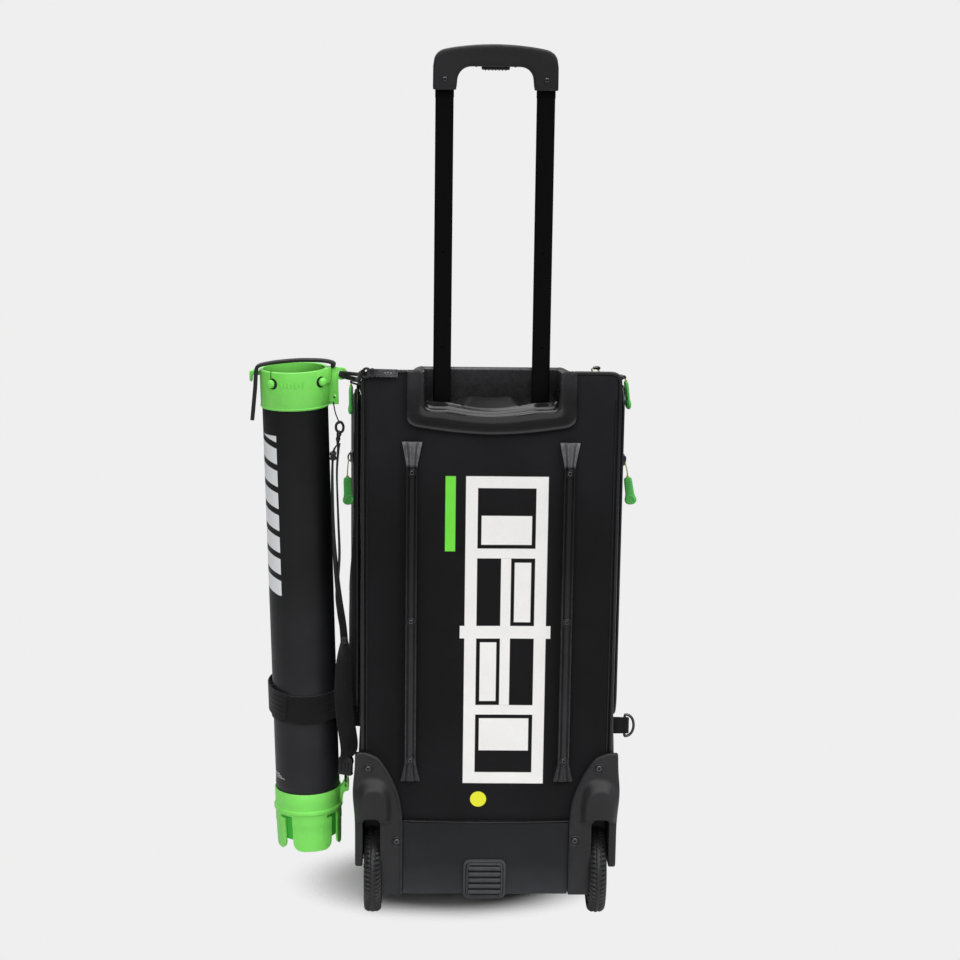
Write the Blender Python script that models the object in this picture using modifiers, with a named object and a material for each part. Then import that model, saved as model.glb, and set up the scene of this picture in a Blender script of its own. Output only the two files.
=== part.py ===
"""Portable ball launcher built into an upright two-wheeled trolley bag, with a ball pick-up tube strapped to its left side.

Units are metres, +Z is up, +Y is the direction in which balls are thrown, and the trolley side faces -Y.
Bag coordinates have X = 0 at the middle of the bag; the empty "launcher_bag" carries them into the object's own frame,
whose origin is the middle of the footprint on the ground.
"""
import math

import bmesh
import bpy
from mathutils import Matrix, Vector

# ------------------------------------------------------------------ driving dimensions
FRAME_X, FRAME_Y = 0.0575, 0.0037      # bag middle in the object's frame

BAG_HALF_W = 0.165                      # fabric body, outside
BAG_REAR, BAG_FRONT = -0.150, 0.150     # rear face of the back panel, front face of the body
TOP_REAR = 0.7270                       # top of the fabric just in front of the back panel; it falls away towards the front
TOP_SLOPE = math.radians(11.0)
BAG_FLOOR = 0.037                       # underside of the base tray
WAIST = 0.140                           # where the fabric starts above the moulded base
WALL = 0.006                            # padded fabric
GAP = 0.0005                            # clearance between parts that touch

WHEEL_R, TYRE_W = 0.058, 0.026
WHEEL_X, WHEEL_Y = 0.1462, -0.115

POST_X, POST_Y = 0.0625, -0.115
POST_W, POST_D = 0.0225, 0.0125         # sliding trolley tube, section
GRIP_Z = 1.080                          # underside of the grip's legs, handle out
TROLLEY_TRAVEL = 0.390

RAIL_X, RAIL_Z0, RAIL_Z1 = 0.0995, 0.1943, 0.6443

BALL_R = 0.0335
BALL_Z = 0.310                          # height of the ball's path through the throwing wheels
TILT_Y = -0.038                         # head pivot, straight below the feed hole
THROW_R, THROW_Y = 0.055, 0.045
THROW_X = 0.0295 + THROW_R
ROTOR_Y, POCKET_R = 0.012, 0.050        # feed rotor centre, and radius to its pockets

TUBE_FOOT = (-0.2335, -0.088, 0.085)    # middle of the pick-up tube's lower mouth
TUBE_LEAN = math.radians(1.55)          # the top leans away from the bag
BARREL_R = 0.0420
SLEEVE_TRAVEL = 0.400

# ------------------------------------------------------------------ scene and collections
for old in list(bpy.data.objects):
    bpy.data.objects.remove(old, do_unlink=True)

parts = bpy.data.collections.new("ball_launcher_bag")
cutters = bpy.data.collections.new("cutters")
bpy.context.scene.collection.children.link(parts)
bpy.context.scene.collection.children.link(cutters)

MATERIALS = {
    # name: (colour, roughness, metallic)
    "black_fabric": ((0.016, 0.016, 0.018), 0.85, 0.0),
    "black_vinyl": ((0.030, 0.031, 0.034), 0.55, 0.0),
    "black_plastic": ((0.035, 0.035, 0.038), 0.50, 0.0),
    "grey_plastic": ((0.075, 0.078, 0.084), 0.50, 0.0),
    "green_plastic": ((0.17, 0.72, 0.13), 0.42, 0.0),
    "green_rubber": ((0.10, 0.45, 0.12), 0.60, 0.0),
    "tyre_rubber": ((0.022, 0.022, 0.024), 0.75, 0.0),
    "black_webbing": ((0.014, 0.014, 0.015), 0.90, 0.0),
    "anodised_black": ((0.012, 0.012, 0.014), 0.30, 0.8),
    "tube_black": ((0.020, 0.020, 0.022), 0.38, 0.0),
    "steel": ((0.55, 0.55, 0.56), 0.30, 1.0),
    "dark_steel": ((0.05, 0.05, 0.055), 0.35, 1.0),
    "foam_grey": ((0.16, 0.17, 0.18), 0.90, 0.0),
    "battery_grey": ((0.11, 0.12, 0.14), 0.45, 0.0),
    "board_green": ((0.02, 0.16, 0.06), 0.50, 0.0),
}


def material(name):
    found = bpy.data.materials.get(name)
    if found:
        return found
    made = bpy.data.materials.new(name)
    made.use_nodes = True
    bsdf = made.node_tree.nodes["Principled BSDF"]
    colour, rough, metal = MATERIALS[name]
    bsdf.inputs["Base Color"].default_value = (*colour, 1.0)
    bsdf.inputs["Roughness"].default_value = rough
    bsdf.inputs["Metallic"].default_value = metal
    return made


# ------------------------------------------------------------------ modelling helpers
def link(name, mesh, coll=None):
    obj = bpy.data.objects.new(name, mesh)
    (coll or cutters).objects.link(obj)
    if coll is None:
        obj.hide_render = True
        obj.display_type = "WIRE"
    return obj


def bake(obj):
    """Applies the object's modifiers and placement to its mesh."""
    bpy.context.view_layer.update()
    graph = bpy.context.evaluated_depsgraph_get()
    mesh = bpy.data.meshes.new_from_object(obj.evaluated_get(graph))
    mesh.transform(obj.matrix_world)
    if obj.matrix_world.determinant() < 0:
        mesh.flip_normals()
    name = obj.name
    bpy.data.objects.remove(obj, do_unlink=True)
    return link(name, mesh)


def weld(obj, within=1e-6):
    work = bmesh.new()
    work.from_mesh(obj.data)
    bmesh.ops.remove_doubles(work, verts=work.verts, dist=within)
    bmesh.ops.recalc_face_normals(work, faces=work.faces)
    work.to_mesh(obj.data)
    work.free()
    return obj


def bevelled(obj, width, segments=2, angle=30.0):
    mod = obj.modifiers.new("bevel", "BEVEL")
    mod.width = width
    mod.segments = segments
    mod.limit_method = "ANGLE"
    mod.angle_limit = math.radians(angle)
    mod.use_clamp_overlap = True
    return bake(obj)


def box(name, x, y, z, bevel=0.0, segments=2):
    """An axis-aligned block from (low, high) pairs, its edges rounded by bevel."""
    work = bmesh.new()
    bmesh.ops.create_cube(work, size=1.0)
    bmesh.ops.scale(work, vec=(x[1] - x[0], y[1] - y[0], z[1] - z[0]), verts=work.verts)
    bmesh.ops.translate(work, vec=((x[0] + x[1]) / 2, (y[0] + y[1]) / 2, (z[0] + z[1]) / 2), verts=work.verts)
    mesh = bpy.data.meshes.new(name)
    work.to_mesh(mesh)
    work.free()
    obj = link(name, mesh)
    return bevelled(obj, bevel, segments) if bevel else obj


def frustum(name, x, y, z, top_x, top_y):
    """A block whose upper face has its own (low, high) pairs."""
    obj = box(name, x, y, z)
    for v in obj.data.vertices:
        if v.co.z > (z[0] + z[1]) / 2:
            v.co.x = top_x[1] if v.co.x > (x[0] + x[1]) / 2 else top_x[0]
            v.co.y = top_y[1] if v.co.y > (y[0] + y[1]) / 2 else top_y[0]
    return obj


AXES = {"X": Matrix.Rotation(math.pi / 2, 4, "Y"), "Y": Matrix.Rotation(-math.pi / 2, 4, "X"), "Z": Matrix.Identity(4)}


def cylinder(name, axis, centre, r, length, r2=None, sides=24, turn=0.0):
    """A cylinder or cone about an axis, its middle at centre; r2 is the radius at the far end."""
    work = bmesh.new()
    bmesh.ops.create_cone(work, cap_ends=True, segments=sides, radius1=r, radius2=r if r2 is None else r2, depth=length)
    mesh = bpy.data.meshes.new(name)
    work.to_mesh(mesh)
    work.free()
    mesh.transform(Matrix.Translation(centre) @ AXES[axis] @ Matrix.Rotation(turn, 4, "Z"))
    return link(name, mesh)


PLANES = {
    # local X, Y, Z of the outline in the bag's axes
    "XZ": Matrix(((1, 0, 0, 0), (0, 0, -1, 0), (0, 1, 0, 0), (0, 0, 0, 1))),
    "YZ": Matrix(((0, 0, 1, 0), (1, 0, 0, 0), (0, 1, 0, 0), (0, 0, 0, 1))),
    "XY": Matrix.Identity(4),
}


def prism(name, plane, outline, low, high, bevel=0.0, segments=2):
    """A flat outline in the XZ, YZ or XY plane, made thick from low to high along the third axis."""
    curve = bpy.data.curves.new(name, "CURVE")
    curve.dimensions = "2D"
    curve.fill_mode = "BOTH"
    curve.extrude = (high - low) / 2
    spline = curve.splines.new("POLY")
    spline.points.add(len(outline) - 1)
    for point, (a, b) in zip(spline.points, outline):
        point.co = (a, b, 0, 1)
    spline.use_cyclic_u = True
    obj = bpy.data.objects.new(name, curve)
    cutters.objects.link(obj)
    middle = (low + high) / 2
    offset = {"XZ": (0, middle, 0), "YZ": (middle, 0, 0), "XY": (0, 0, middle)}[plane]
    obj.matrix_world = Matrix.Translation(offset) @ PLANES[plane]
    bpy.context.view_layer.update()
    graph = bpy.context.evaluated_depsgraph_get()
    mesh = bpy.data.meshes.new_from_object(obj.evaluated_get(graph))
    mesh.transform(obj.matrix_world)
    bpy.data.objects.remove(obj, do_unlink=True)
    solid = weld(link(name, mesh), 1e-6)
    return bevelled(solid, bevel, segments) if bevel else solid


def rounded(corners, steps=4):
    """An outline from (a, b, radius) corners, each replaced by an arc."""
    out = []
    n = len(corners)
    for i, (a, b, r) in enumerate(corners):
        if r <= 0:
            out.append((a, b))
            continue
        p = Vector((a, b))
        before = (Vector(corners[i - 1][:2]) - p).normalized()
        after = (Vector(corners[(i + 1) % n][:2]) - p).normalized()
        half = before.angle(after) / 2
        reach = r / math.tan(half)
        centre = p + (before + after).normalized() * (r / math.sin(half))
        start, end = p + before * reach - centre, p + after * reach - centre
        sweep = start.angle_signed(end)
        for k in range(steps + 1):
            turned_by = Matrix.Rotation(-sweep * k / steps, 2)
            q = centre + turned_by @ start
            out.append((q.x, q.y))
    return out


def rect(x0, x1, y0, y1, r=0.0, steps=3):
    return rounded([(x0, y0, r), (x1, y0, r), (x1, y1, r), (x0, y1, r)], steps)


def turned(name, profile, steps=32, axis="Z", centre=(0, 0, 0), turn=0.0):
    """A turned shape: (radius, height) points run down the outer side, closed on the axis or into a ring."""
    mesh = bpy.data.meshes.new(name)
    ring = profile[0] == profile[-1]
    points = profile[:-1] if ring else profile
    edges = [(i, i + 1) for i in range(len(points) - 1)] + ([(len(points) - 1, 0)] if ring else [])
    mesh.from_pydata([(r, 0, z) for r, z in points], edges, [])
    obj = link(name, mesh)
    mod = obj.modifiers.new("screw", "SCREW")
    mod.steps = mod.render_steps = steps
    mod.use_merge_vertices = True
    mod.merge_threshold = 0.00001
    mod.use_normal_calculate = True
    obj = weld(bake(obj), 1e-6)
    obj.data.transform(Matrix.Translation(centre) @ AXES[axis] @ Matrix.Rotation(turn, 4, "Z"))
    return obj


def tube(name, points, radius, sides=3, closed=False):
    """Round bar along points: a POLY curve with bevel and filled caps, as a mesh."""
    curve = bpy.data.curves.new(name, "CURVE")
    curve.dimensions = "3D"
    curve.bevel_depth = radius
    curve.bevel_resolution = sides
    curve.use_fill_caps = not closed
    spline = curve.splines.new("POLY")
    spline.points.add(len(points) - 1)
    for point, p in zip(spline.points, points):
        point.co = (*p, 1)
    spline.use_cyclic_u = closed
    obj = bpy.data.objects.new(name, curve)
    cutters.objects.link(obj)
    bpy.context.view_layer.update()
    mesh = bpy.data.meshes.new_from_object(obj.evaluated_get(bpy.context.evaluated_depsgraph_get()))
    bpy.data.objects.remove(obj, do_unlink=True)
    return weld(link(name, mesh), 1e-6)


def strap(name, outline_line, thick, low, high):
    """Webbing whose centre line lies in the XZ plane: the line offset both ways by half its thickness, made wide along Y."""
    line = [Vector(p) for p in outline_line]
    left, right = [], []
    for i, p in enumerate(line):
        a = line[max(i - 1, 0)]
        b = line[min(i + 1, len(line) - 1)]
        d = (b - a).normalized()
        n = Vector((-d.y, d.x)) * thick / 2
        left.append(tuple(p + n))
        right.append(tuple(p - n))
    return prism(name, "XZ", left + right[::-1], low, high)


def smooth_line(points, per=5):
    """A Catmull-Rom curve through points, sampled per times between each pair."""
    pts = [Vector(p) for p in points]
    pts = [pts[0] * 2 - pts[1]] + pts + [pts[-1] * 2 - pts[-2]]
    out = []
    for i in range(1, len(pts) - 2):
        p0, p1, p2, p3 = pts[i - 1: i + 3]
        for k in range(per):
            t = k / per
            out.append(0.5 * ((2 * p1) + (p2 - p0) * t + (2 * p0 - 5 * p1 + 4 * p2 - p3) * t * t + (3 * p1 - p0 - 3 * p2 + p3) * t ** 3))
    out.append(pts[-2])
    return out


def arc(cx, cy, r, start, end, steps):
    """Points on an arc, angles in degrees."""
    return [(cx + r * math.cos(math.radians(start + (end - start) * k / steps)), cy + r * math.sin(math.radians(start + (end - start) * k / steps))) for k in range(steps + 1)]


def combine(obj, others, operation):
    for other in others if isinstance(others, (list, tuple)) else [others]:
        mod = obj.modifiers.new("boolean", "BOOLEAN")
        mod.operation = operation
        mod.solver = "EXACT"
        mod.object = other
        obj = bake(obj)
        bpy.data.objects.remove(other, do_unlink=True)
    return weld(obj, 2e-6)


def cut(obj, *others):
    return combine(obj, list(others), "DIFFERENCE")


def join(obj, *others):
    return combine(obj, list(others), "UNION")


def mirrored(obj, name):
    """The other hand of a finished shape, about X = 0."""
    mesh = obj.data.copy()
    mesh.transform(Matrix.Scale(-1, 4, (1, 0, 0)))
    mesh.flip_normals()
    return link(name, mesh)


# ------------------------------------------------------------------ placing
def empty(name, at, parent=None, rotation=(0, 0, 0)):
    obj = bpy.data.objects.new(name, None)
    parts.objects.link(obj)
    obj.empty_display_size = 0.02
    obj.parent = parent
    obj.location = at
    obj.rotation_euler = rotation
    return obj


bag = empty("launcher_bag", (FRAME_X, FRAME_Y, 0.0))


def place(obj, name, look, pivot=None, parent=None, smooth=30.0):
    """Makes a finished shape a part: named, coloured, and with its origin on pivot, in its parent's axes."""
    parent = parent or bag
    mesh = obj.data
    bpy.data.objects.remove(obj, do_unlink=True)
    made = bpy.data.objects.new(name, mesh)
    made.data.name = name
    parts.objects.link(made)
    at = Vector(pivot) if pivot else Vector((0, 0, 0))
    mesh.transform(Matrix.Translation(-at))
    made.parent = parent
    made.location = at
    mesh.materials.clear()
    mesh.materials.append(material(look))
    if smooth:
        mesh.shade_smooth()
        mesh.set_sharp_from_angle(angle=math.radians(smooth))
    return made


# ================================================================== fabric body and panels
def top_z(y):
    """Height of the sloping top at a distance from the back panel."""
    return TOP_REAR - math.tan(TOP_SLOPE) * (y - BAG_REAR - 0.007)


shell = prism("shell", "YZ", rounded([(-0.200, 0.100, 0), (BAG_FRONT, 0.100, 0), (BAG_FRONT, top_z(BAG_FRONT), 0.024), (-0.200, top_z(-0.200), 0)], 4), -BAG_HALF_W, BAG_HALF_W)
shell = bevelled(shell, 0.020, 3, 40.0)
inset = WALL / math.cos(TOP_SLOPE)
hollow = prism("hollow", "YZ", rounded([(-0.210, 0.050, 0), (BAG_FRONT - WALL, 0.050, 0), (BAG_FRONT - WALL, top_z(BAG_FRONT - WALL) - inset, 0.018), (-0.210, top_z(-0.210) - inset, 0)], 4), -BAG_HALF_W + WALL, BAG_HALF_W - WALL)
hollow = bevelled(hollow, 0.014, 3, 40.0)
shell = cut(
    shell, hollow,
    box("c1", (-0.3, 0.3), (-0.30, BAG_REAR + 0.007), (0.0, 0.9)),
    box("c2", (-0.3, 0.3), (-0.30, 0.3), (0.0, WAIST)),
    prism("c3", "XY", rect(-0.128, 0.128, -0.064, 0.122, 0.02), 0.64, 0.78),
    prism("c4", "XZ", rect(-0.125, 0.125, 0.235, 0.600, 0.02), 0.12, 0.18),
    box("c5", (-0.0912, 0.0912), (-0.20, -0.0806), (0.66, 0.80)),
)
place(shell, "fabric_body", "black_fabric")

panel = prism("panel", "XZ", rounded([(-0.158, WAIST + GAP, 0), (0.158, WAIST + GAP, 0), (0.158, 0.7325, 0.022), (-0.158, 0.7325, 0.022)]), BAG_REAR, BAG_REAR + 0.0065)
panel = cut(panel, box("c", (-0.0912, 0.0912), (-0.2, 0), (0.6748, 0.80)))
place(panel, "rear_panel", "black_fabric")

skirt = box("skirt", (-0.1083, 0.1083), (-0.1525, -0.1470), (BAG_FLOOR, 0.1395), 0.0015, 1)
place(skirt, "rear_skirt", "black_vinyl")

LID_REAR, LID_FRONT, LID_THICK = -0.0735, 0.1340, 0.0072
lid = prism("lid", "XY", rect(-0.141, 0.141, LID_REAR, LID_FRONT, 0.022, 4), 0.0, LID_THICK, 0.0025, 1)
lie = Matrix.Translation((0, LID_REAR, top_z(LID_REAR) + 0.0007)) @ Matrix.Rotation(-TOP_SLOPE, 4, "X") @ Matrix.Translation((0, -LID_REAR, 0))
lid.data.transform(lie)
place(lid, "top_lid", "black_fabric", pivot=lie @ Vector((0, LID_REAR, LID_THICK)))

flap = prism("flap", "XZ", rect(-0.137, 0.137, 0.222, 0.613, 0.022, 4), BAG_FRONT + GAP, 0.1580, 0.0025, 1)
flap_axis = (-0.137, 0.1580, 0.4175)
place(flap, "front_flap", "black_fabric", pivot=flap_axis)
pocket = prism("pocket", "XZ", rect(-0.112, 0.112, 0.262, 0.480, 0.022, 3), 0.1584, 0.1720, 0.006, 2)
place(pocket, "flap_pocket", "black_fabric", pivot=flap_axis)

side = prism("side", "YZ", rounded([(-0.128, 0.268, 0.035), (0.118, 0.268, 0.035), (0.118, 0.642, 0.035), (-0.128, 0.694, 0.035)], 3), -0.1785, -BAG_HALF_W - GAP, 0.006, 2)
other = mirrored(side, "side2")
place(side, "side_pocket_left", "black_fabric")
place(other, "side_pocket_right", "black_fabric")

# ================================================================== moulded base, feet and rear grip
tray_outline = rounded([
    (-0.1205, -0.1462, 0), (0.1205, -0.1462, 0), (0.1205, -0.0470, 0), (0.1620, -0.0462, 0),
    (0.1620, 0.1465, 0.020), (-0.1620, 0.1465, 0.020), (-0.1620, -0.0460, 0), (-0.1205, -0.0468, 0)])
tray_inside = rounded([
    (-0.1170, -0.1427, 0), (0.1170, -0.1427, 0), (0.1170, -0.0435, 0), (0.1585, -0.0427, 0),
    (0.1585, 0.1430, 0.0165), (-0.1585, 0.1430, 0.0165), (-0.1585, -0.0425, 0), (-0.1170, -0.0433, 0)])
tray = cut(prism("tray", "XY", tray_outline, BAG_FLOOR, WAIST - GAP), prism("c", "XY", tray_inside, BAG_FLOOR + 0.004, 0.2))
place(tray, "base_tray", "black_plastic")

for hand, s in (("left", -1), ("right", 1)):
    foot = turned("foot", [(0, 0.0366), (0.0225, 0.0366), (0.0225, 0.0320), (0.0175, 0.0300), (0.0165, 0.0040), (0.0145, 0.0), (0, 0.0)], 24, centre=(s * 0.120, 0.112, 0))
    place(foot, "front_foot_" + hand, "tyre_rubber")

grip_foot = prism("gf", "XZ", rect(-0.0280, 0.0280, 0.0320, 0.0862, 0.009, 4), -0.1640, -0.1530, 0.0018, 1)
slots = [box("s", (-0.0195, 0.0195), (-0.20, -0.1575), (0.0375 + k * 0.0088, 0.0420 + k * 0.0088)) for k in range(5)]
grip_foot = cut(grip_foot, *slots)
place(grip_foot, "rear_grip_foot", "grey_plastic")

# ================================================================== skid rails
def rail_outline(x):
    h, e = 0.0075, 0.0142
    low = [(x - e, RAIL_Z0), (x + e, RAIL_Z0), (x + h + 0.002, RAIL_Z0 + 0.030), (x + h, RAIL_Z0 + 0.036)]
    high = [(x + h, RAIL_Z1 - 0.036), (x + h + 0.002, RAIL_Z1 - 0.030), (x + e, RAIL_Z1), (x - e, RAIL_Z1), (x - h - 0.002, RAIL_Z1 - 0.030), (x - h, RAIL_Z1 - 0.036)]
    return low + high + [(x - h, RAIL_Z0 + 0.036), (x - h - 0.002, RAIL_Z0 + 0.030)]


for hand, s in (("left", -1), ("right", 1)):
    x = s * RAIL_X
    rail = prism("rail", "XZ", rail_outline(x), -0.1600, BAG_REAR - GAP, 0.0012, 1)
    grooves = [box("g", (x + dx - 0.0008, x + dx + 0.0008), (-0.18, -0.1586), (RAIL_Z0 + 0.05, RAIL_Z1 - 0.05)) for dx in (-0.0028, 0.0028)]
    holes = [cylinder("h", "Y", (x, -0.162, z), 0.0042, 0.0090, sides=16) for z in (0.2210, 0.4180, 0.6080)]
    rail = cut(rail, *grooves, *holes)
    place(rail, "skid_rail_" + hand, "black_plastic")

# ================================================================== trolley: bezel, channels, sliding handle
bezel = prism("bezel", "XZ", rounded([(-0.1055, 0.6640, 0.020), (0, 0.6560, 0), (0.1055, 0.6640, 0.020), (0.1045, 0.7350, 0.004), (-0.1045, 0.7350, 0.004)]), -0.1560, BAG_REAR - GAP, 0.0016, 1)
cup = box("cup", (-0.0905, 0.0905), (-0.1540, -0.0812), (0.6755, 0.7350))
bezel = join(bezel, cup)
mouth = prism("mouth", "XZ", rounded([(-0.0865, 0.6855, 0.006), (-0.055, 0.6845, 0), (-0.030, 0.6805, 0), (0, 0.6790, 0), (0.030, 0.6805, 0), (0.055, 0.6845, 0), (0.0865, 0.6855, 0.006), (0.0875, 0.80, 0), (-0.0875, 0.80, 0)], 3), -0.20, -0.0842)
bezel = cut(bezel, mouth, *[box("p", (s * POST_X - 0.0120, s * POST_X + 0.0120), (POST_Y - 0.0070, POST_Y + 0.0070), (0.60, 0.72)) for s in (-1, 1)])
place(bezel, "trolley_bezel", "black_plastic")

trolley_axis = (0, POST_Y, GRIP_Z)
for hand, s in (("left", -1), ("right", 1)):
    x = s * POST_X
    channel = box("ch", (x - 0.0138, x + 0.0138), (POST_Y - 0.0088, POST_Y + 0.0088), (0.0950, 0.6750), 0.0015, 1)
    channel = cut(channel, box("c", (x - 0.0117, x + 0.0117), (POST_Y - 0.0067, POST_Y + 0.0067), (0.05, 0.80)))
    place(channel, "trolley_channel_" + hand, "steel")
    post = prism("post", "XY", [(x + a, POST_Y + b) for a, b in rect(-POST_W / 2, POST_W / 2, -POST_D / 2, POST_D / 2, 0.003, 3)], 0.6000, 1.1080)
    post = cut(post, box("c", (x - 0.0095, x + 0.0095), (POST_Y - 0.0045, POST_Y + 0.0045), (0.5, 1.2)))
    place(post, "trolley_tube_" + hand, "anodised_black", pivot=trolley_axis)

grip_outline = (
    [(-0.0770, 1.0800), (-0.0765, 1.1150), (-0.0735, 1.1230), (-0.0680, 1.1275)]
    + [(-0.0680 + 0.1360 * k / 8, 1.1275 + 0.0072 * math.sin(math.pi * k / 8)) for k in range(1, 8)]
    + [(0.0680, 1.1275), (0.0735, 1.1230), (0.0765, 1.1150), (0.0770, 1.0800), (0.0482, 1.0800), (0.0475, 1.0900)]
    + arc(0.0300, 1.0905, 0.0175, 5, 90, 4) + arc(-0.0300, 1.0905, 0.0175, 90, 175, 4) + [(-0.0475, 1.0900), (-0.0482, 1.0800)])
grip = prism("grip", "XZ", grip_outline, POST_Y - 0.0145, POST_Y + 0.0145, 0.0045, 2)
sockets = [box("s", (s * POST_X - POST_W / 2 - GAP, s * POST_X + POST_W / 2 + GAP), (POST_Y - POST_D / 2 - GAP, POST_Y + POST_D / 2 + GAP), (1.00, 1.1085)) for s in (-1, 1)]
grip = cut(grip, *sockets, box("b", (-0.0182, 0.0182), (POST_Y - 0.0055, POST_Y + 0.0055), (1.09, 1.1200)))
place(grip, "trolley_grip", "black_plastic", pivot=trolley_axis)
button = box("button", (-0.0175, 0.0175), (POST_Y - 0.0048, POST_Y + 0.0048), (1.1035, 1.1150), 0.0012, 1)
place(button, "trolley_button", "black_plastic", pivot=(0, POST_Y, 1.1035))

# ================================================================== wheels, axles and their housings
plate_left = (
    [(-0.1710, 0.0770), (-0.1710, 0.2345), (-0.1560, 0.2340)]
    + [(-0.1400, 0.2255), (-0.1280, 0.2080), (-0.1180, 0.1870), (-0.1115, 0.1640), (-0.1088, 0.1400), (-0.1088, BAG_FLOOR), (-0.1240, BAG_FLOOR)]
    + [(-0.1245, 0.1200), (-0.1270, 0.1300), (-0.1320, 0.1340), (-0.1605, 0.1340), (-0.1605, 0.0770)])
house = prism("house", "XZ", plate_left, -0.1595, -0.1530)
fender = prism("fender", "YZ", [(-0.1540, 0.1340), (-0.1540, 0.2060), (-0.1630, 0.2050), (-0.1725, 0.1950), (-0.1780, 0.1760), (-0.1795, 0.1340)], -0.1710, -0.1220, 0.0035, 2)
lower = box("lower", (-0.1710, -0.1245), (-0.1560, -0.0480), (0.0450, 0.1390))
wing = prism("wing", "YZ", [(-0.1560, 0.1370), (-0.1100, 0.1370), (-0.1180, 0.1850), (-0.1340, 0.2200), (-0.1560, 0.2345)], -0.1710, -BAG_HALF_W - GAP)
house = join(house, fender, lower, wing)
house = cut(
    house,
    cylinder("arch", "X", (-0.1455, WHEEL_Y, WHEEL_R), 0.0640, 0.0300, sides=32),
    box("open_rear", (-0.1605, -0.1305), (-0.25, WHEEL_Y), (0.0, 0.1215)),
    box("open_floor", (-0.1605, -0.1305), (-0.25, WHEEL_Y + 0.0640), (0.0, WHEEL_R)),
    box("cheek_low", (-0.20, -0.1604), (-0.25, 0.0), (0.0, 0.0770)),
    cylinder("axle_hole", "X", (-0.1270, WHEEL_Y, WHEEL_R), 0.0044, 0.0200, sides=20),
)
house_right = mirrored(house, "house_right")
place(house, "wheel_housing_left", "black_plastic")
place(house_right, "wheel_housing_right", "black_plastic")

half = TYRE_W / 2
tyre_profile = [(0.0440, 0.0098), (0.0490, 0.0122), (0.0530, half), (0.0560, 0.0108), (0.0576, 0.0065), (WHEEL_R, 0.0), (0.0576, -0.0065), (0.0560, -0.0108), (0.0530, -half), (0.0490, -0.0122), (0.0440, -0.0098), (0.0440, 0.0098)]
rim_profile = [(0.0044, 0.0125), (0.0110, 0.0125), (0.0120, 0.0040), (0.0390, 0.0035), (0.0395, 0.0105), (0.0435, 0.0105), (0.0435, -0.0105), (0.0395, -0.0105), (0.0390, -0.0035), (0.0120, -0.0040), (0.0110, -0.0125), (0.0044, -0.0125), (0.0044, 0.0125)]
for hand, s in (("left", -1), ("right", 1)):
    hub = (s * WHEEL_X, WHEEL_Y, WHEEL_R)
    place(turned("tyre", tyre_profile, 32, "X", hub), "tyre_" + hand, "tyre_rubber", pivot=hub)
    rim = turned("rim", rim_profile, 24, "X", hub)
    windows = []
    for k in range(5):
        a = 2 * math.pi * (k + 0.5) / 5
        windows.append(cylinder("w", "X", (s * WHEEL_X, WHEEL_Y + 0.0255 * math.cos(a), WHEEL_R + 0.0255 * math.sin(a)), 0.0098, 0.03, sides=10))
    rim = cut(rim, *windows)
    place(rim, "rim_" + hand, "grey_plastic", pivot=hub)
    # shoulder bolt: head outside the hub, shank through the hub and the inner cheek, nut behind it
    bolt = turned("bolt", [(0, 0.0152), (0.0065, 0.0148), (0.0075, 0.0132), (0.0040, 0.0131), (0.0040, -0.0224), (0.0058, -0.0225), (0.0058, -0.0250), (0, -0.0250)], 20, "X")
    if s < 0:
        bolt.data.transform(Matrix.Rotation(math.pi, 4, "Z"))
    bolt.data.transform(Matrix.Translation(hub))
    place(bolt, "axle_" + hand, "steel", pivot=hub)

# ================================================================== launcher: frame, fascia, hopper and feed
frame = box("lf", (-0.1500, 0.1500), (-0.0950, 0.1230), (0.1500, 0.1550))
cheek_l = prism("lc", "YZ", rounded([(-0.0720, 0.1520, 0), (0.0600, 0.1520, 0), (0.0100, 0.3600, 0.01), (0.0100, 0.5500, 0), (-0.0720, 0.5500, 0)], 2), -0.1500, -0.1450)
cheek_r = prism("rc", "YZ", rounded([(-0.0720, 0.1520, 0), (0.0600, 0.1520, 0), (0.0100, 0.3600, 0.01), (0.0100, 0.5500, 0), (-0.0720, 0.5500, 0)], 2), 0.1450, 0.1500)
frame = join(frame, cheek_l, cheek_r)
frame = cut(frame, *[cylinder("ph", "X", (s * 0.1475, TILT_Y, BALL_Z), 0.0064, 0.02, sides=24) for s in (-1, 1)])
place(frame, "launcher_frame", "grey_plastic")

fascia = prism("fa", "XZ", rect(-0.1400, 0.1400, 0.1620, 0.6120, 0.012), 0.1275, 0.1315, 0.001, 1)
fascia = cut(
    fascia,
    prism("ap", "XZ", rect(-0.0500, 0.0500, 0.2600, 0.4450, 0.020, 4), 0.10, 0.16),
    *[cylinder("kh", "Y", (x, 0.13, z), 0.0044, 0.02, sides=16) for x, z in ((-0.070, 0.530), (0.070, 0.530), (0.0950, 0.3500))],
    cylinder("bh", "Y", (0, 0.13, 0.530), 0.0098, 0.02, sides=24),
)
place(fascia, "front_fascia", "black_plastic")

funnel = frustum("fu", (-0.088, 0.088), (-0.0765, 0.1000), (0.5000, 0.5610), (-0.1560, 0.1560), (-0.0780, 0.1050))
bowl = cylinder("bowl", "Z", (0, ROTOR_Y, 0.4765), 0.0893, 0.0550, sides=40)
drop = cylinder("drop", "Z", (0, TILT_Y, 0.4065), 0.0395, 0.0880, sides=28)
funnel = join(funnel, bowl, drop)
funnel = cut(
    funnel,
    cylinder("bi", "Z", (0, ROTOR_Y, 0.4860), 0.0867, 0.0680, sides=40),
    frustum("fi", (-0.0840, 0.0840), (-0.0725, 0.0960), (0.5010, 0.5700), (-0.1530, 0.1530), (-0.0750, 0.1020)),
    cylinder("di", "Z", (0, TILT_Y, 0.4100), 0.0370, 0.1200, sides=28),
    cylinder("sh", "Z", (0, ROTOR_Y, 0.4500), 0.0052, 0.0200, sides=16),
)
place(funnel, "hopper_funnel", "grey_plastic")

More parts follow.
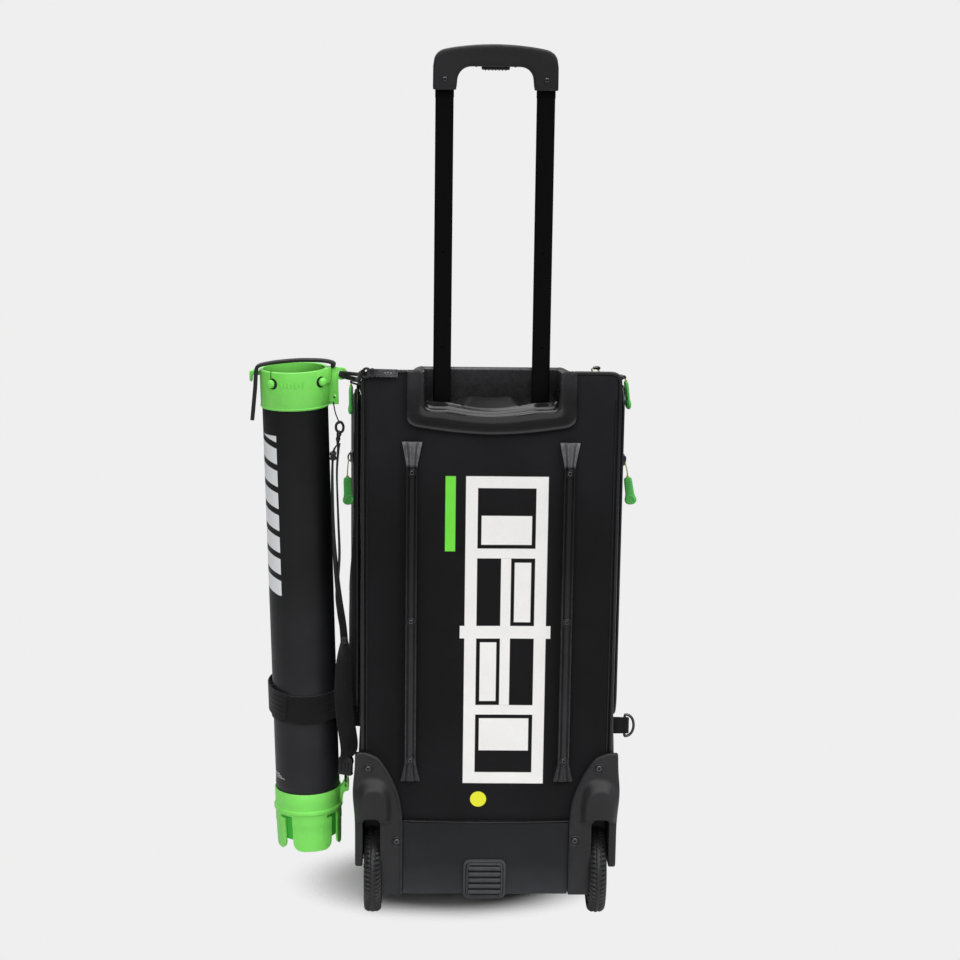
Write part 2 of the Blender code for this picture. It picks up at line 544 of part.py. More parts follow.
rotor_axis = (0, ROTOR_Y, 0.4540)
rotor = turned("rotor", [(0, 0.5120), (0.0180, 0.5090), (0.0260, 0.4980), (0.0830, 0.4900), (0.0830, 0.4545), (0.0048, 0.4545), (0.0045, 0.4500), (0, 0.4500)], 32, centre=(0, ROTOR_Y, 0))
rotor = cut(rotor, *[cylinder("pk", "Z", (POCKET_R * math.sin(2 * math.pi * k / 3), ROTOR_Y - POCKET_R * math.cos(2 * math.pi * k / 3), 0.48), 0.0358, 0.1, sides=24) for k in range(3)])
place(rotor, "feed_rotor", "green_plastic", pivot=rotor_axis)
motor = turned("fm", [(0, 0.4484), (0.0170, 0.4484), (0.0170, 0.4200), (0.0140, 0.4190), (0.0140, 0.4110), (0, 0.4110)], 24, centre=(0, ROTOR_Y + 0.008, 0))
place(motor, "feed_motor", "dark_steel")

battery = box("bt", (-0.0800, 0.0800), (-0.0300, 0.0900), (BAG_FLOOR + 0.0045, 0.1130), 0.004, 2)
place(battery, "battery_pack", "battery_grey")
board = box("bd", (-0.0500, 0.0500), (0.1120, 0.1136), (0.4780, 0.6020))
board = join(board, box("chip", (-0.0120, 0.0120), (0.1090, 0.1125), (0.5100, 0.5300)), box("cap", (0.0220, 0.0340), (0.1070, 0.1125), (0.5500, 0.5620)))
place(board, "control_board", "board_green")

# ================================================================== launching head: deck, motors, throwing wheels
tilt_axis = (0, TILT_Y, BALL_Z)
head = box("deck", (-0.1280, 0.1280), (-0.0620, 0.1200), (0.2650, 0.2700))
arms = [box("arm", (s * 0.1230 - 0.0050, s * 0.1230 + 0.0050), (TILT_Y - 0.0130, TILT_Y + 0.0130), (0.2660, 0.3220), 0.002, 1) for s in (-1, 1)]
pins = [cylinder("pin", "X", (s * 0.1370, TILT_Y, BALL_Z), 0.0060, 0.0240, sides=20) for s in (-1, 1)]
trough = cut(box("tr", (-0.0400, 0.0400), (-0.0800, -0.0120), (0.2660, 0.3240)), cylinder("ti", "Y", (0, -0.0450, BALL_Z), 0.0365, 0.0660, sides=32), box("to", (-0.0365, 0.0365), (-0.0760, 0.0), (BALL_Z, 0.40)))
muzzle = cut(cylinder("mu", "Y", (0, 0.1190, BALL_Z), 0.0430, 0.0320, sides=36), cylinder("mi", "Y", (0, 0.1190, BALL_Z), 0.0390, 0.06, sides=36))
web = cut(box("web", (-0.0300, 0.0300), (0.1050, 0.1192), (0.2660, 0.3000)), cylinder("wi", "Y", (0, 0.1190, BALL_Z), 0.0410, 0.06, sides=36))
head = join(head, trough, muzzle, web, *arms, *pins)
head = cut(head, *[cylinder("sh", "Z", (s * THROW_X, THROW_Y, 0.2675), 0.0066, 0.02, sides=20) for s in (-1, 1)])
place(head, "head_frame", "black_plastic", pivot=tilt_axis)
for hand, s in (("left", -1), ("right", 1)):
    can = turned("can", [(0, 0.2646), (0.0210, 0.2646), (0.0225, 0.2625), (0.0225, 0.2020), (0.0210, 0.1995), (0, 0.1995)], 28, centre=(s * THROW_X, THROW_Y, 0))
    place(can, "throw_motor_" + hand, "dark_steel", pivot=tilt_axis)
    wheel = turned("tw", [(0, 0.3330), (0.0110, 0.3330), (0.0130, 0.3160), (0.0400, 0.3150), (0.0410, 0.3250), (0.0520, 0.3250), (THROW_R, 0.3200), (0.0535, BALL_Z), (THROW_R, 0.3000), (0.0520, 0.2950), (0.0410, 0.2950), (0.0400, 0.3050), (0.0120, 0.3040), (0.0110, 0.2800), (0.0050, 0.2790), (0.0050, 0.2652), (0, 0.2652)], 28, centre=(s * THROW_X, THROW_Y, 0))
    place(wheel, "throw_wheel_" + hand, "foam_grey", pivot=(s * THROW_X, THROW_Y, BALL_Z))

# ================================================================== controls on the fascia
def knob(name, x, z, r):
    body = turned("kn", [(0, 0.1460), (r * 0.85, 0.1460), (r * 0.95, 0.1445), (r, 0.1325), (0.0038, 0.1322), (0.0038, 0.1252), (0, 0.1252)], 20, "Z")
    body.data.transform(Matrix.Rotation(-math.pi / 2, 4, "X"))
    body.data.transform(Matrix.Translation((x, 0, z)))
    pointer = box("pt", (x - 0.0012, x + 0.0012), (0.1440, 0.1470), (z + r * 0.25, z + r * 0.80))
    return place(join(body, pointer), name, "green_plastic", pivot=(x, 0.1320, z))


knob("speed_knob", -0.070, 0.530, 0.0170)
knob("frequency_knob", 0.070, 0.530, 0.0170)
knob("elevation_knob", 0.0950, 0.3500, 0.0140)
power = turned("pw", [(0, 0.1375), (0.0075, 0.1372), (0.0090, 0.1360), (0.0090, 0.1240), (0, 0.1240)], 24)
power.data.transform(Matrix.Rotation(-math.pi / 2, 4, "X"))
power.data.transform(Matrix.Translation((0, 0, 0.530)))
place(power, "power_button", "green_plastic", pivot=(0, 0.1375, 0.530))

# ================================================================== side fittings of the bag
dock = prism("dock", "YZ", rect(-0.1050, -0.0580, 0.2480, 0.3020, 0.004, 2), -0.1825, -0.1790)
dock = join(dock, box("root", (-0.1800, -BAG_HALF_W - GAP), (-0.1000, -0.0630), (0.2490, 0.2670)))
place(dock, "tube_dock", "black_webbing")

ring_x, ring_y, ring_z = 0.1835, -0.1000, 0.2530
tab = box("tab", (BAG_HALF_W + GAP, 0.1872), (ring_y - 0.0050, ring_y + 0.0050), (ring_z - 0.0105, ring_z + 0.0105), 0.0008, 1)
tab = cut(tab, cylinder("t", "Z", (ring_x, ring_y, ring_z), 0.0021, 0.05, sides=16))
place(tab, "dring_tab", "black_webbing")
loop = [(ring_x, ring_y, ring_z - 0.0145), (ring_x, ring_y, ring_z + 0.0145)] + [(ring_x + 0.0020 + 0.0095 * math.sin(math.radians(a)), ring_y, ring_z + 0.0145 * math.cos(math.radians(a))) for a in range(15, 180, 15)]
place(tube("ring", loop, 0.00165, 2, closed=True), "dring", "dark_steel", pivot=(ring_x, ring_y, ring_z))


def pull(name, x, y, z, drop):
    """Zip pull: a cord from the slider down to a moulded tab with a round end. It swings about X at the slider."""
    tab_top = z - drop
    outline = [(y - 0.0045, tab_top), (y - 0.0052, tab_top - 0.0225)] + arc(y, tab_top - 0.0290, 0.0068, 150, 390, 8) + [(y + 0.0052, tab_top - 0.0225), (y + 0.0045, tab_top)]
    tab = prism("tab", "YZ", outline, x - 0.0021, x + 0.0021, 0.0007, 1)
    cord = tube("cord", [(x, y, z + 0.001), (x, y, tab_top - 0.004)], 0.0011, 2)
    return place(join(tab, cord), name, "green_rubber", pivot=(x, y, z))


PULLS = {
    "zip_pull_left_upper": (-0.1811, -0.1120, 0.7130, 0.0060), "zip_pull_left_lower": (-0.1815, -0.1000, 0.6100, 0.0240),
    "zip_pull_right_upper": (0.1812, -0.0950, 0.7200, 0.0060), "zip_pull_right_lower": (0.1830, -0.1000, 0.6080, 0.0120),
}
for name, (x, y, z, cord) in PULLS.items():
    pull(name, x, y, z, cord)

# ================================================================== pick-up tube, in its own upright axes
tube_root = empty("pickup_tube_axis", TUBE_FOOT, bag, (0.0, -TUBE_LEAN, 0.0))
LEN = 0.6420                            # mouth to rim
BARREL_Z0 = 0.0640


def place_tube(obj, name, look, pivot=None):
    return place(obj, name, look, pivot, tube_root)


inner = turned("in", [(0.0365, 0.6000), (0.0388, 0.6000), (0.0388, 0.0560), (0.0365, 0.0560), (0.0365, 0.6000)], 36)
place_tube(inner, "tube_inner", "tube_black")
collector = turned("co", [(0.0393, 0.0700), (0.0424, 0.0700), (0.0430, 0.0590), (0.0450, 0.0560), (0.0452, 0.0400), (0.0440, 0.0), (0.0410, 0.0), (0.0418, 0.0380), (0.0393, 0.0480), (0.0393, 0.0700)], 48)
slits = []
for k in range(4):
    a = math.radians(52 + 90 * k)
    slit = box("sl", (0.030, 0.060), (-0.0075, 0.0075), (-0.01, 0.0300), 0.003, 1)
    slit.data.transform(Matrix.Rotation(a, 4, "Z"))
    slits.append(slit)
collector = cut(collector, *slits)
lug = cut(prism("lug", "XZ", rect(0.0400, 0.0530, 0.0560, 0.0790, 0.003, 2), -0.0075, 0.0075), box("lh", (0.0465, 0.0505), (-0.02, 0.02), (0.0600, 0.0750)), cylinder("lc", "Z", (0, 0, 0.07), 0.0412, 0.05, sides=48), cylinder("ld", "Z", (0, 0, 0.0804), 0.0426, 0.02, sides=48))
collector = join(collector, lug)
place_tube(collector, "tube_collector", "green_plastic")

barrel = turned("ba", [(0.0395, 0.6400), (BARREL_R, 0.6400), (BARREL_R, 0.0708), (0.0395, 0.0708), (0.0395, 0.6400)], 40)
place_tube(barrel, "tube_barrel", "tube_black")
collar = turned("cl", [(0.0424, 0.6420), (0.0438, 0.6420), (0.0438, 0.5930), (0.0424, 0.5930), (0.0424, 0.6420)], 48)
plate = cut(box("pl", (0.0428, 0.0560), (-0.0022, 0.0022), (0.5930, 0.6430), 0.0008, 1), cylinder("ch", "Y", (0.0515, 0, 0.6110), 0.0012, 0.02, sides=10))
plate = cut(plate, cylinder("cc", "Z", (0, 0, 0.62), 0.0431, 0.1, sides=48))
eye = cylinder("ey", "Y", (0.0600, 0, 0.6330), 0.0076, 0.0044, sides=24)
hook = cut(box("hk", (-0.0550, -0.0425), (-0.0050, 0.0050), (0.6330, 0.6390), 0.001, 1), cylinder("hc", "Z", (0, 0, 0.62), 0.0431, 0.1, sides=48))
buttons = [cylinder("bu", "Y", (x, -0.0430, 0.6230), 0.0055, 0.0100, sides=18) for x in (-0.0290, 0.0270)]
stub = cylinder("st", "Z", (0, 0, 0.62), 0.0426, 0.1, sides=48)
studs = cut(join(buttons[0], box("bb", (-0.0290, 0.0270), (-0.0440, -0.0385), (0.6215, 0.6245)), buttons[1]), stub)
collar = cut(join(collar, plate, eye, hook, studs), cylinder("eh", "Y", (0.0600, 0, 0.6330), 0.0045, 0.02, sides=20))
place_tube(collar, "tube_collar", "green_plastic")

band_line = smooth_line([(0.0515, 0.6450), (0.0500, 0.6500), (0.0420, 0.6545), (0.0150, 0.6580), (-0.0200, 0.6565), (-0.0480, 0.6515), (-0.0555, 0.6470), (-0.0580, 0.6370), (-0.0595, 0.6100), (-0.0610, 0.5820)], 3)
band = strap("band", [(p.x, p.y) for p in band_line], 0.0030, -0.0065, 0.0065)
place_tube(band, "retainer_strap", "black_webbing", pivot=(0.0515, 0, 0.6460))

cinch = turned("ci", [(0.0425, 0.2050), (0.0452, 0.2050), (0.0452, 0.1670), (0.0425, 0.1670), (0.0425, 0.2050)], 40)
tongue = cut(box("to", (0.0430, 0.0543), (-0.0170, 0.0170), (0.1670, 0.2050), 0.0008, 1), cylinder("tc", "Z", (0, 0, 0.18), 0.0440, 0.1, sides=40))
tail = cut(box("ta", (-0.0500, -0.0430), (-0.0190, 0.0090), (0.1760, 0.2160), 0.0010, 1), cylinder("tc", "Z", (0, 0, 0.18), 0.0440, 0.1, sides=40))
cinch = join(cinch, tongue, tail)
place_tube(cinch, "cinch_strap", "black_webbing")

sling_line = smooth_line([(0.0520, 0.5870), (0.0540, 0.5700), (0.0490, 0.5500), (0.0465, 0.5000), (0.0480, 0.4300), (0.0530, 0.3700), (0.0555, 0.3000), (0.0540, 0.2450), (0.0565, 0.2000), (0.0570, 0.1500), (0.0520, 0.1050), (0.0500, 0.0860)], 3)
sling = strap("sling", [(p.x, p.y) for p in sling_line], 0.0022, -0.0350, -0.0210)
place_tube(sling, "shoulder_strap", "black_webbing")

hanger_line = smooth_line([(0.0605, 0.6332), (0.0620, 0.6410), (0.0670, 0.6480), (0.0770, 0.6515), (0.0960, 0.6525), (0.1320, 0.6512)], 3)
hanger = strap("hanger", [(p.x, p.y) for p in hanger_line], 0.0030, -0.0560, -0.0420)
hanger_link = tube("hl", [tuple(p) for p in smooth_line([(0.0600, 0.0045, 0.6330), (0.0600, -0.0060, 0.6330), (0.0605, -0.0250, 0.6345), (0.0615, -0.0450, 0.6380)], 3)], 0.0026, 2)
hanger = join(hanger, hanger_link)
place_tube(hanger, "hanger_strap", "black_webbing")
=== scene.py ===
"""Looks for the portable ball launcher built into a wheeled trolley bag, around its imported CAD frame.

Pieces are built in the bag's own axes (X = 0 at the middle of the bag, -Y the trolley side) or in the pick-up tube's,
and stand in the object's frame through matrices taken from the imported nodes.
"""
import math
import numpy as np

import bmesh
import bpy
from mathutils import Matrix, Vector, noise


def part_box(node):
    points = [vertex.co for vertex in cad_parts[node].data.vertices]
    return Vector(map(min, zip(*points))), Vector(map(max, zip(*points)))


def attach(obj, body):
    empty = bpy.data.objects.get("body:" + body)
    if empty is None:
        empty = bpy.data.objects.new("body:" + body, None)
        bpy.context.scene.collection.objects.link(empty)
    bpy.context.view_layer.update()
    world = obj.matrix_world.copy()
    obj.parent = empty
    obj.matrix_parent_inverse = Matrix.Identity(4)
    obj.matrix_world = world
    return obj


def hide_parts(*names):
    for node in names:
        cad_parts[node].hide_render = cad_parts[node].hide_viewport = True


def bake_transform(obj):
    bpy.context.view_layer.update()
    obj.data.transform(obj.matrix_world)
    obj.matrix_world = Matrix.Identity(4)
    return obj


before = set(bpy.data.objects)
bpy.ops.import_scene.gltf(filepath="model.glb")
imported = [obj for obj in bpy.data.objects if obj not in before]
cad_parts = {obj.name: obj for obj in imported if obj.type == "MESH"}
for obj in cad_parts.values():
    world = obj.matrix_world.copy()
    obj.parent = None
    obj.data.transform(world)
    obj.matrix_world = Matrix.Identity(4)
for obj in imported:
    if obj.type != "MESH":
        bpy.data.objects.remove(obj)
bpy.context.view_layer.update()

panel_lo, panel_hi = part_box("rear_panel")
FX = (panel_lo.x + panel_hi.x) / 2               # bag middle in the object's frame
FY = panel_lo.y + 0.150
BAG = Matrix.Translation((FX, FY, 0.0))
LEAN = math.radians(1.55)
TUBE = Matrix.Translation((FX - 0.2335, FY - 0.088, 0.085)) @ Matrix.Rotation(-LEAN, 4, "Y")
TOP_REAR, SLOPE = 0.7270, math.tan(math.radians(11.0))


def camera():
    az, el, roll = math.radians(-1.57), math.radians(12.71), math.radians(0.763)
    back = Vector((math.sin(az) * math.cos(el), -math.cos(az) * math.cos(el), math.sin(el)))
    forward = -back
    right = forward.cross(Vector((0, 0, 1))).normalized()
    up = right.cross(forward)
    right2 = right * math.cos(roll) + up * math.sin(roll)
    up2 = -right * math.sin(roll) + up * math.cos(roll)
    data = bpy.data.cameras.new("camera")
    data.lens, data.sensor_width, data.sensor_height = 81.6, 36.0, 36.0
    data.clip_end = 60.0
    obj = bpy.data.objects.new("camera", data)
    bpy.context.scene.collection.objects.link(obj)
    m = Matrix((right2, up2, back)).transposed().to_4x4()
    m.translation = Vector((FX - 0.087, FY - 2.83, 1.200))
    obj.matrix_world = m
    bpy.context.scene.camera = obj


camera()


# ------------------------------------------------------------------ material helper
class Look:
    """A material built node by node; coordinates are the piece's own, in metres."""

    def __init__(self, name):
        self.mat = bpy.data.materials.new(name)
        self.mat.use_nodes = True
        self.tree = self.mat.node_tree
        self.shader = self.tree.nodes["Principled BSDF"]
        self.coords = self.tree.nodes.new("ShaderNodeTexCoord")
        self.geometry = self.tree.nodes.new("ShaderNodeNewGeometry")

    def node(self, kind, **props):
        made = self.tree.nodes.new(kind)
        for k, v in props.items():
            setattr(made, k, v)
        return made

    def put(self, socket, value):
        if isinstance(value, bpy.types.NodeSocket):
            self.tree.links.new(value, socket)
        else:
            socket.default_value = value

    def set(self, **inputs):
        for k, v in inputs.items():
            self.put(self.shader.inputs[k.replace("_", " ")], v)
        return self

    @property
    def obj(self):
        return self.coords.outputs["Object"]

    @property
    def uv(self):
        return self.coords.outputs["UV"]

    def scaled(self, vec, s):
        m = self.node("ShaderNodeVectorMath", operation="MULTIPLY")
        self.put(m.inputs[0], vec)
        self.put(m.inputs[1], s)
        return m.outputs[0]

    def axes(self, vec=None):
        s = self.node("ShaderNodeSeparateXYZ")
        self.put(s.inputs[0], vec or self.obj)
        return s.outputs[0], s.outputs[1], s.outputs[2]

    def noise(self, scale, detail=2.0, rough=0.5, vec=None, distortion=0.0):
        n = self.node("ShaderNodeTexNoise")
        self.put(n.inputs["Vector"], vec or self.obj)
        n.inputs["Scale"].default_value = scale
        n.inputs["Detail"].default_value = detail
        n.inputs["Roughness"].default_value = rough
        n.inputs["Distortion"].default_value = distortion
        return n.outputs["Fac"]

    def cells(self, scale, vec=None, feature="F1"):
        n = self.node("ShaderNodeTexVoronoi", feature=feature)
        self.put(n.inputs["Vector"], vec or self.obj)
        n.inputs["Scale"].default_value = scale
        return n.outputs["Distance"]

    def math(self, op, a, b=0.0, c=0.0, clamp=False):
        n = self.node("ShaderNodeMath", operation=op, use_clamp=clamp)
        self.put(n.inputs[0], a)
        self.put(n.inputs[1], b)
        self.put(n.inputs[2], c)
        return n.outputs[0]

    def span(self, value, lo, hi, out_lo=0.0, out_hi=1.0, smooth=True):
        n = self.node("ShaderNodeMapRange", interpolation_type="SMOOTHSTEP" if smooth else "LINEAR")
        for i, v in enumerate((value, lo, hi, out_lo, out_hi)):
            self.put(n.inputs[i], v)
        return n.outputs[0]

    def mix(self, fac, a, b):
        n = self.node("ShaderNodeMix", data_type="RGBA")
        self.put(n.inputs[0], fac)
        for i, v in ((6, a), (7, b)):
            self.put(n.inputs[i], v if isinstance(v, bpy.types.NodeSocket) else (*v, 1.0))
        return n.outputs[2]

    def bump(self, height, distance, strength=1.0, normal=None):
        n = self.node("ShaderNodeBump")
        n.inputs["Strength"].default_value = strength
        n.inputs["Distance"].default_value = distance
        self.put(n.inputs["Height"], height)
        if normal is not None:
            self.put(n.inputs["Normal"], normal)
        return n.outputs[0]

    def edges(self, lo=0.51, hi=0.58):
        return self.span(self.geometry.outputs["Pointiness"], lo, hi)

    def boxmask(self, x0, x1, y0, y1, u, v, soft=0.0004):
        """1 inside a rectangle of the two coordinates u and v."""
        cu, cv = (x0 + x1) / 2, (y0 + y1) / 2
        a = self.math("SUBTRACT", self.math("ABSOLUTE", self.math("SUBTRACT", u, cu)), (x1 - x0) / 2)
        b = self.math("SUBTRACT", self.math("ABSOLUTE", self.math("SUBTRACT", v, cv)), (y1 - y0) / 2)
        return self.span(self.math("MAXIMUM", a, b), -soft, soft, 1.0, 0.0)


def tone(colour, k):
    return tuple(c * k for c in colour)


def lattice(n, pitch, vec=None):
    """Crossed threads that read as a weave on a face turned any way."""
    x, y, z = n.axes(vec)
    k = 2 * math.pi / pitch
    u = n.math("MULTIPLY", n.math("ADD", x, y), k)
    w = n.math("MULTIPLY", n.math("MULTIPLY_ADD", n.math("SUBTRACT", x, y), 0.55, z), k)
    return n.math("MULTIPLY", n.math("SINE", u), n.math("SINE", w))


def painted_light_by_height(n, base, stops):
    """Paints light and shade by height: multiplies a colour by a factor that follows height, (height, factor) stops
    from low to high.
    """
    z = n.axes()[2]
    out = None
    for (z0, f0), (z1, f1) in zip(stops, stops[1:]):
        step = n.span(z, z0, z1, 0.0, f1 - f0)
        out = n.math("ADD", step, f0 if out is None else out)
    return multiplied(n, base, out)


def multiplied(n, colour, value):
    m = n.node("ShaderNodeMix", data_type="RGBA", blend_type="MULTIPLY")
    m.inputs[0].default_value = 1.0
    n.put(m.inputs[6], colour)
    grey = n.node("ShaderNodeCombineColor")
    for k in range(3):
        n.put(grey.inputs[k], value)
    n.put(m.inputs[7], grey.outputs[0])
    return m.outputs[2]


def fabric(name, colour=(0.0075, 0.0075, 0.0085), pitch=0.0013, rough=0.82, spec=0.14, sheen=0.08, prints=None, crinkle=0.35, fade=None):
    n = Look(name)
    weave = lattice(n, pitch)
    cloudy = n.noise(9.0, 3.0, 0.6)
    fibre = n.noise(900.0, 2.0, 0.6)
    base = n.mix(n.span(cloudy, 0.30, 0.70), tone(colour, 0.78), tone(colour, 1.30))
    base = n.mix(n.math("MULTIPLY", n.span(weave, -0.6, 0.9), 0.55), base, tone(colour, 2.1))
    # fade paints light and shade onto the cloth's colour by height
    if fade:
        base = painted_light_by_height(n, base, fade)
    rough_map = n.math("MULTIPLY_ADD", fibre, 0.16, rough - 0.08)
    if prints:
        base, ink = prints(n, base)
        rough_map = n.math("MULTIPLY_ADD", ink, -0.30, rough_map)
    folds = n.noise(26.0, 3.0, 0.55, distortion=0.5)
    height = n.math("MULTIPLY_ADD", weave, 0.22, n.math("MULTIPLY", fibre, 0.30))
    normal = n.bump(folds, 0.004, crinkle)
    normal = n.bump(height, 0.0005, 0.55, normal)
    n.set(Base_Color=base, Roughness=rough_map, Normal=normal)
    n.set(Specular_IOR_Level=spec, Sheen_Weight=sheen, Sheen_Roughness=0.45)
    return n.mat


def moulded(name, colour, rough=0.42, grain=0.00045, spec=0.5, wear=0.35, pebble=1500.0, variation=0.22, fade=None):
    """Moulded plastic: fine pebble grain, cloudy tone, edges rubbed lighter and smoother."""
    n = Look(name)
    cloudy = n.noise(14.0, 3.0, 0.6)
    fine = n.cells(pebble)
    scuff = n.noise(120.0, 4.0, 0.7, distortion=1.2)
    base = n.mix(n.span(cloudy, 0.3, 0.7), tone(colour, 1 - variation), tone(colour, 1 + variation))
    rub = n.math("MULTIPLY", n.edges(), n.span(scuff, 0.35, 0.62))
    base = n.mix(n.math("MULTIPLY", rub, wear), base, tuple(min(1.0, c * 2.2 + 0.02) for c in colour))
    marks = n.span(n.noise(420.0, 3.0, 0.7, vec=n.scaled(n.obj, (1.0, 1.0, 0.12))), 0.62, 0.74)
    base = n.mix(n.math("MULTIPLY", marks, 0.10), base, tuple(min(1.0, c * 1.9 + 0.01) for c in colour))
    # fade paints light and shade onto the plastic's colour by height
    if fade:
        base = painted_light_by_height(n, base, fade)
    r = n.math("MULTIPLY_ADD", scuff, 0.16, rough - 0.08)
    r = n.math("MULTIPLY_ADD", rub, -0.10, r)
    n.set(Base_Color=base, Roughness=r, Normal=n.bump(fine, grain, 0.30), Specular_IOR_Level=spec)
    return n.mat


def webbing(name, colour=(0.010, 0.010, 0.011), along=0.0022, across=0.0032, rough=0.78, uv=True, stitch=False):
    """Woven strap: a herringbone along the strap with fine ribs across it. The stitch argument is not used."""
    n = Look(name)
    vec = n.uv if uv else n.obj
    u, v, w = n.axes(vec)
    if not uv:
        u, v = w, n.math("ADD", u, v)
    zig = n.math("PINGPONG", v, across)
    chevron = n.math("SINE", n.math("MULTIPLY", n.math("ADD", u, zig), 2 * math.pi / along))
    rib = n.math("SINE", n.math("MULTIPLY", v, 2 * math.pi / (across * 0.5)))
    fuzz = n.noise(1300.0, 2.0, 0.6)
    cloudy = n.noise(30.0, 2.0, 0.5)
    base = n.mix(n.span(chevron, -0.7, 0.9), tone(colour, 0.55), tone(colour, 1.75))
    base = n.mix(n.math("MULTIPLY", n.span(cloudy, 0.35, 0.7), 0.5), base, tone(colour, 2.0))
    height = n.math("MULTIPLY_ADD", chevron, 0.5, n.math("MULTIPLY_ADD", rib, 0.25, n.math("MULTIPLY", fuzz, 0.5)))
    n.set(Base_Color=base, Roughness=n.math("MULTIPLY_ADD", fuzz, 0.2, rough - 0.1), Normal=n.bump(height, 0.0004, 0.7))
    n.set(Specular_IOR_Level=0.22, Sheen_Weight=0.15, Sheen_Roughness=0.4)
    return n.mat


def metal(name, colour, rough=0.3, brushed=(1.0, 1.0, 0.05), metallic=1.0, scratch=0.3, spec=0.5):
    n = Look(name)
    line = n.noise(900.0, 3.0, 0.6, vec=n.scaled(n.obj, brushed))
    cloudy = n.noise(20.0, 2.0, 0.5)
    base = n.mix(n.span(cloudy, 0.3, 0.7), tone(colour, 0.85), tone(colour, 1.15))
    base = n.mix(n.math("MULTIPLY", n.edges(0.52, 0.60), scratch), base, tuple(min(1.0, c * 1.6 + 0.05) for c in colour))
    n.set(Base_Color=base, Roughness=n.math("MULTIPLY_ADD", line, 0.22, rough - 0.11), Metallic=metallic, Normal=n.bump(line, 0.0002, 0.18), Specular_IOR_Level=spec)
    return n.mat


def rubber(name, colour, rough=0.7, dust=(0.10, 0.095, 0.085), amount=0.35, grain=900.0):
    """Rubber with dust caught in its low places."""
    n = Look(name)
    fine = n.noise(grain, 3.0, 0.6)
    patches = n.noise(38.0, 4.0, 0.65)
    low = n.span(n.geometry.outputs["Pointiness"], 0.50, 0.42)
    dusty = n.math("MULTIPLY", n.math("MULTIPLY_ADD", low, 0.7, 0.25), n.math("MULTIPLY", n.span(patches, 0.38, 0.66), amount))
    base = n.mix(n.span(fine, 0.3, 0.7), tone(colour, 0.8), tone(colour, 1.25))
    base = n.mix(dusty, base, dust)
    n.set(Base_Color=base, Roughness=n.math("MULTIPLY_ADD", patches, 0.2, rough - 0.1), Normal=n.bump(fine, 0.0004, 0.35), Specular_IOR_Level=0.35)
    return n.mat


# ------------------------------------------------------------------ printed graphics, plain and generic
def panel_prints(n, base):
    """A stylised court in white, a green bar and a yellow dot, printed on the back panel."""
    x, y, z = n.axes()
    x0, x1, z0, z1, w = -0.0310, 0.0735, 0.1900, 0.6000, 0.0152
    xm, zm = (x0 + x1) / 2, (z0 + z1) / 2
    rects = [
        (x0, x0 + w, z0, z1), (x1 - w, x1, z0, z1), (x0, x1, z0, z0 + w), (x0, x1, z1 - w, z1),
        (x0 - 0.006, x1 + 0.006, zm - w * 0.55, zm + w * 0.55),
        (x0, x1, zm + 0.098, zm + 0.098 + w * 0.85), (x0, x1, zm - 0.098 - w * 0.85, zm - 0.098),
        (xm - w * 0.42, xm + w * 0.42, zm - 0.098, zm + 0.098),
        (xm + 0.0110, x1 - w - 0.0050, zm + 0.0135, zm + 0.0925), (x0 + w + 0.0050, xm - 0.0110, zm - 0.0925, zm - 0.0135),
        (x0 + w + 0.0050, x1 - w - 0.0050, zm + 0.098 + w * 0.85 + 0.0050, z1 - w - 0.0360), (x0 + w + 0.0050, x1 - w - 0.0050, z0 + w + 0.0300, zm - 0.098 - w * 0.85 - 0.0050),
    ]
    white = None
    for r in rects:
        m = n.boxmask(*r, x, z)
        white = m if white is None else n.math("MAXIMUM", white, m)
    green = n.boxmask(-0.0570, -0.0440, 0.5020, 0.6000, x, z)
    dx, dz = n.math("SUBTRACT", x, -0.0105), n.math("SUBTRACT", z, 0.1680)
    dist = n.math("SQRT", n.math("ADD", n.math("MULTIPLY", dx, dx), n.math("MULTIPLY", dz, dz)))
    yellow = n.span(dist, 0.0102, 0.0108, 1.0, 0.0)
    rear = n.span(y, -0.1470, -0.1475)
    white, green, yellow = (n.math("MULTIPLY", m, rear) for m in (white, green, yellow))
    worn = n.span(n.noise(700.0, 3.0, 0.7), 0.30, 0.46, 0.90, 1.0)
    tint = n.noise(30.0, 2.0, 0.5)
    out = n.mix(n.math("MULTIPLY", white, worn), base, n.mix(tint, (0.84, 0.835, 0.815), (0.92, 0.915, 0.90)))
    out = n.mix(n.math("MULTIPLY", green, worn), out, n.mix(tint, (0.155, 0.70, 0.052), (0.19, 0.80, 0.07)))
    out = n.mix(n.math("MULTIPLY", yellow, worn), out, n.mix(tint, (0.78, 0.78, 0.030), (0.86, 0.86, 0.05)))
    return out, n.math("MAXIMUM", n.math("MAXIMUM", white, green), yellow)


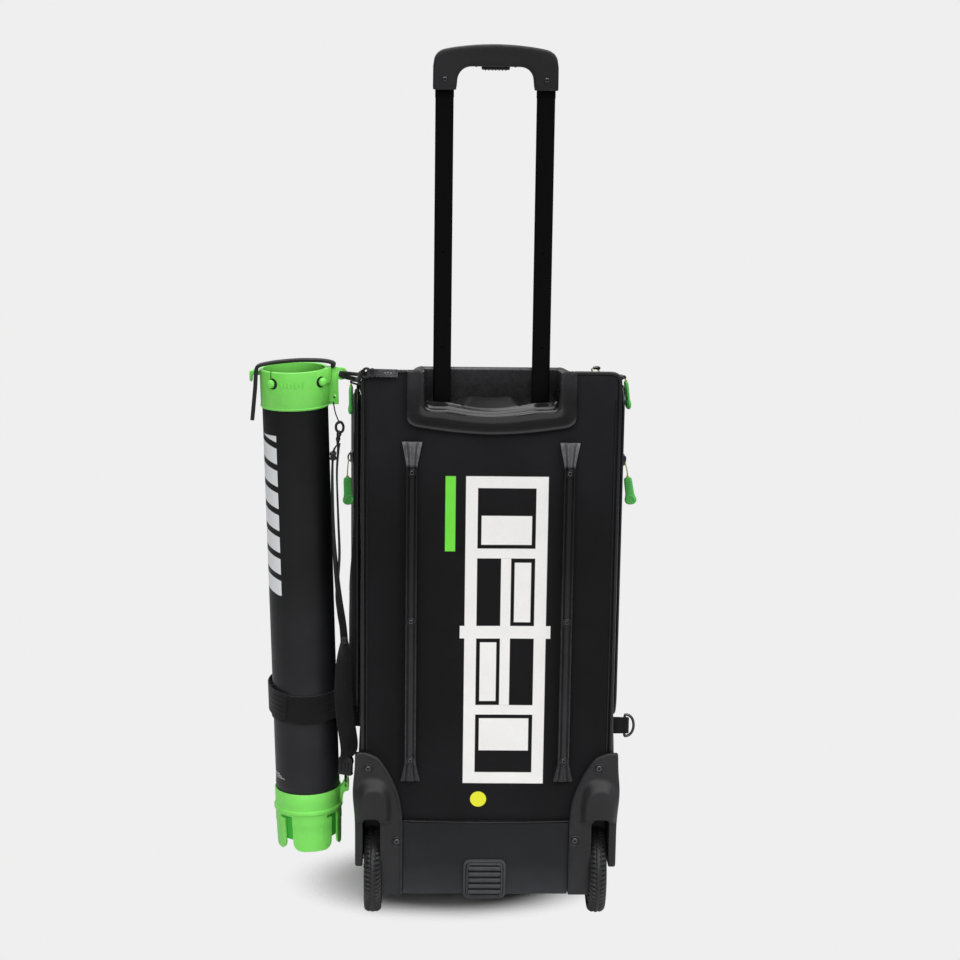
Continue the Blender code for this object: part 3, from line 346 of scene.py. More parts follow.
def satin_tube(name):
    """Satin black tube with a row of plain white dashes printed down its left side."""
    n = Look(name)
    x, y, z = n.axes()
    angle = n.math("ARCTAN2", n.math("MULTIPLY", y, -1.0), n.math("MULTIPLY", x, -1.0))      # 0 faces -X, growing towards -Y
    slant = n.math("MULTIPLY_ADD", angle, 0.011, z)
    cell = n.math("PINGPONG", n.math("SUBTRACT", slant, 0.3555), 0.0145)
    dash = n.span(cell, 0.0038, 0.0044)
    band = n.boxmask(0.10, 0.98, 0.3500, 0.5600, angle, z, 0.0008)
    ink = n.math("MULTIPLY", dash, band)
    ink = n.math("MULTIPLY", ink, n.span(z, 0.02, 0.03))
    fine = n.noise(1600.0, 2.0, 0.5)
    cloudy = n.noise(11.0, 3.0, 0.6)
    rings = n.noise(260.0, 2.0, 0.5, vec=n.scaled(n.obj, (0.02, 0.02, 1.0)))
    base = n.mix(n.span(cloudy, 0.3, 0.7), (0.0062, 0.0062, 0.0070), (0.0092, 0.0092, 0.0102))
    # painted floor bounce: the tube is lighter towards the bottom and darker towards the top
    base = painted_light_by_height(n, base, [(0.02, 2.9), (0.20, 2.2), (0.42, 1.0), (0.60, 0.8)])
    scuffs = n.span(n.noise(150.0, 5.0, 0.75, vec=n.scaled(n.obj, (1.0, 1.0, 0.25))), 0.66, 0.76)
    base = n.mix(n.math("MULTIPLY", scuffs, 0.22), base, (0.06, 0.06, 0.062))
    base = n.mix(ink, base, (0.74, 0.76, 0.78))
    n.set(Base_Color=base, Roughness=n.math("MULTIPLY_ADD", rings, 0.12, 0.40), Normal=n.bump(fine, 0.00025, 0.20), Specular_IOR_Level=0.22)
    return n.mat


FABRIC = fabric("woven_black", (0.0068, 0.0068, 0.0078))
FABRIC_SIDE = fabric("woven_black_side", (0.0078, 0.0079, 0.0090), pitch=0.0015, sheen=0.10, spec=0.15)
# the fade stops paint sheen and shade on the back panel: lighter under its top edge, darker across the middle
PANEL = fabric("woven_black_printed", (0.0064, 0.0064, 0.0073), pitch=0.0012, prints=panel_prints, crinkle=0.16, fade=[(0.14, 0.95), (0.30, 0.70), (0.52, 0.70), (0.68, 1.45), (0.735, 1.70)])
LINING = fabric("lining_grey", (0.030, 0.031, 0.034), pitch=0.0018, spec=0.25)
# the fade stops paint floor bounce and shade on the skirt: much lighter at the bottom, darker at the top
VINYL = moulded("vinyl_black", (0.0125, 0.0130, 0.0150), rough=0.46, grain=0.0005, spec=0.28, wear=0.10, pebble=2300.0, variation=0.12, fade=[(0.035, 2.60), (0.060, 1.55), (0.085, 0.85), (0.14, 0.55)])
PIPING = moulded("piping_gloss", (0.0075, 0.0075, 0.0085), rough=0.34, grain=0.0002, spec=0.40, wear=0.15, pebble=2500.0)
CHARCOAL = moulded("charcoal_plastic", (0.0150, 0.0150, 0.0165), rough=0.46, grain=0.0005, spec=0.34, wear=0.30)
# the fade stops paint floor bounce on the housings: lighter towards the bottom
HOUSING = moulded("housing_plastic", (0.0150, 0.0150, 0.0165), rough=0.44, grain=0.0005, spec=0.36, wear=0.35, fade=[(0.035, 1.30), (0.10, 0.90), (0.20, 0.95)])
FOOT_GREY = moulded("foot_plastic", (0.0330, 0.0345, 0.0385), rough=0.40, grain=0.0004, spec=0.45, wear=0.30)
BLACK_PLASTIC = moulded("black_plastic_look", (0.0080, 0.0080, 0.0090), rough=0.42, grain=0.0004, spec=0.36, wear=0.30)
# the fade stops paint light on the rails: lighter low down, a painted floor bounce, and a far lighter top flared end, a
# painted highlight
RAIL = moulded("rail_plastic", (0.0068, 0.0068, 0.0075), rough=0.42, grain=0.0003, spec=0.32, wear=0.30, fade=[(0.19, 2.6), (0.42, 1.6), (0.50, 0.6), (0.612, 0.45), (0.617, 11.0)])
# the fade stops paint a highlight on the bezel: lighter towards the top edge, also on the hanger's flat end, which uses
# this material
BEZEL = moulded("bezel_plastic", (0.0070, 0.0070, 0.0078), rough=0.20, grain=0.00015, spec=0.62, wear=0.25, fade=[(0.655, 0.9), (0.695, 1.2), (0.735, 3.4)])
GREY_PLASTIC = moulded("grey_plastic_look", (0.050, 0.052, 0.056), rough=0.50, grain=0.0005, spec=0.45, wear=0.30)
GRIP = moulded("grip_plastic", (0.0100, 0.0100, 0.0113), rough=0.46, grain=0.0006, spec=0.34, wear=0.30)
GREEN = moulded("green_plastic_look", (0.205, 0.745, 0.115), rough=0.40, grain=0.0003, spec=0.35, wear=0.14, variation=0.05)
# a darker copy of the green plastic: painted shade for the collector's inner sleeve
GREEN_PAINTED_SHADE = moulded("green_plastic_painted_shade", (0.045, 0.430, 0.040), rough=0.50, grain=0.0003, spec=0.25, wear=0.05, variation=0.08)
GREEN_RUBBER = moulded("green_rubber_look", (0.085, 0.440, 0.090), rough=0.60, grain=0.0005, spec=0.35, wear=0.20, variation=0.12)
TYRE = rubber("tyre_rubber_look", (0.0150, 0.0152, 0.0165), rough=0.42, amount=0.30)
FOOT_RUBBER = rubber("foot_rubber_look", (0.0105, 0.0105, 0.0115), amount=0.25)
WEBBING = webbing("webbing_black", (0.0066, 0.0066, 0.0074))
WEBBING_OBJ = webbing("webbing_black_block", (0.0066, 0.0066, 0.0074), uv=False)
PRINT_WHITE = moulded("print_white", (0.62, 0.62, 0.60), rough=0.6, grain=0.0002, wear=0.0, variation=0.05)
HOOK_TAPE = webbing("hook_tape", (0.0048, 0.0048, 0.0053), rough=0.92)
ANODISED = metal("anodised_black_look", (0.0010, 0.0010, 0.0013), rough=0.34, metallic=0.0, scratch=0.05, spec=0.07)
TUBE_LOOK = satin_tube("tube_satin")
STEEL = metal("steel_look", (0.50, 0.50, 0.51), rough=0.30)
RIM_SILVER = metal("rim_silver", (0.38, 0.39, 0.40), rough=0.34, scratch=0.15)
DARK_STEEL = metal("dark_steel_look", (0.085, 0.085, 0.092), rough=0.32)
FOAM = rubber("throw_foam", (0.150, 0.155, 0.165), rough=0.88, dust=(0.42, 0.46, 0.20), amount=0.45, grain=420.0)
BATTERY = moulded("battery_shell", (0.075, 0.082, 0.100), rough=0.46, grain=0.0005)
CORD_YELLOW = webbing("cord_yellow", (0.34, 0.36, 0.045), along=0.0012, across=0.0008, uv=False)


def board_look():
    n = Look("board_green_look")
    x, y, z = n.axes()
    traces = n.math("MAXIMUM", n.span(n.math("PINGPONG", x, 0.0024), 0.0019, 0.0022), n.span(n.math("PINGPONG", z, 0.0031), 0.0026, 0.0029))
    gate = n.span(n.cells(60.0), 0.35, 0.5)
    base = n.mix(n.math("MULTIPLY", traces, gate), (0.010, 0.095, 0.035), (0.030, 0.200, 0.075))
    pads = n.span(n.cells(230.0), 0.18, 0.12)
    base = n.mix(n.math("MULTIPLY", pads, 0.8), base, (0.45, 0.36, 0.12))
    n.set(Base_Color=base, Roughness=n.math("MULTIPLY_ADD", gate, 0.1, 0.35), Normal=n.bump(traces, 0.0002, 0.3))
    return n.mat


BOARD = board_look()


# ------------------------------------------------------------------ geometry helpers
class Geo:
    """Vertices, faces, material numbers and UVs gathered into one mesh."""

    def __init__(self):
        self.v, self.f, self.m, self.uv = [], [], [], []

    def add(self, shape, mat=0, at=None):
        verts, faces = shape[0], shape[1]
        uvs = shape[2] if len(shape) > 2 else None
        n = len(self.v)
        self.v += [tuple(at @ Vector(p)) if at is not None else tuple(p) for p in verts]
        for i, f in enumerate(faces):
            self.f.append([n + k for k in f])
            self.m.append(mat)
            self.uv.append(uvs[i] if uvs else [(0.0, 0.0)] * len(f))
        return self


def make(name, geo, mats, body, place=BAG, smooth=38.0, fix=True, replaces=()):
    """A named piece from gathered geometry, riding on a CAD body."""
    if not isinstance(geo, Geo):
        geo = Geo().add(geo)
    mesh = bpy.data.meshes.new(name)
    mesh.from_pydata(geo.v, [], geo.f)
    layer = mesh.uv_layers.new(name="UVMap")
    k = 0
    for poly, uvs in zip(mesh.polygons, geo.uv):
        for j in range(poly.loop_total):
            layer.data[poly.loop_start + j].uv = uvs[j]
        k += 1
    mats = mats if isinstance(mats, (list, tuple)) else [mats]
    for m in mats:
        mesh.materials.append(m)
    mesh.polygons.foreach_set("material_index", [min(i, len(mats) - 1) for i in geo.m])
    if fix:
        work = bmesh.new()
        work.from_mesh(mesh)
        bmesh.ops.recalc_face_normals(work, faces=work.faces)
        work.to_mesh(mesh)
        work.free()
    obj = bpy.data.objects.new(name, mesh)
    bpy.context.scene.collection.objects.link(obj)
    if smooth:
        mesh.shade_smooth()
        mesh.set_sharp_from_angle(angle=math.radians(smooth))
    obj.matrix_world = place
    if body:
        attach(obj, body)
    if replaces:
        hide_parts(*replaces)
    return obj


def grid(rows, cu=False, cv=False, cap0=False, cap1=False, uvs=None):
    """A surface over rows of points; cu closes each row, cv closes the rows on each other."""
    n = len(rows[0])
    verts = [tuple(p) for r in rows for p in r]
    faces, fuv = [], []
    for i in range(len(rows) if cv else len(rows) - 1):
        j = (i + 1) % len(rows)
        for k in range(n if cu else n - 1):
            l = (k + 1) % n
            faces.append([i * n + k, i * n + l, j * n + l, j * n + k])
            if uvs:
                fuv.append([uvs(i, k), uvs(i, k + 1), uvs(i + 1, k + 1), uvs(i + 1, k)])
    if cap0:
        faces.append(list(range(n))[::-1])
        fuv.append([(0, 0)] * n)
    if cap1:
        faces.append([(len(rows) - 1) * n + k for k in range(n)])
        fuv.append([(0, 0)] * n)
    return (verts, faces, fuv) if uvs else (verts, faces)


def tangents(path, closed=False):
    pts = [Vector(p) for p in path]
    n = len(pts)
    out = []
    for i in range(n):
        a = pts[(i - 1) % n] if closed or i > 0 else pts[0]
        b = pts[(i + 1) % n] if closed or i < n - 1 else pts[-1]
        out.append((b - a).normalized())
    return pts, out


def pipe(path, r, sides=10, closed=False, caps=True):
    """Round bar along a path; r is a radius, or one for each point."""
    pts, tans = tangents(path, closed)
    up = Vector((0, 0, 1)) if abs(tans[0].z) < 0.9 else Vector((1, 0, 0))
    side = tans[0].cross(up).normalized()
    rows = []
    for i, (p, t) in enumerate(zip(pts, tans)):
        side = (side - t * side.dot(t)).normalized()
        other = t.cross(side)
        rad = r[i] if isinstance(r, (list, tuple)) else r
        rows.append([p + (side * math.cos(2 * math.pi * k / sides) + other * math.sin(2 * math.pi * k / sides)) * rad for k in range(sides)])
    length = [0.0]
    for i in range(1, len(pts) + 1):
        length.append(length[-1] + (pts[i % len(pts)] - pts[i - 1]).length)
    return grid(rows, cu=True, cv=closed, cap0=caps and not closed, cap1=caps and not closed, uvs=lambda i, k: (length[min(i, len(length) - 1)], 0.012 * k / sides))


def ribbon(path, side, width, thick, closed=False, sides=None):
    """Webbing along a path; side is the direction of its width, one for all or one for each point."""
    pts, tans = tangents(path, closed)
    rows = []
    h, t2 = width / 2, thick / 2
    e = min(t2 * 0.9, h * 0.3)
    section = [(-h + e * 0.3, -t2), (-h * 0.5, -t2), (0, -t2), (h * 0.5, -t2), (h - e * 0.3, -t2), (h, -t2 * 0.4), (h, t2 * 0.4), (h - e * 0.3, t2), (h * 0.5, t2), (0, t2), (-h * 0.5, t2), (-h + e * 0.3, t2), (-h, t2 * 0.4), (-h, -t2 * 0.4)]
    for i, (p, t) in enumerate(zip(pts, tans)):
        s = Vector(side[i] if isinstance(side, list) else side)
        s = (s - t * s.dot(t)).normalized()
        nrm = t.cross(s)
        rows.append([p + s * a + nrm * b for a, b in section])
    length = [0.0]
    for i in range(1, len(pts) + 1):
        length.append(length[-1] + (pts[i % len(pts)] - pts[i - 1]).length)
    m = len(section)
    return grid(rows, cu=True, cv=closed, cap0=not closed, cap1=not closed, uvs=lambda i, k: (length[min(i, len(length) - 1)], section[k % m][0] + h))


def smooth_path(points, per=6, closed=False):
    """Catmull-Rom through points."""
    pts = [Vector(p) for p in points]
    if closed:
        pts = [pts[-1]] + pts + [pts[0], pts[1]]
    else:
        pts = [pts[0] * 2 - pts[1]] + pts + [pts[-1] * 2 - pts[-2]]
    out = []
    for i in range(1, len(pts) - 2):
        p0, p1, p2, p3 = pts[i - 1: i + 3]
        for k in range(per):
            t = k / per
            out.append(0.5 * ((2 * p1) + (p2 - p0) * t + (2 * p0 - 5 * p1 + 4 * p2 - p3) * t * t + (3 * p1 - p0 - 3 * p2 + p3) * t ** 3))
    if not closed:
        out.append(pts[-2])
    return out


def spaced(path, step, closed=False):
    """A path measured out again at even steps."""
    pts = [Vector(p) for p in path]
    if closed:
        pts = pts + [pts[0]]
    total = sum((b - a).length for a, b in zip(pts, pts[1:]))
    count = max(2, round(total / step))
    out, i, gone, seg = [], 0, 0.0, (pts[1] - pts[0]).length
    for k in range(count if closed else count + 1):
        want = total * k / count
        while gone + seg < want - 1e-9 and i < len(pts) - 2:
            gone += seg
            i += 1
            seg = (pts[i + 1] - pts[i]).length
        t = 0.0 if seg < 1e-12 else min(1.0, (want - gone) / seg)
        out.append(pts[i].lerp(pts[i + 1], t))
    return out


def lathe(profile, steps=48, ring=False):
    """(radius, height) points turned about Z; ring closes the profile on itself, or its ends on the axis close it."""
    rows, verts, faces = [], [], []
    for r, z in profile:
        if r < 1e-7:
            rows.append([len(verts)])
            verts.append((0.0, 0.0, z))
        else:
            rows.append(list(range(len(verts), len(verts) + steps)))
            verts += [(r * math.cos(2 * math.pi * k / steps), r * math.sin(2 * math.pi * k / steps), z) for k in range(steps)]
    pairs = list(zip(rows, rows[1:])) + ([(rows[-1], rows[0])] if ring else [])
    for a, b in pairs:
        for k in range(steps):
            l = (k + 1) % steps
            if len(a) == 1 and len(b) == 1:
                continue
            if len(a) == 1:
                faces.append([a[0], b[l], b[k]])
            elif len(b) == 1:
                faces.append([a[k], a[l], b[0]])
            else:
                faces.append([a[k], a[l], b[l], b[k]])
    return verts, faces


ALONG = {"X": Matrix.Rotation(math.pi / 2, 4, "Y"), "-X": Matrix.Rotation(-math.pi / 2, 4, "Y"), "Y": Matrix.Rotation(-math.pi / 2, 4, "X"), "-Y": Matrix.Rotation(math.pi / 2, 4, "X"), "Z": Matrix.Identity(4)}


def at(x, y, z, axis="Z", turn=0.0):
    """Stands a shape made about Z on a point, its Z turned to axis."""
    return Matrix.Translation((x, y, z)) @ ALONG[axis] @ Matrix.Rotation(turn, 4, "Z")


def rounded(corners, steps=6):
    """An outline from (a, b, radius) corners, each an arc; it runs the way the corners do."""
    out, n = [], len(corners)
    for i, (a, b, r) in enumerate(corners):
        p = Vector((a, b))
        u = Vector(corners[i - 1][:2]) - p
        w = Vector(corners[(i + 1) % n][:2]) - p
        if r <= 0 or u.length < 1e-9 or w.length < 1e-9:
            out.append((a, b))
            continue
        u.normalize(), w.normalize()
        ang = u.angle(w)
        if abs(ang - math.pi) < 1e-3:
            out.append((a, b))
            continue
        reach = r / math.tan(ang / 2)
        centre = p + (u + w).normalized() * (r / math.sin(ang / 2))
        start, end = p + u * reach - centre, p + w * reach - centre
        sweep = start.angle_signed(end)
        for k in range(steps + 1):
            q = centre + Matrix.Rotation(-sweep * k / steps, 2) @ start
            out.append((q.x, q.y))
    return out


def rect(x0, x1, y0, y1, r=0.0, steps=6):
    return rounded([(x0, y0, r), (x1, y0, r), (x1, y1, r), (x0, y1, r)], steps)


def ring2(outline, step):
    """An outline measured out at even steps, as 2D pairs."""
    return [(p.x, p.y) for p in spaced([(a, b, 0) for a, b in outline], step, closed=True)]


PLANES = {"XZ": lambda a, b, t: (a, t, b), "YZ": lambda a, b, t: (t, a, b), "XY": lambda a, b, t: (a, b, t)}


def prism(plane, outlines, low, high, bevel=0.0, segs=3, angle=30.0):
    """A flat outline with any holes after it, made thick from low to high along the third axis, its edges rounded."""
    outlines = outlines if isinstance(outlines[0], list) else [outlines]
    curve = bpy.data.curves.new("prism", "CURVE")
    curve.dimensions, curve.fill_mode, curve.extrude = "2D", "BOTH", (high - low) / 2
    for line in outlines:
        spline = curve.splines.new("POLY")
        spline.points.add(len(line) - 1)
        for point, (a, b) in zip(spline.points, line):
            point.co = (a, b, 0, 1)
        spline.use_cyclic_u = True
    obj = bpy.data.objects.new("prism", curve)
    bpy.context.scene.collection.objects.link(obj)
    bpy.context.view_layer.update()
    mesh = bpy.data.meshes.new_from_object(obj.evaluated_get(bpy.context.evaluated_depsgraph_get()))
    bpy.data.objects.remove(obj, do_unlink=True)
    bpy.data.curves.remove(curve)
    mid = (low + high) / 2
    work = bmesh.new()
    work.from_mesh(mesh)
    bpy.data.meshes.remove(mesh)
    for v in work.verts:
        v.co = PLANES[plane](v.co.x, v.co.y, v.co.z + mid)
    bmesh.ops.remove_doubles(work, verts=work.verts, dist=1e-6)
    bmesh.ops.recalc_face_normals(work, faces=work.faces)
    bmesh.ops.dissolve_limit(work, angle_limit=math.radians(1.0), verts=work.verts, edges=work.edges)
    return bevel_bm(work, bevel, segs, angle)


def bevel_bm(work, bevel, segs, angle):
    if bevel > 0:
        edges = [e for e in work.edges if len(e.link_faces) == 2 and e.calc_face_angle(0.0) > math.radians(angle)]
        bmesh.ops.bevel(work, geom=edges, offset=bevel, segments=segs, profile=0.5, affect="EDGES", clamp_overlap=True)
    verts = [tuple(v.co) for v in work.verts]
    work.verts.index_update()
    faces = [[v.index for v in f.verts] for f in work.faces]
    work.free()
    return verts, faces


def block(x, y, z, bevel=0.0, segs=3):
    work = bmesh.new()
    bmesh.ops.create_cube(work, size=1.0)
    for v in work.verts:
        v.co = ((x[0] + x[1]) / 2 + v.co.x * (x[1] - x[0]), (y[0] + y[1]) / 2 + v.co.y * (y[1] - y[0]), (z[0] + z[1]) / 2 + v.co.z * (z[1] - z[0]))
    return bevel_bm(work, bevel, segs, 30.0)


def temp(shape, name="temp"):
    mesh = bpy.data.meshes.new(name)
    mesh.from_pydata([tuple(p) for p in shape[0]], [], [list(f) for f in shape[1]])
    obj = bpy.data.objects.new(name, mesh)
    bpy.context.scene.collection.objects.link(obj)
    return obj


def done(obj):
    """A temporary object's evaluated mesh as a shape; the object goes."""
    bpy.context.view_layer.update()
    mesh = bpy.data.meshes.new_from_object(obj.evaluated_get(bpy.context.evaluated_depsgraph_get()))
    out = ([tuple(v.co) for v in mesh.vertices], [list(p.vertices) for p in mesh.polygons])
    old = obj.data
    bpy.data.objects.remove(obj, do_unlink=True)
    bpy.data.meshes.remove(old)
    bpy.data.meshes.remove(mesh)
    return out


def boolean(shape, others, operation="DIFFERENCE"):
    a = temp(shape)
    for other in others:
        b = temp(other)
        m = a.modifiers.new("b", "BOOLEAN")
        m.operation, m.solver, m.object = operation, "EXACT", b
        a2 = temp(done(a))
        bpy.data.objects.remove(b, do_unlink=True)
        a = a2
    out = done(a)
    return out


def normals_out(shape):
    work = bmesh.new()
    vs = [work.verts.new(p) for p in shape[0]]
    for f in shape[1]:
        try:
            work.faces.new([vs[i] for i in f])
        except ValueError:
            pass
    bmesh.ops.remove_doubles(work, verts=work.verts, dist=1e-6)
    bmesh.ops.recalc_face_normals(work, faces=work.faces)
    work.verts.index_update()
    out = ([tuple(v.co) for v in work.verts], [[v.index for v in f.verts] for f in work.faces])
    work.free()
    return out


def soften(shape, voxel, rounds=6, factor=0.5, ratio=None):
    """A moulded look: the solid remeshed evenly and relaxed, so that every edge becomes a soft fillet."""
    obj = temp(normals_out(shape))
    m = obj.modifiers.new("r", "REMESH")
    m.mode, m.voxel_size, m.use_smooth_shade = "VOXEL", voxel, True
    s = obj.modifiers.new("s", "SMOOTH")
    s.factor, s.iterations = factor, rounds
    if ratio:
        d = obj.modifiers.new("d", "DECIMATE")
        d.ratio = ratio
    return done(obj)


def cad_shape(node, place=BAG):
    """A CAD node's mesh as a shape, in the piece's own axes."""
    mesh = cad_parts[node].data
    inv = place.inverted()
    return ([tuple(inv @ v.co) for v in mesh.vertices], [list(p.vertices) for p in mesh.polygons])


def screw(x, y, z, axis="-Y", r=0.0034, h=0.0012, turn=0.2, lobes=6):
    """A domed screw head with a six-lobed socket."""
    rows = []
    n = lobes * 6
    for scale, z0 in ((0.25, -0.0008), (1.0, -0.0008), (1.04, h * 0.86), (1.2, h)):
        rows.append([(scale * (r * 0.36 + r * 0.09 * math.cos(lobes * 2 * math.pi * k / n)) * math.cos(2 * math.pi * k / n), scale * (r * 0.36 + r * 0.09 * math.cos(lobes * 2 * math.pi * k / n)) * math.sin(2 * math.pi * k / n), z0) for k in range(n)])
    for f, z0 in ((0.74, h * 0.94), (0.92, h * 0.62), (1.0, h * 0.15), (1.0, -0.0012)):
        rows.append([(r * f * math.cos(2 * math.pi * k / n), r * f * math.sin(2 * math.pi * k / n), z0) for k in range(n)])
    verts, faces = grid(rows, cu=True, cap0=True, cap1=True)
    m = at(x, y, z, axis, turn)
    return [tuple(m @ Vector(p)) for p in verts], faces


def moved(shape, m):
    return ([tuple(m @ Vector(p)) for p in shape[0]], *shape[1:])


def mirror_x(shape):
    return ([(-p[0], p[1], p[2]) for p in shape[0]], [f[::-1] for f in shape[1]], *shape[2:])


def merged(*shapes):
    v, f = [], []
    for s in shapes:
        n = len(v)
        v += list(s[0])
        f += [[n + k for k in face] for face in s[1]]
    return v, f


def wob(x, y, z, scale, seed=0.0):
    return noise.noise(Vector((x * scale + seed, y * scale - seed * 0.7, z * scale + seed * 1.3)))


# ------------------------------------------------------------------ padded fabric by cloth simulation
def puff(shape, voxel=0.005, pressure=4.0, cap=0.008, frames=20, keep=None, subdiv=1, stiff=15.0):
    """Padded fabric: an even remesh of the shape, blown up a little as cloth, no point going further than cap; keep(p) puts a
    point back where it may not go. Returns the shape."""
    obj = temp(normals_out(shape), "puff")
    m = obj.modifiers.new("r", "REMESH")
    m.mode, m.voxel_size = "VOXEL", voxel
    s = obj.modifiers.new("s", "SMOOTH")
    s.factor, s.iterations = 0.5, 3
    shape = done(obj)
    obj = temp(shape, "puff")
    rest = [Vector(p) for p in shape[0]]
    c = obj.modifiers.new("cloth", "CLOTH")
    st = c.settings
    st.quality = 5
    st.mass = 0.25
    st.tension_stiffness = st.compression_stiffness = stiff
    st.shear_stiffness = stiff / 3
    st.bending_stiffness = 0.4
    st.use_pressure = True
    st.uniform_pressure_force = pressure
    st.effector_weights.gravity = 0.0
    c.point_cache.frame_start, c.point_cache.frame_end = 1, frames
    scene = bpy.context.scene
    for f in range(1, frames + 1):
        scene.frame_set(f)
    bpy.context.view_layer.update()
    mesh = bpy.data.meshes.new_from_object(obj.evaluated_get(bpy.context.evaluated_depsgraph_get()))
    new = [v.co.copy() for v in mesh.vertices]
    bpy.data.meshes.remove(mesh)
    obj.modifiers.remove(c)
    scene.frame_set(1)
    for v, r, q in zip(obj.data.vertices, rest, new):
        d = q - r
        if d.length > cap:
            d = d * (cap / d.length)
        p = r + d
        v.co = keep(p, r) if keep else p
    if subdiv:
        m = obj.modifiers.new("d", "SUBSURF")
        m.levels = m.render_levels = subdiv
    return done(obj)


def relax(shape, rounds=10, share=0.5):
    """Even a remeshed skin out, so that no voxel steps are left along a slanted edge."""
    v = np.array([tuple(p) for p in shape[0]], dtype=float)
    pairs = set()
    for f in shape[1]:
        for a, b in zip(f, list(f[1:]) + [f[0]]):
            pairs.add((min(a, b), max(a, b)))
    e = np.array(sorted(pairs))
    count = np.bincount(e.ravel(), minlength=len(v)).reshape(-1, 1).astype(float)
    for _ in range(rounds):
        total = np.zeros_like(v)
        np.add.at(total, e[:, 0], v[e[:, 1]])
        np.add.at(total, e[:, 1], v[e[:, 0]])
        v = v + share * (total / np.maximum(count, 1.0) - v)
    return [tuple(p) for p in v.tolist()], shape[1]


def outline3(outline, plane, depth, step=0.006):
    """An outline as an evenly measured closed path in space."""
    return [PLANES[plane](a, b, depth) for a, b in ring2(outline, step)]


def zipper(path, normals, closed=False, tape=0.011, tooth=0.0016, pitch=0.0030, proud=0.0010):
    """A coil zip along a path: two tapes as one strip, with a row of teeth down its middle. normals is the direction that it faces."""
    pts, tans = tangents(spaced(path, 0.006, closed), closed)
    nn = (lambda p: Vector(normals(p))) if callable(normals) else (lambda p: Vector(normals))
    rows, sides = [], []
    for p, t in zip(pts, tans):
        nrm = nn(p).normalized()
        s = t.cross(nrm).normalized()
        rows.append([p + s * a + nrm * b for a, b in ((-tape / 2, -0.0002), (-tape / 2 + 0.0008, 0.0007), (-0.0022, 0.0008), (-0.0012, 0.0004), (0.0012, 0.0004), (0.0022, 0.0008), (tape / 2 - 0.0008, 0.0007), (tape / 2, -0.0002), (0, -0.0010))])
    tape_shape = grid(rows, cu=True, cv=closed, cap0=not closed, cap1=not closed, uvs=lambda i, k: (i * 0.006, 0.0015 * k))
    pts, tans = tangents(spaced(path, pitch, closed), closed)
    v, f = [], []
    for i, (p, t) in enumerate(zip(pts, tans)):
        nrm = nn(p).normalized()
        s = t.cross(nrm).normalized()
        off = s * (0.0005 if i % 2 else -0.0005)
        n = len(v)
        for a, b, c in ((-1, -1, 0), (1, -1, 0), (1, 1, 0), (-1, 1, 0), (-0.6, -0.7, 1), (0.6, -0.7, 1), (0.6, 0.7, 1), (-0.6, 0.7, 1)):
            v.append(tuple(p + off + t * (a * pitch * 0.34) + s * (b * tooth) + nrm * (0.0003 + c * proud)))
        f += [[n + 3, n + 2, n + 1, n], [n + 4, n + 5, n + 6, n + 7]] + [[n + a, n + (a + 1) % 4, n + 4 + (a + 1) % 4, n + 4 + a] for a in range(4)]
    return tape_shape, (v, f)


def stitches(path, normal, length=0.0030, gap=0.0016, r=0.00032, closed=False):
    """A row of raised thread stitches along a path."""
    pts, tans = tangents(spaced(path, length + gap, closed), closed)
    nn = (lambda p: Vector(normal(p))) if callable(normal) else (lambda p: Vector(normal))
    v, f = [], []
    for p, t in zip(pts, tans):
        nrm = nn(p).normalized()
        s = t.cross(nrm).normalized()
        n = len(v)
        for along, lift, w in ((-0.5, -0.0002, 0.5), (-0.32, r, 1.0), (0.32, r, 1.0), (0.5, -0.0002, 0.5)):
            for a, b in ((-1, -0.4), (0, 1), (1, -0.4)):
                v.append(tuple(p + t * (along * length) + s * (a * r * w) + nrm * (lift + b * r * w)))
        for i in range(3):
            for k in range(3):
                l = (k + 1) % 3
                f.append([n + i * 3 + k, n + i * 3 + l, n + (i + 1) * 3 + l, n + (i + 1) * 3 + k])
        f += [[n, n + 1, n + 2], [n + 11, n + 10, n + 9]]
    return v, f


# ================================================================== back panel, piping, skirt
def panel_half(z):
    """Half width of the back panel at a height: it narrows round its top corners."""
    r, top = 0.019, 0.7325
    if z <= top - r:
        return 0.1600
    d = min(r, z - (top - r))
    return 0.1600 - r + max(0.0, r ** 4 - d ** 4) ** 0.25


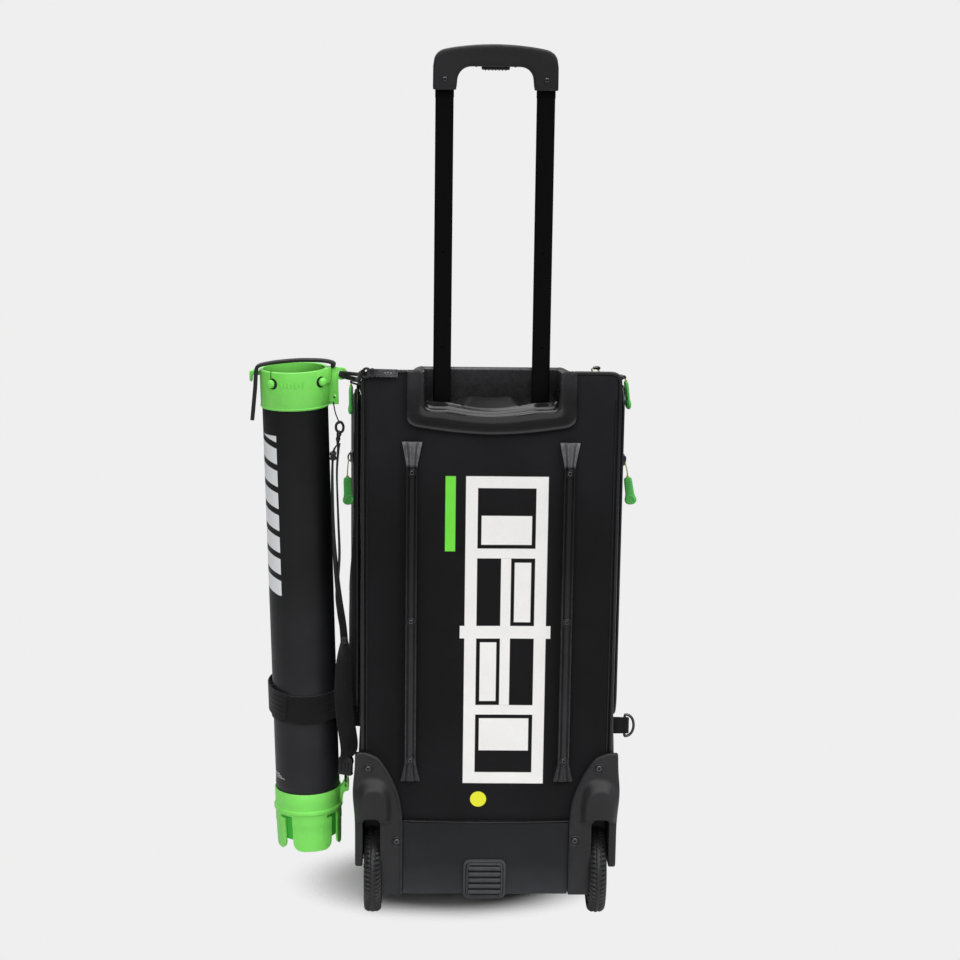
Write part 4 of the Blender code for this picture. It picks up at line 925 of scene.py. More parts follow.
def rear_panel():
    z_low, z_top, notch = 0.1385, 0.7320, 0.6760
    zs = [z_low + (notch - z_low) * k / 88 for k in range(89)] + [notch + (z_top - notch) * (1 - (1 - k / 14) ** 1.3) for k in range(1, 15)]
    core = [-0.125 + 0.250 * k / 40 for k in range(41)]
    band = [0.125 + (0.1600 - 0.125) * k / 7 for k in range(1, 8)]
    xs = [-b for b in reversed(band)] + core + band
    verts, faces, index = [], [], {}
    for i, z in enumerate(zs):
        w = panel_half(z)
        for k, x in enumerate(xs):
            s = x if abs(x) <= 0.125 else math.copysign(0.125 + (abs(x) - 0.125) * (w - 0.125) / 0.035, x)
            edge = min(w - abs(s), z - z_low, z_top - z)
            sink = 0.0022 * max(0.0, 1 - edge / 0.007) ** 2
            soft = 0.0015 * wob(s, 0, z, 7.0) + 0.0007 * wob(s, 0, z, 21.0, 3.0)
            near_rail = min(abs(abs(s) - 0.0995) / 0.020, 1.0)
            y = -0.1498 + sink + soft * min(1.0, edge / 0.02) + 0.0006 * (1 - near_rail)
            index[i, k] = len(verts)
            verts.append((s, y, z))
    for i in range(len(zs) - 1):
        for k in range(len(xs) - 1):
            if zs[i] >= notch - 1e-6 and abs(xs[k] + xs[k + 1]) / 2 < 0.0930:
                continue
            faces.append([index[i, k], index[i, k + 1], index[i + 1, k + 1], index[i + 1, k]])
    obj = temp((verts, faces))
    m = obj.modifiers.new("s", "SOLIDIFY")
    m.thickness, m.offset = 0.0050, -1.0
    shape = done(obj)
    make("back_panel", shape, PANEL, "bag", replaces=("rear_panel",), smooth=50)
    # binding piping round the panel, and a second thinner row inside it
    left = [(-0.1606, 0.1400)] + [(-0.1612, 0.1420 + 0.565 * k / 30) for k in range(1, 31)]
    arc = []
    for a in range(8, 91, 6):
        ca, sa = math.cos(math.radians(a)), math.sin(math.radians(a))
        m = 0.0200 / (ca ** 4 + sa ** 4) ** 0.25
        arc.append((-0.1412 - m * ca, 0.7130 + m * sa))
    top = [(-0.1412 + 0.0372 * k / 5, 0.7330) for k in range(1, 6)]
    half = left + arc + top
    geo = Geo()
    for s in (-1, 1):
        path = smooth_path([(s * -a, -0.1482 + 0.0006 * wob(a, 0, b, 12.0, s), b) for a, b in half], 2)
        geo.add(pipe(path, 0.0023, 12))
        inner = [(p.x - s * 0.0052, -0.1500, p.z) for p in path if p.z < 0.700]
        geo.add(pipe(inner, 0.0006, 8))
    line = [(x, -0.1510, 0.1378 - 0.0022 * (1 - (x / 0.108) ** 2)) for x in [-0.108 + 0.216 * k / 30 for k in range(31)]]
    geo.add(pipe(line, 0.0010, 10))
    make("panel_piping", geo, PIPING, "bag")


rear_panel()


def skirt():
    rows = []
    for i in range(25):
        z = 0.0378 + (0.1368 - 0.0378) * i / 24
        row = []
        for k in range(61):
            x = -0.1080 + 0.2160 * k / 60
            hem = 0.0016 * (1 - (x / 0.108) ** 2)
            zz = z - hem * (i / 24)
            low = min(1.0, (z - 0.0378) / 0.006)
            belly = 0.0016 * math.sin(math.pi * min(1.0, (z - 0.0378) / 0.101)) * (1 - (x / 0.108) ** 4)
            soft = 0.00045 * wob(x, 0, z, 14.0, 5.0) + 0.0002 * wob(x, 0, z, 45.0, 9.0)
            row.append((x, -0.1505 - belly - soft + 0.0020 * (1 - low) ** 2, zz))
        rows.append(row)
    obj = temp(grid(rows))
    m = obj.modifiers.new("s", "SOLIDIFY")
    m.thickness, m.offset = 0.0032, 1.0
    geo = Geo().add(done(obj), 0)
    for z, lift in ((0.0412, 0.0), (0.1325, 0.0)):
        path = [(x, -0.1512 - 0.0016 * math.sin(math.pi * min(1.0, (z - 0.0378) / 0.101)) * (1 - (x / 0.108) ** 4), z - 0.0016 * (1 - (x / 0.108) ** 2) * (z - 0.0378) / 0.101) for x in [-0.105 + 0.21 * k / 40 for k in range(41)]]
        geo.add(stitches(path, (0, -1, 0)), 1)
    make("skirt_panel", geo, [VINYL, PIPING], "bag", replaces=("rear_skirt",), fix=True)


skirt()


# ================================================================== skid rails
def skid_rail(s):
    x0, z0, z1 = s * 0.0995, 0.1943, 0.6443
    half = [(1.0, 0.0), (1.0, 0.0072), (0.93, 0.0083), (0.72, 0.0085), (0.62, 0.0070), (0.50, 0.0068), (0.40, 0.0086), (0.24, 0.0094), (0.0, 0.0095)]
    section = half + [(-a, b) for a, b in half[-2::-1]]
    stations = [(z0, 0.90), (z0 + 0.0012, 1.0)] + [(z0 + 0.0012 + 0.0288 * k / 6, 1.0) for k in range(1, 7)] + [(z0 + 0.0335, 1.0), (z0 + 0.038, 1.0)]
    stations += [(z0 + 0.05 + (z1 - z0 - 0.10) * k / 40, 1.0) for k in range(41)]
    stations += [(z1 - 0.038, 1.0), (z1 - 0.0335, 1.0)] + [(z1 - 0.0012 - 0.0288 * (6 - k) / 6, 1.0) for k in range(0, 6)] + [(z1 - 0.0012, 1.0), (z1, 0.90)]
    rows = []
    for z, d in stations:
        end = min(z - z0, z1 - z)
        reach = 0.0240 if z > 0.40 else 0.0220
        if end < reach:
            f = end / reach
            w = 0.0127 + (0.0080 - 0.0127) * f
        elif end < reach + 0.004:
            w = 0.0080 + (0.0073 - 0.0080) * (end - reach) / 0.004
        else:
            w = 0.0073
        deep = 1.0 if end > 0.036 else 0.62 + 0.38 * min(1.0, end / 0.036)
        rows.append([(x0 + a * w * (1.0 if d == 1.0 else 0.985), -0.1505 - b * deep * d, z) for a, b in section])
    rail = grid(rows, cu=True, cap0=True, cap1=True)
    geo = Geo().add(rail, 0)
    for z in (0.2240, 0.4110, 0.6060):
        ring = lathe([(0.0056, 0.0), (0.0056, 0.0012), (0.0051, 0.0017), (0.0042, 0.0017), (0.0040, 0.0006), (0.0040, 0.0)], 28, ring=True)
        geo.add(moved(ring, at(x0, -0.1594, z, "-Y")), 0)
        geo.add(screw(x0, -0.1597, z, r=0.0036, turn=0.3 + z), 1)
    # fan ribs on the flared ends
    for base, sign in ((z0, 1), (z1, -1)):
        for f in (-0.62, -0.2, 0.2, 0.62):
            path = [(x0 + f * (0.0130 - 0.0044 * k / 6), -0.1563 - 0.0021 * k / 6, base + sign * (0.0035 + 0.0245 * k / 6)) for k in range(7)]
            geo.add(pipe(path, [0.0011 - 0.0005 * k / 6 for k in range(7)], 8), 0)
    make("rail_" + ("left" if s < 0 else "right"), geo, [RAIL, DARK_STEEL], "bag", replaces=("skid_rail_" + ("left" if s < 0 else "right"),))


skid_rail(-1)
skid_rail(1)


# ================================================================== trolley bezel: a rolled plate with a raised lip and a stepped scoop
def bezel():
    n = 120

    def outer():
        pts = [(-0.1046, 0.7345), (-0.1052, 0.7000), (-0.1055, 0.6800), (-0.1040, 0.6715), (-0.0985, 0.6668), (-0.0900, 0.6645), (-0.0600, 0.6602), (-0.0300, 0.6574), (0, 0.6562)]
        return pts

    def inner():
        return [(-0.0868, 0.7345), (-0.0860, 0.7100), (-0.0848, 0.6960), (-0.0830, 0.6895), (-0.0780, 0.6862), (-0.0700, 0.6853), (-0.0560, 0.6850), (-0.0400, 0.6826), (-0.0200, 0.6800), (0, 0.6790)]

    def even(pts):
        both = pts + [(-a, b) for a, b in pts[-2::-1]]
        path = smooth_path([(a, 0, b) for a, b in both], 8)
        total = sum((q - p).length for p, q in zip(path, path[1:]))
        out = spaced(path, total / n)
        return out[:n + 1]

    o, i = even(outer()), even(inner())
    m = min(len(o), len(i))
    rows = []
    # (share from outer to inner outline, depth y) across the plate, then down into the cup
    across = [(-0.010, -0.1503), (-0.012, -0.1530), (0.0, -0.1552), (0.05, -0.1562), (0.12, -0.1564), (0.30, -0.1560), (0.55, -0.1557), (0.74, -0.1559), (0.82, -0.1567), (0.88, -0.1577), (0.94, -0.1580), (0.985, -0.1573), (1.0, -0.1558)]
    for k in range(m):
        a, b = o[k], i[k]
        row = []
        for f, y in across:
            p = a.lerp(b, f)
            row.append((p.x, y, p.z))
        # inside the lip: steps in the floor, plain sides
        flat = max(0.0, 1.0 - max(0.0, b.z - 0.6868) / 0.006)
        scoop = math.exp(-(b.x / 0.046) ** 2)
        inward = Vector((-b.x, 0, 0.62 - b.z)).normalized()
        for depth, rise in ((0.003, -0.0003), (0.0055, -0.0012), (0.0075, -0.0012), (0.0095, 0.0012), (0.0120, 0.0016), (0.0170, 0.0016), (0.0200, 0.0034), (0.0225, 0.0040), (0.0340, 0.0046), (0.0380, 0.0056), (0.0700, 0.0072), (0.0716, 0.0082)):
            limit = 0.7326 - 0.0058 * (depth / 0.0735) ** 1.5
            lift = rise + 0.0022 * (1 - scoop) * min(1.0, depth / 0.02)
            if depth > 0.021:                           # room for the grip's legs when the handle is pushed home
                t = max(0.0, min(1.0, (0.0450 - abs(b.x)) / 0.028))
                lift = min(lift, 0.0018 + 0.0080 * t * t * (3.0 - 2.0 * t))
            row.append((b.x * (1 - 0.002 * min(1, depth / 0.01)), -0.1558 + depth, min(limit if depth > 0.008 else 1.0, b.z + flat * lift)))
        rows.append(row)
    lip = grid(rows)
    obj = temp(lip)
    s = obj.modifiers.new("s", "SOLIDIFY")
    s.thickness, s.offset = 0.0018, -1.0
    geo = Geo().add(done(obj), 0)
    # wall of the cup towards the bag, its rim rolled over
    wall = []
    for k in range(33):
        x = -0.0862 + 0.1724 * k / 32
        bow = 0.0006 * (1 - (x / 0.0862) ** 2)
        wall.append([(x, -0.0846 - bow, 0.6840), (x, -0.0846 - bow, 0.7235), (x, -0.0842 - bow, 0.7272), (x, -0.0828 - bow, 0.7286), (x, -0.0815 - bow, 0.7276), (x, -0.0812 - bow, 0.7235), (x, -0.0812 - bow, 0.6840)])
    geo.add(grid(wall, cu=True, cap0=True, cap1=True), 0)
    # rounded shoulders that carry the plate back over the bag's top edge on both sides of the scoop
    for s in (-1, 1):
        deck = []
        for k in range(25):
            f = k / 24
            y = -0.1545 + 0.0735 * f
            zin, zout = 0.7336 - 0.0052 * f ** 1.5, 0.7330 - 0.0150 * f
            row = []
            for j in range(13):
                g = j / 12
                crown = 0.0020 * math.sin(math.pi * g) * (1 - 0.3 * f)
                row.append((s * (0.0862 + 0.0186 * g), y, zin + (zout - zin) * g ** 1.6 + crown))
            row += [(s * 0.1040, y, zout - 0.0035), (s * 0.0862, y, zin - 0.0040)]
            deck.append(row)
        geo.add(grid(deck, cu=True, cap0=True, cap1=True), 0)
    for s in (-1, 1):
        # collar round each tube, standing on the cup's floor
        x = s * 0.0625
        outer_ring = rect(x - 0.0158, x + 0.0158, -0.1262, -0.1038, 0.0050)
        inner_ring = rect(x - 0.0118, x + 0.0118, -0.1218, -0.1082, 0.0030)
        geo.add(prism("XY", [outer_ring, inner_ring], 0.6850, 0.6893, 0.0008, 2), 0)
    make("trolley_bezel_shell", geo, BEZEL, "bag", replaces=("trolley_bezel",), smooth=42)


bezel()


# ================================================================== trolley handle
def handle():
    outline = (
        [(-0.0482, 1.0800), (-0.0770, 1.0800), (-0.0768, 1.1080), (-0.0752, 1.1180), (-0.0715, 1.1240), (-0.0660, 1.1275)]
        + [(-0.0620 + 0.1240 * k / 14, 1.1285 + 0.0060 * math.sin(math.pi * k / 14) ** 0.8) for k in range(0, 15)]
        + [(0.0660, 1.1275), (0.0715, 1.1240), (0.0752, 1.1180), (0.0768, 1.1080), (0.0770, 1.0800), (0.0482, 1.0800), (0.0472, 1.0900)]
        + [(0.0300 + 0.0172 * math.cos(math.radians(a)), 1.0905 + 0.0172 * math.sin(math.radians(a))) for a in range(10, 91, 10)]
        + [(-0.0300 + 0.0172 * math.cos(math.radians(a)), 1.0905 + 0.0172 * math.sin(math.radians(a))) for a in range(90, 171, 10)]
        + [(-0.0472, 1.0900)])
    body = prism("XZ", outline, -0.1290, -0.1010, 0.0)
    body = soften(body, 0.0016, 7)
    sockets = [block((s * 0.0625 - 0.01175, s * 0.0625 + 0.01175), (-0.12175, -0.10825), (1.0, 1.1085)) for s in (-1, 1)]
    body = boolean(body, sockets)
    geo = Geo().add(body, 0)
    # sleeve rings under the legs, side screws and the finger ribs under the crossbar
    for s in (-1, 1):
        x = s * 0.0625
        geo.add(prism("XY", [rect(x - 0.0142, x + 0.0142, -0.1288, -0.1012, 0.0060), rect(x - 0.01175, x + 0.01175, -0.12175, -0.10825, 0.0030)], 1.0796, 1.0836, 0.0009, 2), 0)
        geo.add(screw(x, -0.1290, 1.0925, r=0.0030, turn=0.5), 1)
        geo.add(screw(x, -0.1010, 1.0925, axis="Y", r=0.0030, turn=0.1), 1)
    for k in range(9):
        x = -0.024 + 0.006 * k
        if abs(x) < 0.019:
            continue
        geo.add(block((x - 0.0009, x + 0.0009), (-0.1235, -0.1065), (1.1069, 1.1084), 0.0004, 2), 0)
    make("handle_grip", geo, [GRIP, DARK_STEEL], "trolley", replaces=("trolley_grip",), smooth=48)
    geo = Geo()
    geo.add(block((-0.0174, 0.0174), (-0.1197, -0.1103), (1.1036, 1.1146), 0.0018, 4))
    for k in range(7):
        x = -0.0126 + 0.0042 * k
        geo.add(pipe([(x, -0.1185, 1.1034), (x, -0.1150, 1.1030), (x, -0.1115, 1.1034)], 0.0006, 8))
    make("handle_button", geo, BLACK_PLASTIC, "release_button", replaces=("trolley_button",))
    for hand, s in (("left", -1), ("right", 1)):
        x = s * 0.0625
        # two-stage tube: lower stage as the CAD has it, its top fitting and an index groove as detail
        geo = Geo()
        geo.add(prism("XY", [rect(x - 0.0116, x + 0.0116, -0.1216, -0.1084, 0.0032), rect(x - 0.0113, x + 0.0113, -0.12128, -0.10872, 0.0030)], 1.0700, 1.0795, 0.0002, 1))
        for z in (0.760, 0.880):
            geo.add(moved(lathe([(0.0, 0.0003), (0.0020, 0.0003), (0.0026, 0.0001), (0.0026, -0.0006), (0.0, -0.0006)], 18), at(x, -0.1212, z, "-Y")))
        make("post_fittings_" + hand, geo, ANODISED, "trolley")


handle()


# ================================================================== wheel housings
def housing(s):
    """Fender moulding: a plate with a long inner flange, a swelling over the wheel, and cheeks that wrap round it."""
    line = (
        [(-0.1710, 0.0770), (-0.1710, 0.2290), (-0.1695, 0.2330), (-0.1660, 0.2345), (-0.1560, 0.2335)]
        + [(p.x, p.z) for p in smooth_path([(-0.1500, 0, 0.2315), (-0.1400, 0, 0.2255), (-0.1280, 0, 0.2080), (-0.1180, 0, 0.1870), (-0.1115, 0, 0.1640), (-0.1088, 0, 0.1400)], 6)]
        + [(-0.1088, 0.0378), (-0.1386, 0.0378), (-0.1386, 0.1370), (-0.1398, 0.1425), (-0.1440, 0.1455), (-0.1560, 0.1455), (-0.1595, 0.1430), (-0.1608, 0.1380), (-0.1608, 0.0770)])
    plate = prism("XZ", line, -0.1590, -0.1530, 0.0)
    wing = prism("YZ", [(-0.1560, 0.1370), (-0.1100, 0.1370), (-0.1180, 0.1850), (-0.1340, 0.2200), (-0.1500, 0.2330), (-0.1560, 0.2340)], -0.1710, -0.1656, 0.0)
    well = block((-0.1710, -0.1250), (-0.1560, -0.0480), (0.0450, 0.1500), 0.0)
    tyre_gap = moved(lathe([(0.0, 0.0111), (0.0645, 0.0111), (0.0645, -0.0111), (0.0, -0.0111)], 72), at(-0.1497, -0.115, 0.058, "X"))
    cutters = [
        tyre_gap,
        block((-0.1608, -0.1386), (-0.2500, -0.1150), (0.0, 0.1455), 0.0),
        block((-0.1608, -0.1386), (-0.2500, -0.0505), (0.0, 0.0580), 0.0),
        block((-0.2000, -0.1604), (-0.2500, 0.0), (0.0, 0.0770), 0.0),
        moved(lathe([(0.0, 0.02), (0.0050, 0.02), (0.0050, -0.02), (0.0, -0.02)], 24), at(-0.1300, -0.115, 0.058, "X")),
    ]
    well = boolean(well, cutters)
    body = soften(merged(plate, wing, well), 0.0016, 4)

    def swell(q):
        x, y, z = q
        if y < -0.1500 and z > 0.1400:
            bx = abs(x + 0.1475) / 0.0265
            bz = max(0.0, z - 0.1560) / 0.0460
            e = (bx ** 2.6 + bz ** 2.6) ** (1 / 2.6)
            t = max(0.0, min(1.0, (1 - e) / 0.42))
            low = min(1.0, max(0.0, (z - 0.1438) / 0.006))
            y -= 0.0108 * t * t * (3 - 2 * t) * min(1.0, (-0.1500 - y) / 0.0060) * (0.72 + 0.28 * low ** 0.5)
        if x < -0.1640:
            x -= 0.0030 * math.exp(-((z - 0.180) / 0.026) ** 2) * math.exp(-((q[1] + 0.158) / 0.022) ** 2) * min(1.0, (-0.1640 - q[0]) / 0.005)
        return (x, y, z)

    body = ([swell(q) for q in body[0]], body[1])
    geo = Geo().add(body if s < 0 else mirror_x(body), 0)
    edge = smooth_path([(a, -0.1592, b) for a, b in ((0.1560, 0.2316), (0.1415, 0.2238), (0.1298, 0.2066), (0.1204, 0.1860), (0.1140, 0.1635), (0.1114, 0.1400), (0.1112, 0.0900), (0.1112, 0.0395))], 8)
    geo.add(pipe([(s * p.x, p.y, p.z) for p in edge], 0.0009, 8), 0)
    for x, z in (((0.1540, 0.2125), (0.1165, 0.1120)) if s < 0 else ((0.1460, 0.2140), (0.1165, 0.1140))):
        x *= s
        geo.add(moved(lathe([(0.0069, -0.0006), (0.0069, 0.0004), (0.0063, 0.0009), (0.0056, 0.0004), (0.0054, -0.0006)], 32, ring=True), at(x, -0.1591, z, "-Y")), 0)
        geo.add(moved(lathe([(0.0, 0.0002), (0.0055, 0.0002), (0.0055, -0.0004), (0.0, -0.0004)], 30), at(x, -0.1591, z, "-Y")), 2)
        geo.add(screw(x, -0.1594, z, r=0.0040, h=0.0013, turn=0.4), 1)
    make("housing_" + ("left" if s < 0 else "right"), geo, [HOUSING, DARK_STEEL, FOOT_RUBBER], "bag", replaces=("wheel_housing_" + ("left" if s < 0 else "right"),), smooth=50)


housing(-1)
housing(1)


# ================================================================== wheels
def wheel(s):
    hand = "left" if s < 0 else "right"
    hub = Vector((s * 0.1462, -0.115, 0.058))
    stand = Matrix.Translation(hub) @ ALONG["X"]
    steps, blocks = 336, 56
    prof = [(0.0442, 0.0098), (0.0480, 0.0114), (0.0515, 0.0124), (0.0535, 0.0122), (0.0552, 0.0110), (0.0564, 0.0092), (0.0572, 0.0074), (0.0577, 0.0054), (0.0579, 0.0034), (0.0580, 0.0014), (0.0580, 0.0)]
    prof = prof + [(r, -w) for r, w in prof[-2::-1]]
    prof = prof + [(0.0436, -0.0090), (0.0436, 0.0090)]
    rows = []
    for k in range(steps):
        a = 2 * math.pi * k / steps
        row = []
        for r, w in prof:
            w *= 0.90
            aw = abs(w)
            cut = 0.0
            if r > 0.0530:
                # chevron bars: each groove starts a little further round the nearer it is to the middle
                phase = (a * blocks / (2 * math.pi) + aw * 62.0 + (0.5 if w < 0 else 0.0)) % 1.0
                groove = max(0.0, 1.0 - abs(phase - 0.5) / 0.20)
                cut = 0.0026 * min(1.0, groove * 1.6) * min(1.0, (r - 0.0530) / 0.0015) * (0.0 if aw < 0.0026 else 1.0)
                if 0.0026 <= aw < 0.0036:
                    cut = max(cut, 0.0009)
            rr = r - cut + (0.00025 if aw < 0.0006 and r > 0.057 else 0.0)
            row.append((rr * math.cos(a), rr * math.sin(a), w + s * 0.0018))
        rows.append(row)
    geo = Geo().add(moved(grid(rows, cu=True, cv=True), stand), 0)
    for r, w in ((0.0505, 0.01215), (0.0470, 0.0112)):
        for side in (-1, 1):
            geo.add(moved(pipe([(r * math.cos(2 * math.pi * k / 96), r * math.sin(2 * math.pi * k / 96), side * w * 0.90 + s * 0.0018) for k in range(96)], 0.00045, 6, closed=True), stand), 0)
    make("tyre_tread_" + hand, geo, TYRE, "wheel_" + hand, replaces=("tyre_" + hand,), smooth=35)
    # rim: bright outer band, five twin spokes, hub
    geo = Geo()
    o = s * 0.0018
    geo.add(moved(lathe([(r, w * 0.89 + o) for r, w in ((0.0392, 0.0104), (0.0402, 0.0112), (0.0436, 0.0112), (0.0442, 0.0100), (0.0437, 0.0085), (0.0437, -0.0085), (0.0442, -0.0100), (0.0436, -0.0112), (0.0402, -0.0112), (0.0392, -0.0104), (0.0388, -0.0070), (0.0385, 0.0), (0.0388, 0.0070))], 80, ring=True), stand), 0)
    geo.add(moved(lathe([(r, s * w) for r, w in ((0.0046, 0.0124), (0.0092, 0.0126), (0.0104, 0.0118), (0.0112, 0.0085), (0.0128, 0.0060), (0.0128, -0.0030), (0.0112, -0.0055), (0.0104, -0.0068), (0.0092, -0.0074), (0.0046, -0.0072))], 48, ring=True), stand), 0)
    for k in range(5):
        a = 2 * math.pi * (k + 0.25) / 5
        for d in (-0.14, 0.14):
            rows = []
            for j in range(9):
                f = j / 8
                r = 0.0108 + (0.0395 - 0.0108) * f
                ang = a + d * (0.55 + 0.75 * f)
                half_w = 0.0030 - 0.0006 * math.sin(math.pi * f)
                deep = 0.0050 - 0.0014 * math.sin(math.pi * f)
                c, sn = math.cos(ang), math.sin(ang)
                section = [(-0.8, -1), (0.8, -1), (1, -0.7), (1, 0.7), (0.8, 1), (-0.8, 1), (-1, 0.7), (-1, -0.7)]
                rows.append([(r * c - half_w * p * sn, r * sn + half_w * p * c, deep * q + s * 0.0030) for p, q in section])
            geo.add(moved(grid(rows, cu=True, cap0=True, cap1=True), stand), 0)
    make("wheel_rim_" + hand, geo, RIM_SILVER, "wheel_" + hand, replaces=("rim_" + hand,), smooth=40)


wheel(-1)
wheel(1)


# ================================================================== louvred foot at the bottom of the back
def rear_foot():
    geo = Geo()
    outer, lip, inside = rect(-0.0292, 0.0270, 0.0322, 0.0866, 0.0085), rect(-0.0262, 0.0240, 0.0352, 0.0836, 0.0062), rect(-0.0222, 0.0200, 0.0380, 0.0796, 0.0042)
    n = 96
    rings = []
    for line, y in ((outer, -0.1530), (outer, -0.1572), (rect(-0.0287, 0.0265, 0.0327, 0.0861, 0.0082), -0.1584), (lip, -0.1590), (rect(-0.0256, 0.0234, 0.0357, 0.0830, 0.0058), -0.1584), (rect(-0.0252, 0.0230, 0.0361, 0.0826, 0.0056), -0.1598), (rect(-0.0244, 0.0222, 0.0366, 0.0818, 0.0052), -0.1612), (rect(-0.0232, 0.0210, 0.0373, 0.0806, 0.0046), -0.1614), (inside, -0.1600), (inside, -0.1560)):
        pts = ring2(line, 0.0001)
        total = len(pts)
        rings.append([(pts[int(total * k / n) % total][0], y, pts[int(total * k / n) % total][1]) for k in range(n)])
    geo.add(grid(rings, cu=True, cap0=True, cap1=True), 0)
    for k in range(5):
        z = 0.0405 + 0.0082 * k
        section = [(-0.0004, -0.1558), (0.0044, -0.1558), (0.0048, -0.1600), (0.0036, -0.1618), (0.0018, -0.1620), (-0.0006, -0.1608)]
        geo.add(grid([[(x, y, z + dz) for dz, y in section] for x in (-0.0221, -0.0214, -0.012, 0.0, 0.010, 0.0192, 0.0199)], cu=True, cap0=True, cap1=True), 0)
    make("louvred_foot", geo, FOOT_GREY, "bag", replaces=("rear_grip_foot",), smooth=35)


rear_foot()


# ================================================================== pick-up tube
def tube_parts():
    # barrel, with a turned-in lower lip and a shallow bead near its lower end
    prof = [(0.0395, 0.6150), (0.0420, 0.6150), (0.0420, 0.0900), (0.0423, 0.0885), (0.0423, 0.0860), (0.0420, 0.0845), (0.0420, 0.0725), (0.0415, 0.0712), (0.0400, 0.0710), (0.0395, 0.0718)]
    make("barrel", lathe(prof, 96, ring=True), TUBE_LOOK, "tube_sleeve", TUBE, replaces=("tube_barrel",))
    prof = [(0.0365, 0.5990), (0.0370, 0.6000), (0.0384, 0.6000), (0.0388, 0.5992), (0.0388, 0.0565), (0.0384, 0.0560), (0.0369, 0.0560), (0.0365, 0.0566)]
    geo = Geo().add(lathe(prof, 96, ring=True))
    make("inner_tube", geo, TUBE_LOOK, "pickup_tube", TUBE, replaces=("tube_inner",))

    # ---- collar
    prof = [(0.0424, 0.5935), (0.0428, 0.5930), (0.0434, 0.5930), (0.0438, 0.5936), (0.0438, 0.6408), (0.0436, 0.6417), (0.0430, 0.6420), (0.0401, 0.6420), (0.0394, 0.6414), (0.0394, 0.6180), (0.0400, 0.6170), (0.0424, 0.6170)]
    ring = lathe(prof, 128, ring=True)
    cutters = []
    def knob_stand(x):
        if x < 0:
            y = -math.sqrt(0.0438 ** 2 - x * x)
            return Matrix.Translation((x, y, 0.6272)) @ Matrix.Rotation(math.atan2(x, -y) * 0.8, 4, "Z") @ ALONG["-Y"]
        return Matrix.Translation((x, -0.0300 + (x - 0.0322) * 1.068 - 0.0006, 0.6272)) @ Matrix.Rotation(math.radians(34), 4, "Z") @ ALONG["-Y"]

    knobs = ((-0.0268, 0.0016), (0.0362, -0.0016))
    holes = []
    for x, side in knobs:
        holes.append(normals_out(moved(lathe([(0.0, 0.010), (0.0072, 0.010), (0.0072, -0.0018), (0.0, -0.0018)], 36), knob_stand(x) @ Matrix.Translation((side, 0, 0)))))
        cutters.append(holes[-1])
        cutters.append(block((x - side * 0.4 - 0.0011, x - side * 0.4 + 0.0011), (-0.060, -0.018), (0.6290, 0.6425), 0.0))
    ring = boolean(ring, cutters)
    geo = Geo().add(ring, 0)
    # knobs standing in the keyholes, over a dark rubber disc that paints the shade at the bottom of each keyhole
    for x, side in knobs:
        stand = knob_stand(x)
        geo.add(moved(lathe([(0.0, -0.0008), (0.0072, -0.0008), (0.0072, -0.0019), (0.0, -0.0019)], 36), stand @ Matrix.Translation((side, 0, 0))), 1)
        geo.add(moved(lathe([(0.0, 0.0046), (0.0026, 0.0045), (0.0044, 0.0037), (0.0053, 0.0022), (0.0055, 0.0004), (0.0050, -0.0008), (0.0036, -0.0014), (0.0034, -0.0026), (0.0, -0.0026)], 32), stand @ Matrix.Translation((-side * 0.5, 0, 0))), 0)
    # fin with an eye on the bag side, and its gusset
    fin = [(0.0432, 0.5936), (0.0556, 0.5936), (0.0558, 0.6258), (0.0562, 0.6262)] + [(0.0600 + 0.0078 * math.cos(math.radians(a)), 0.6330 + 0.0078 * math.sin(math.radians(a))) for a in range(-115, 106, 14)] + [(0.0520, 0.6418), (0.0432, 0.6419)]
    eye = [(0.0602 + 0.0044 * math.cos(math.radians(a)), 0.6330 + 0.0044 * math.sin(math.radians(a))) for a in range(0, 360, 20)]
    pin = [(0.0515 + 0.0011 * math.cos(math.radians(a)), 0.6050 + 0.0011 * math.sin(math.radians(a))) for a in range(0, 360, 45)]
    geo.add(prism("XZ", [fin, eye, pin], -0.0022, 0.0022, 0.0007, 2), 0)
    for z in (0.5980, 0.6390):
        geo.add(prism("XY", [[(0.0432, -0.0050), (0.0432, 0.0050), (0.0480, 0.0021), (0.0545, 0.0021), (0.0545, -0.0021), (0.0480, -0.0021)]], z - 0.0010, z + 0.0010, 0.0004, 1), 0)
    # web that runs on from the collar's front to the fin
    web = prism("XY", [[(0.0300, -0.0315), (0.0322, -0.0303), (0.0378, -0.0245), (0.0470, -0.0147), (0.0556, -0.0055), (0.0556, 0.0018), (0.0430, 0.0018), (0.0425, -0.0080), (0.0330, -0.0280)]], 0.5944, 0.6262, 0.0009, 2)
    top = prism("XY", [[(0.0300, -0.0315), (0.0322, -0.0303), (0.0378, -0.0245), (0.0440, -0.0178), (0.0470, -0.0120), (0.0480, 0.0018), (0.0430, 0.0018), (0.0425, -0.0080), (0.0330, -0.0280)]], 0.6240, 0.6428, 0.0009, 2)
    for piece in (web, top):
        geo.add(boolean(piece, [holes[1]]), 0)
    geo.add(moved(lathe([(0.0, 0.0006), (0.0012, 0.0006), (0.0012, -0.0010), (0.0, -0.0010)], 14), Matrix.Translation((0.0506, -0.0098, 0.6040)) @ Matrix.Rotation(math.radians(42), 4, "Z") @ ALONG["-Y"]), 1)
    # hook on the far side
    geo.add(prism("XZ", [(-0.0432, 0.6335), (-0.0432, 0.6392), (-0.0520, 0.6398), (-0.0560, 0.6392), (-0.0568, 0.6370), (-0.0568, 0.6262), (-0.0540, 0.6250), (-0.0532, 0.6270), (-0.0528, 0.6335)], -0.0046, 0.0046, 0.0010, 3), 0)
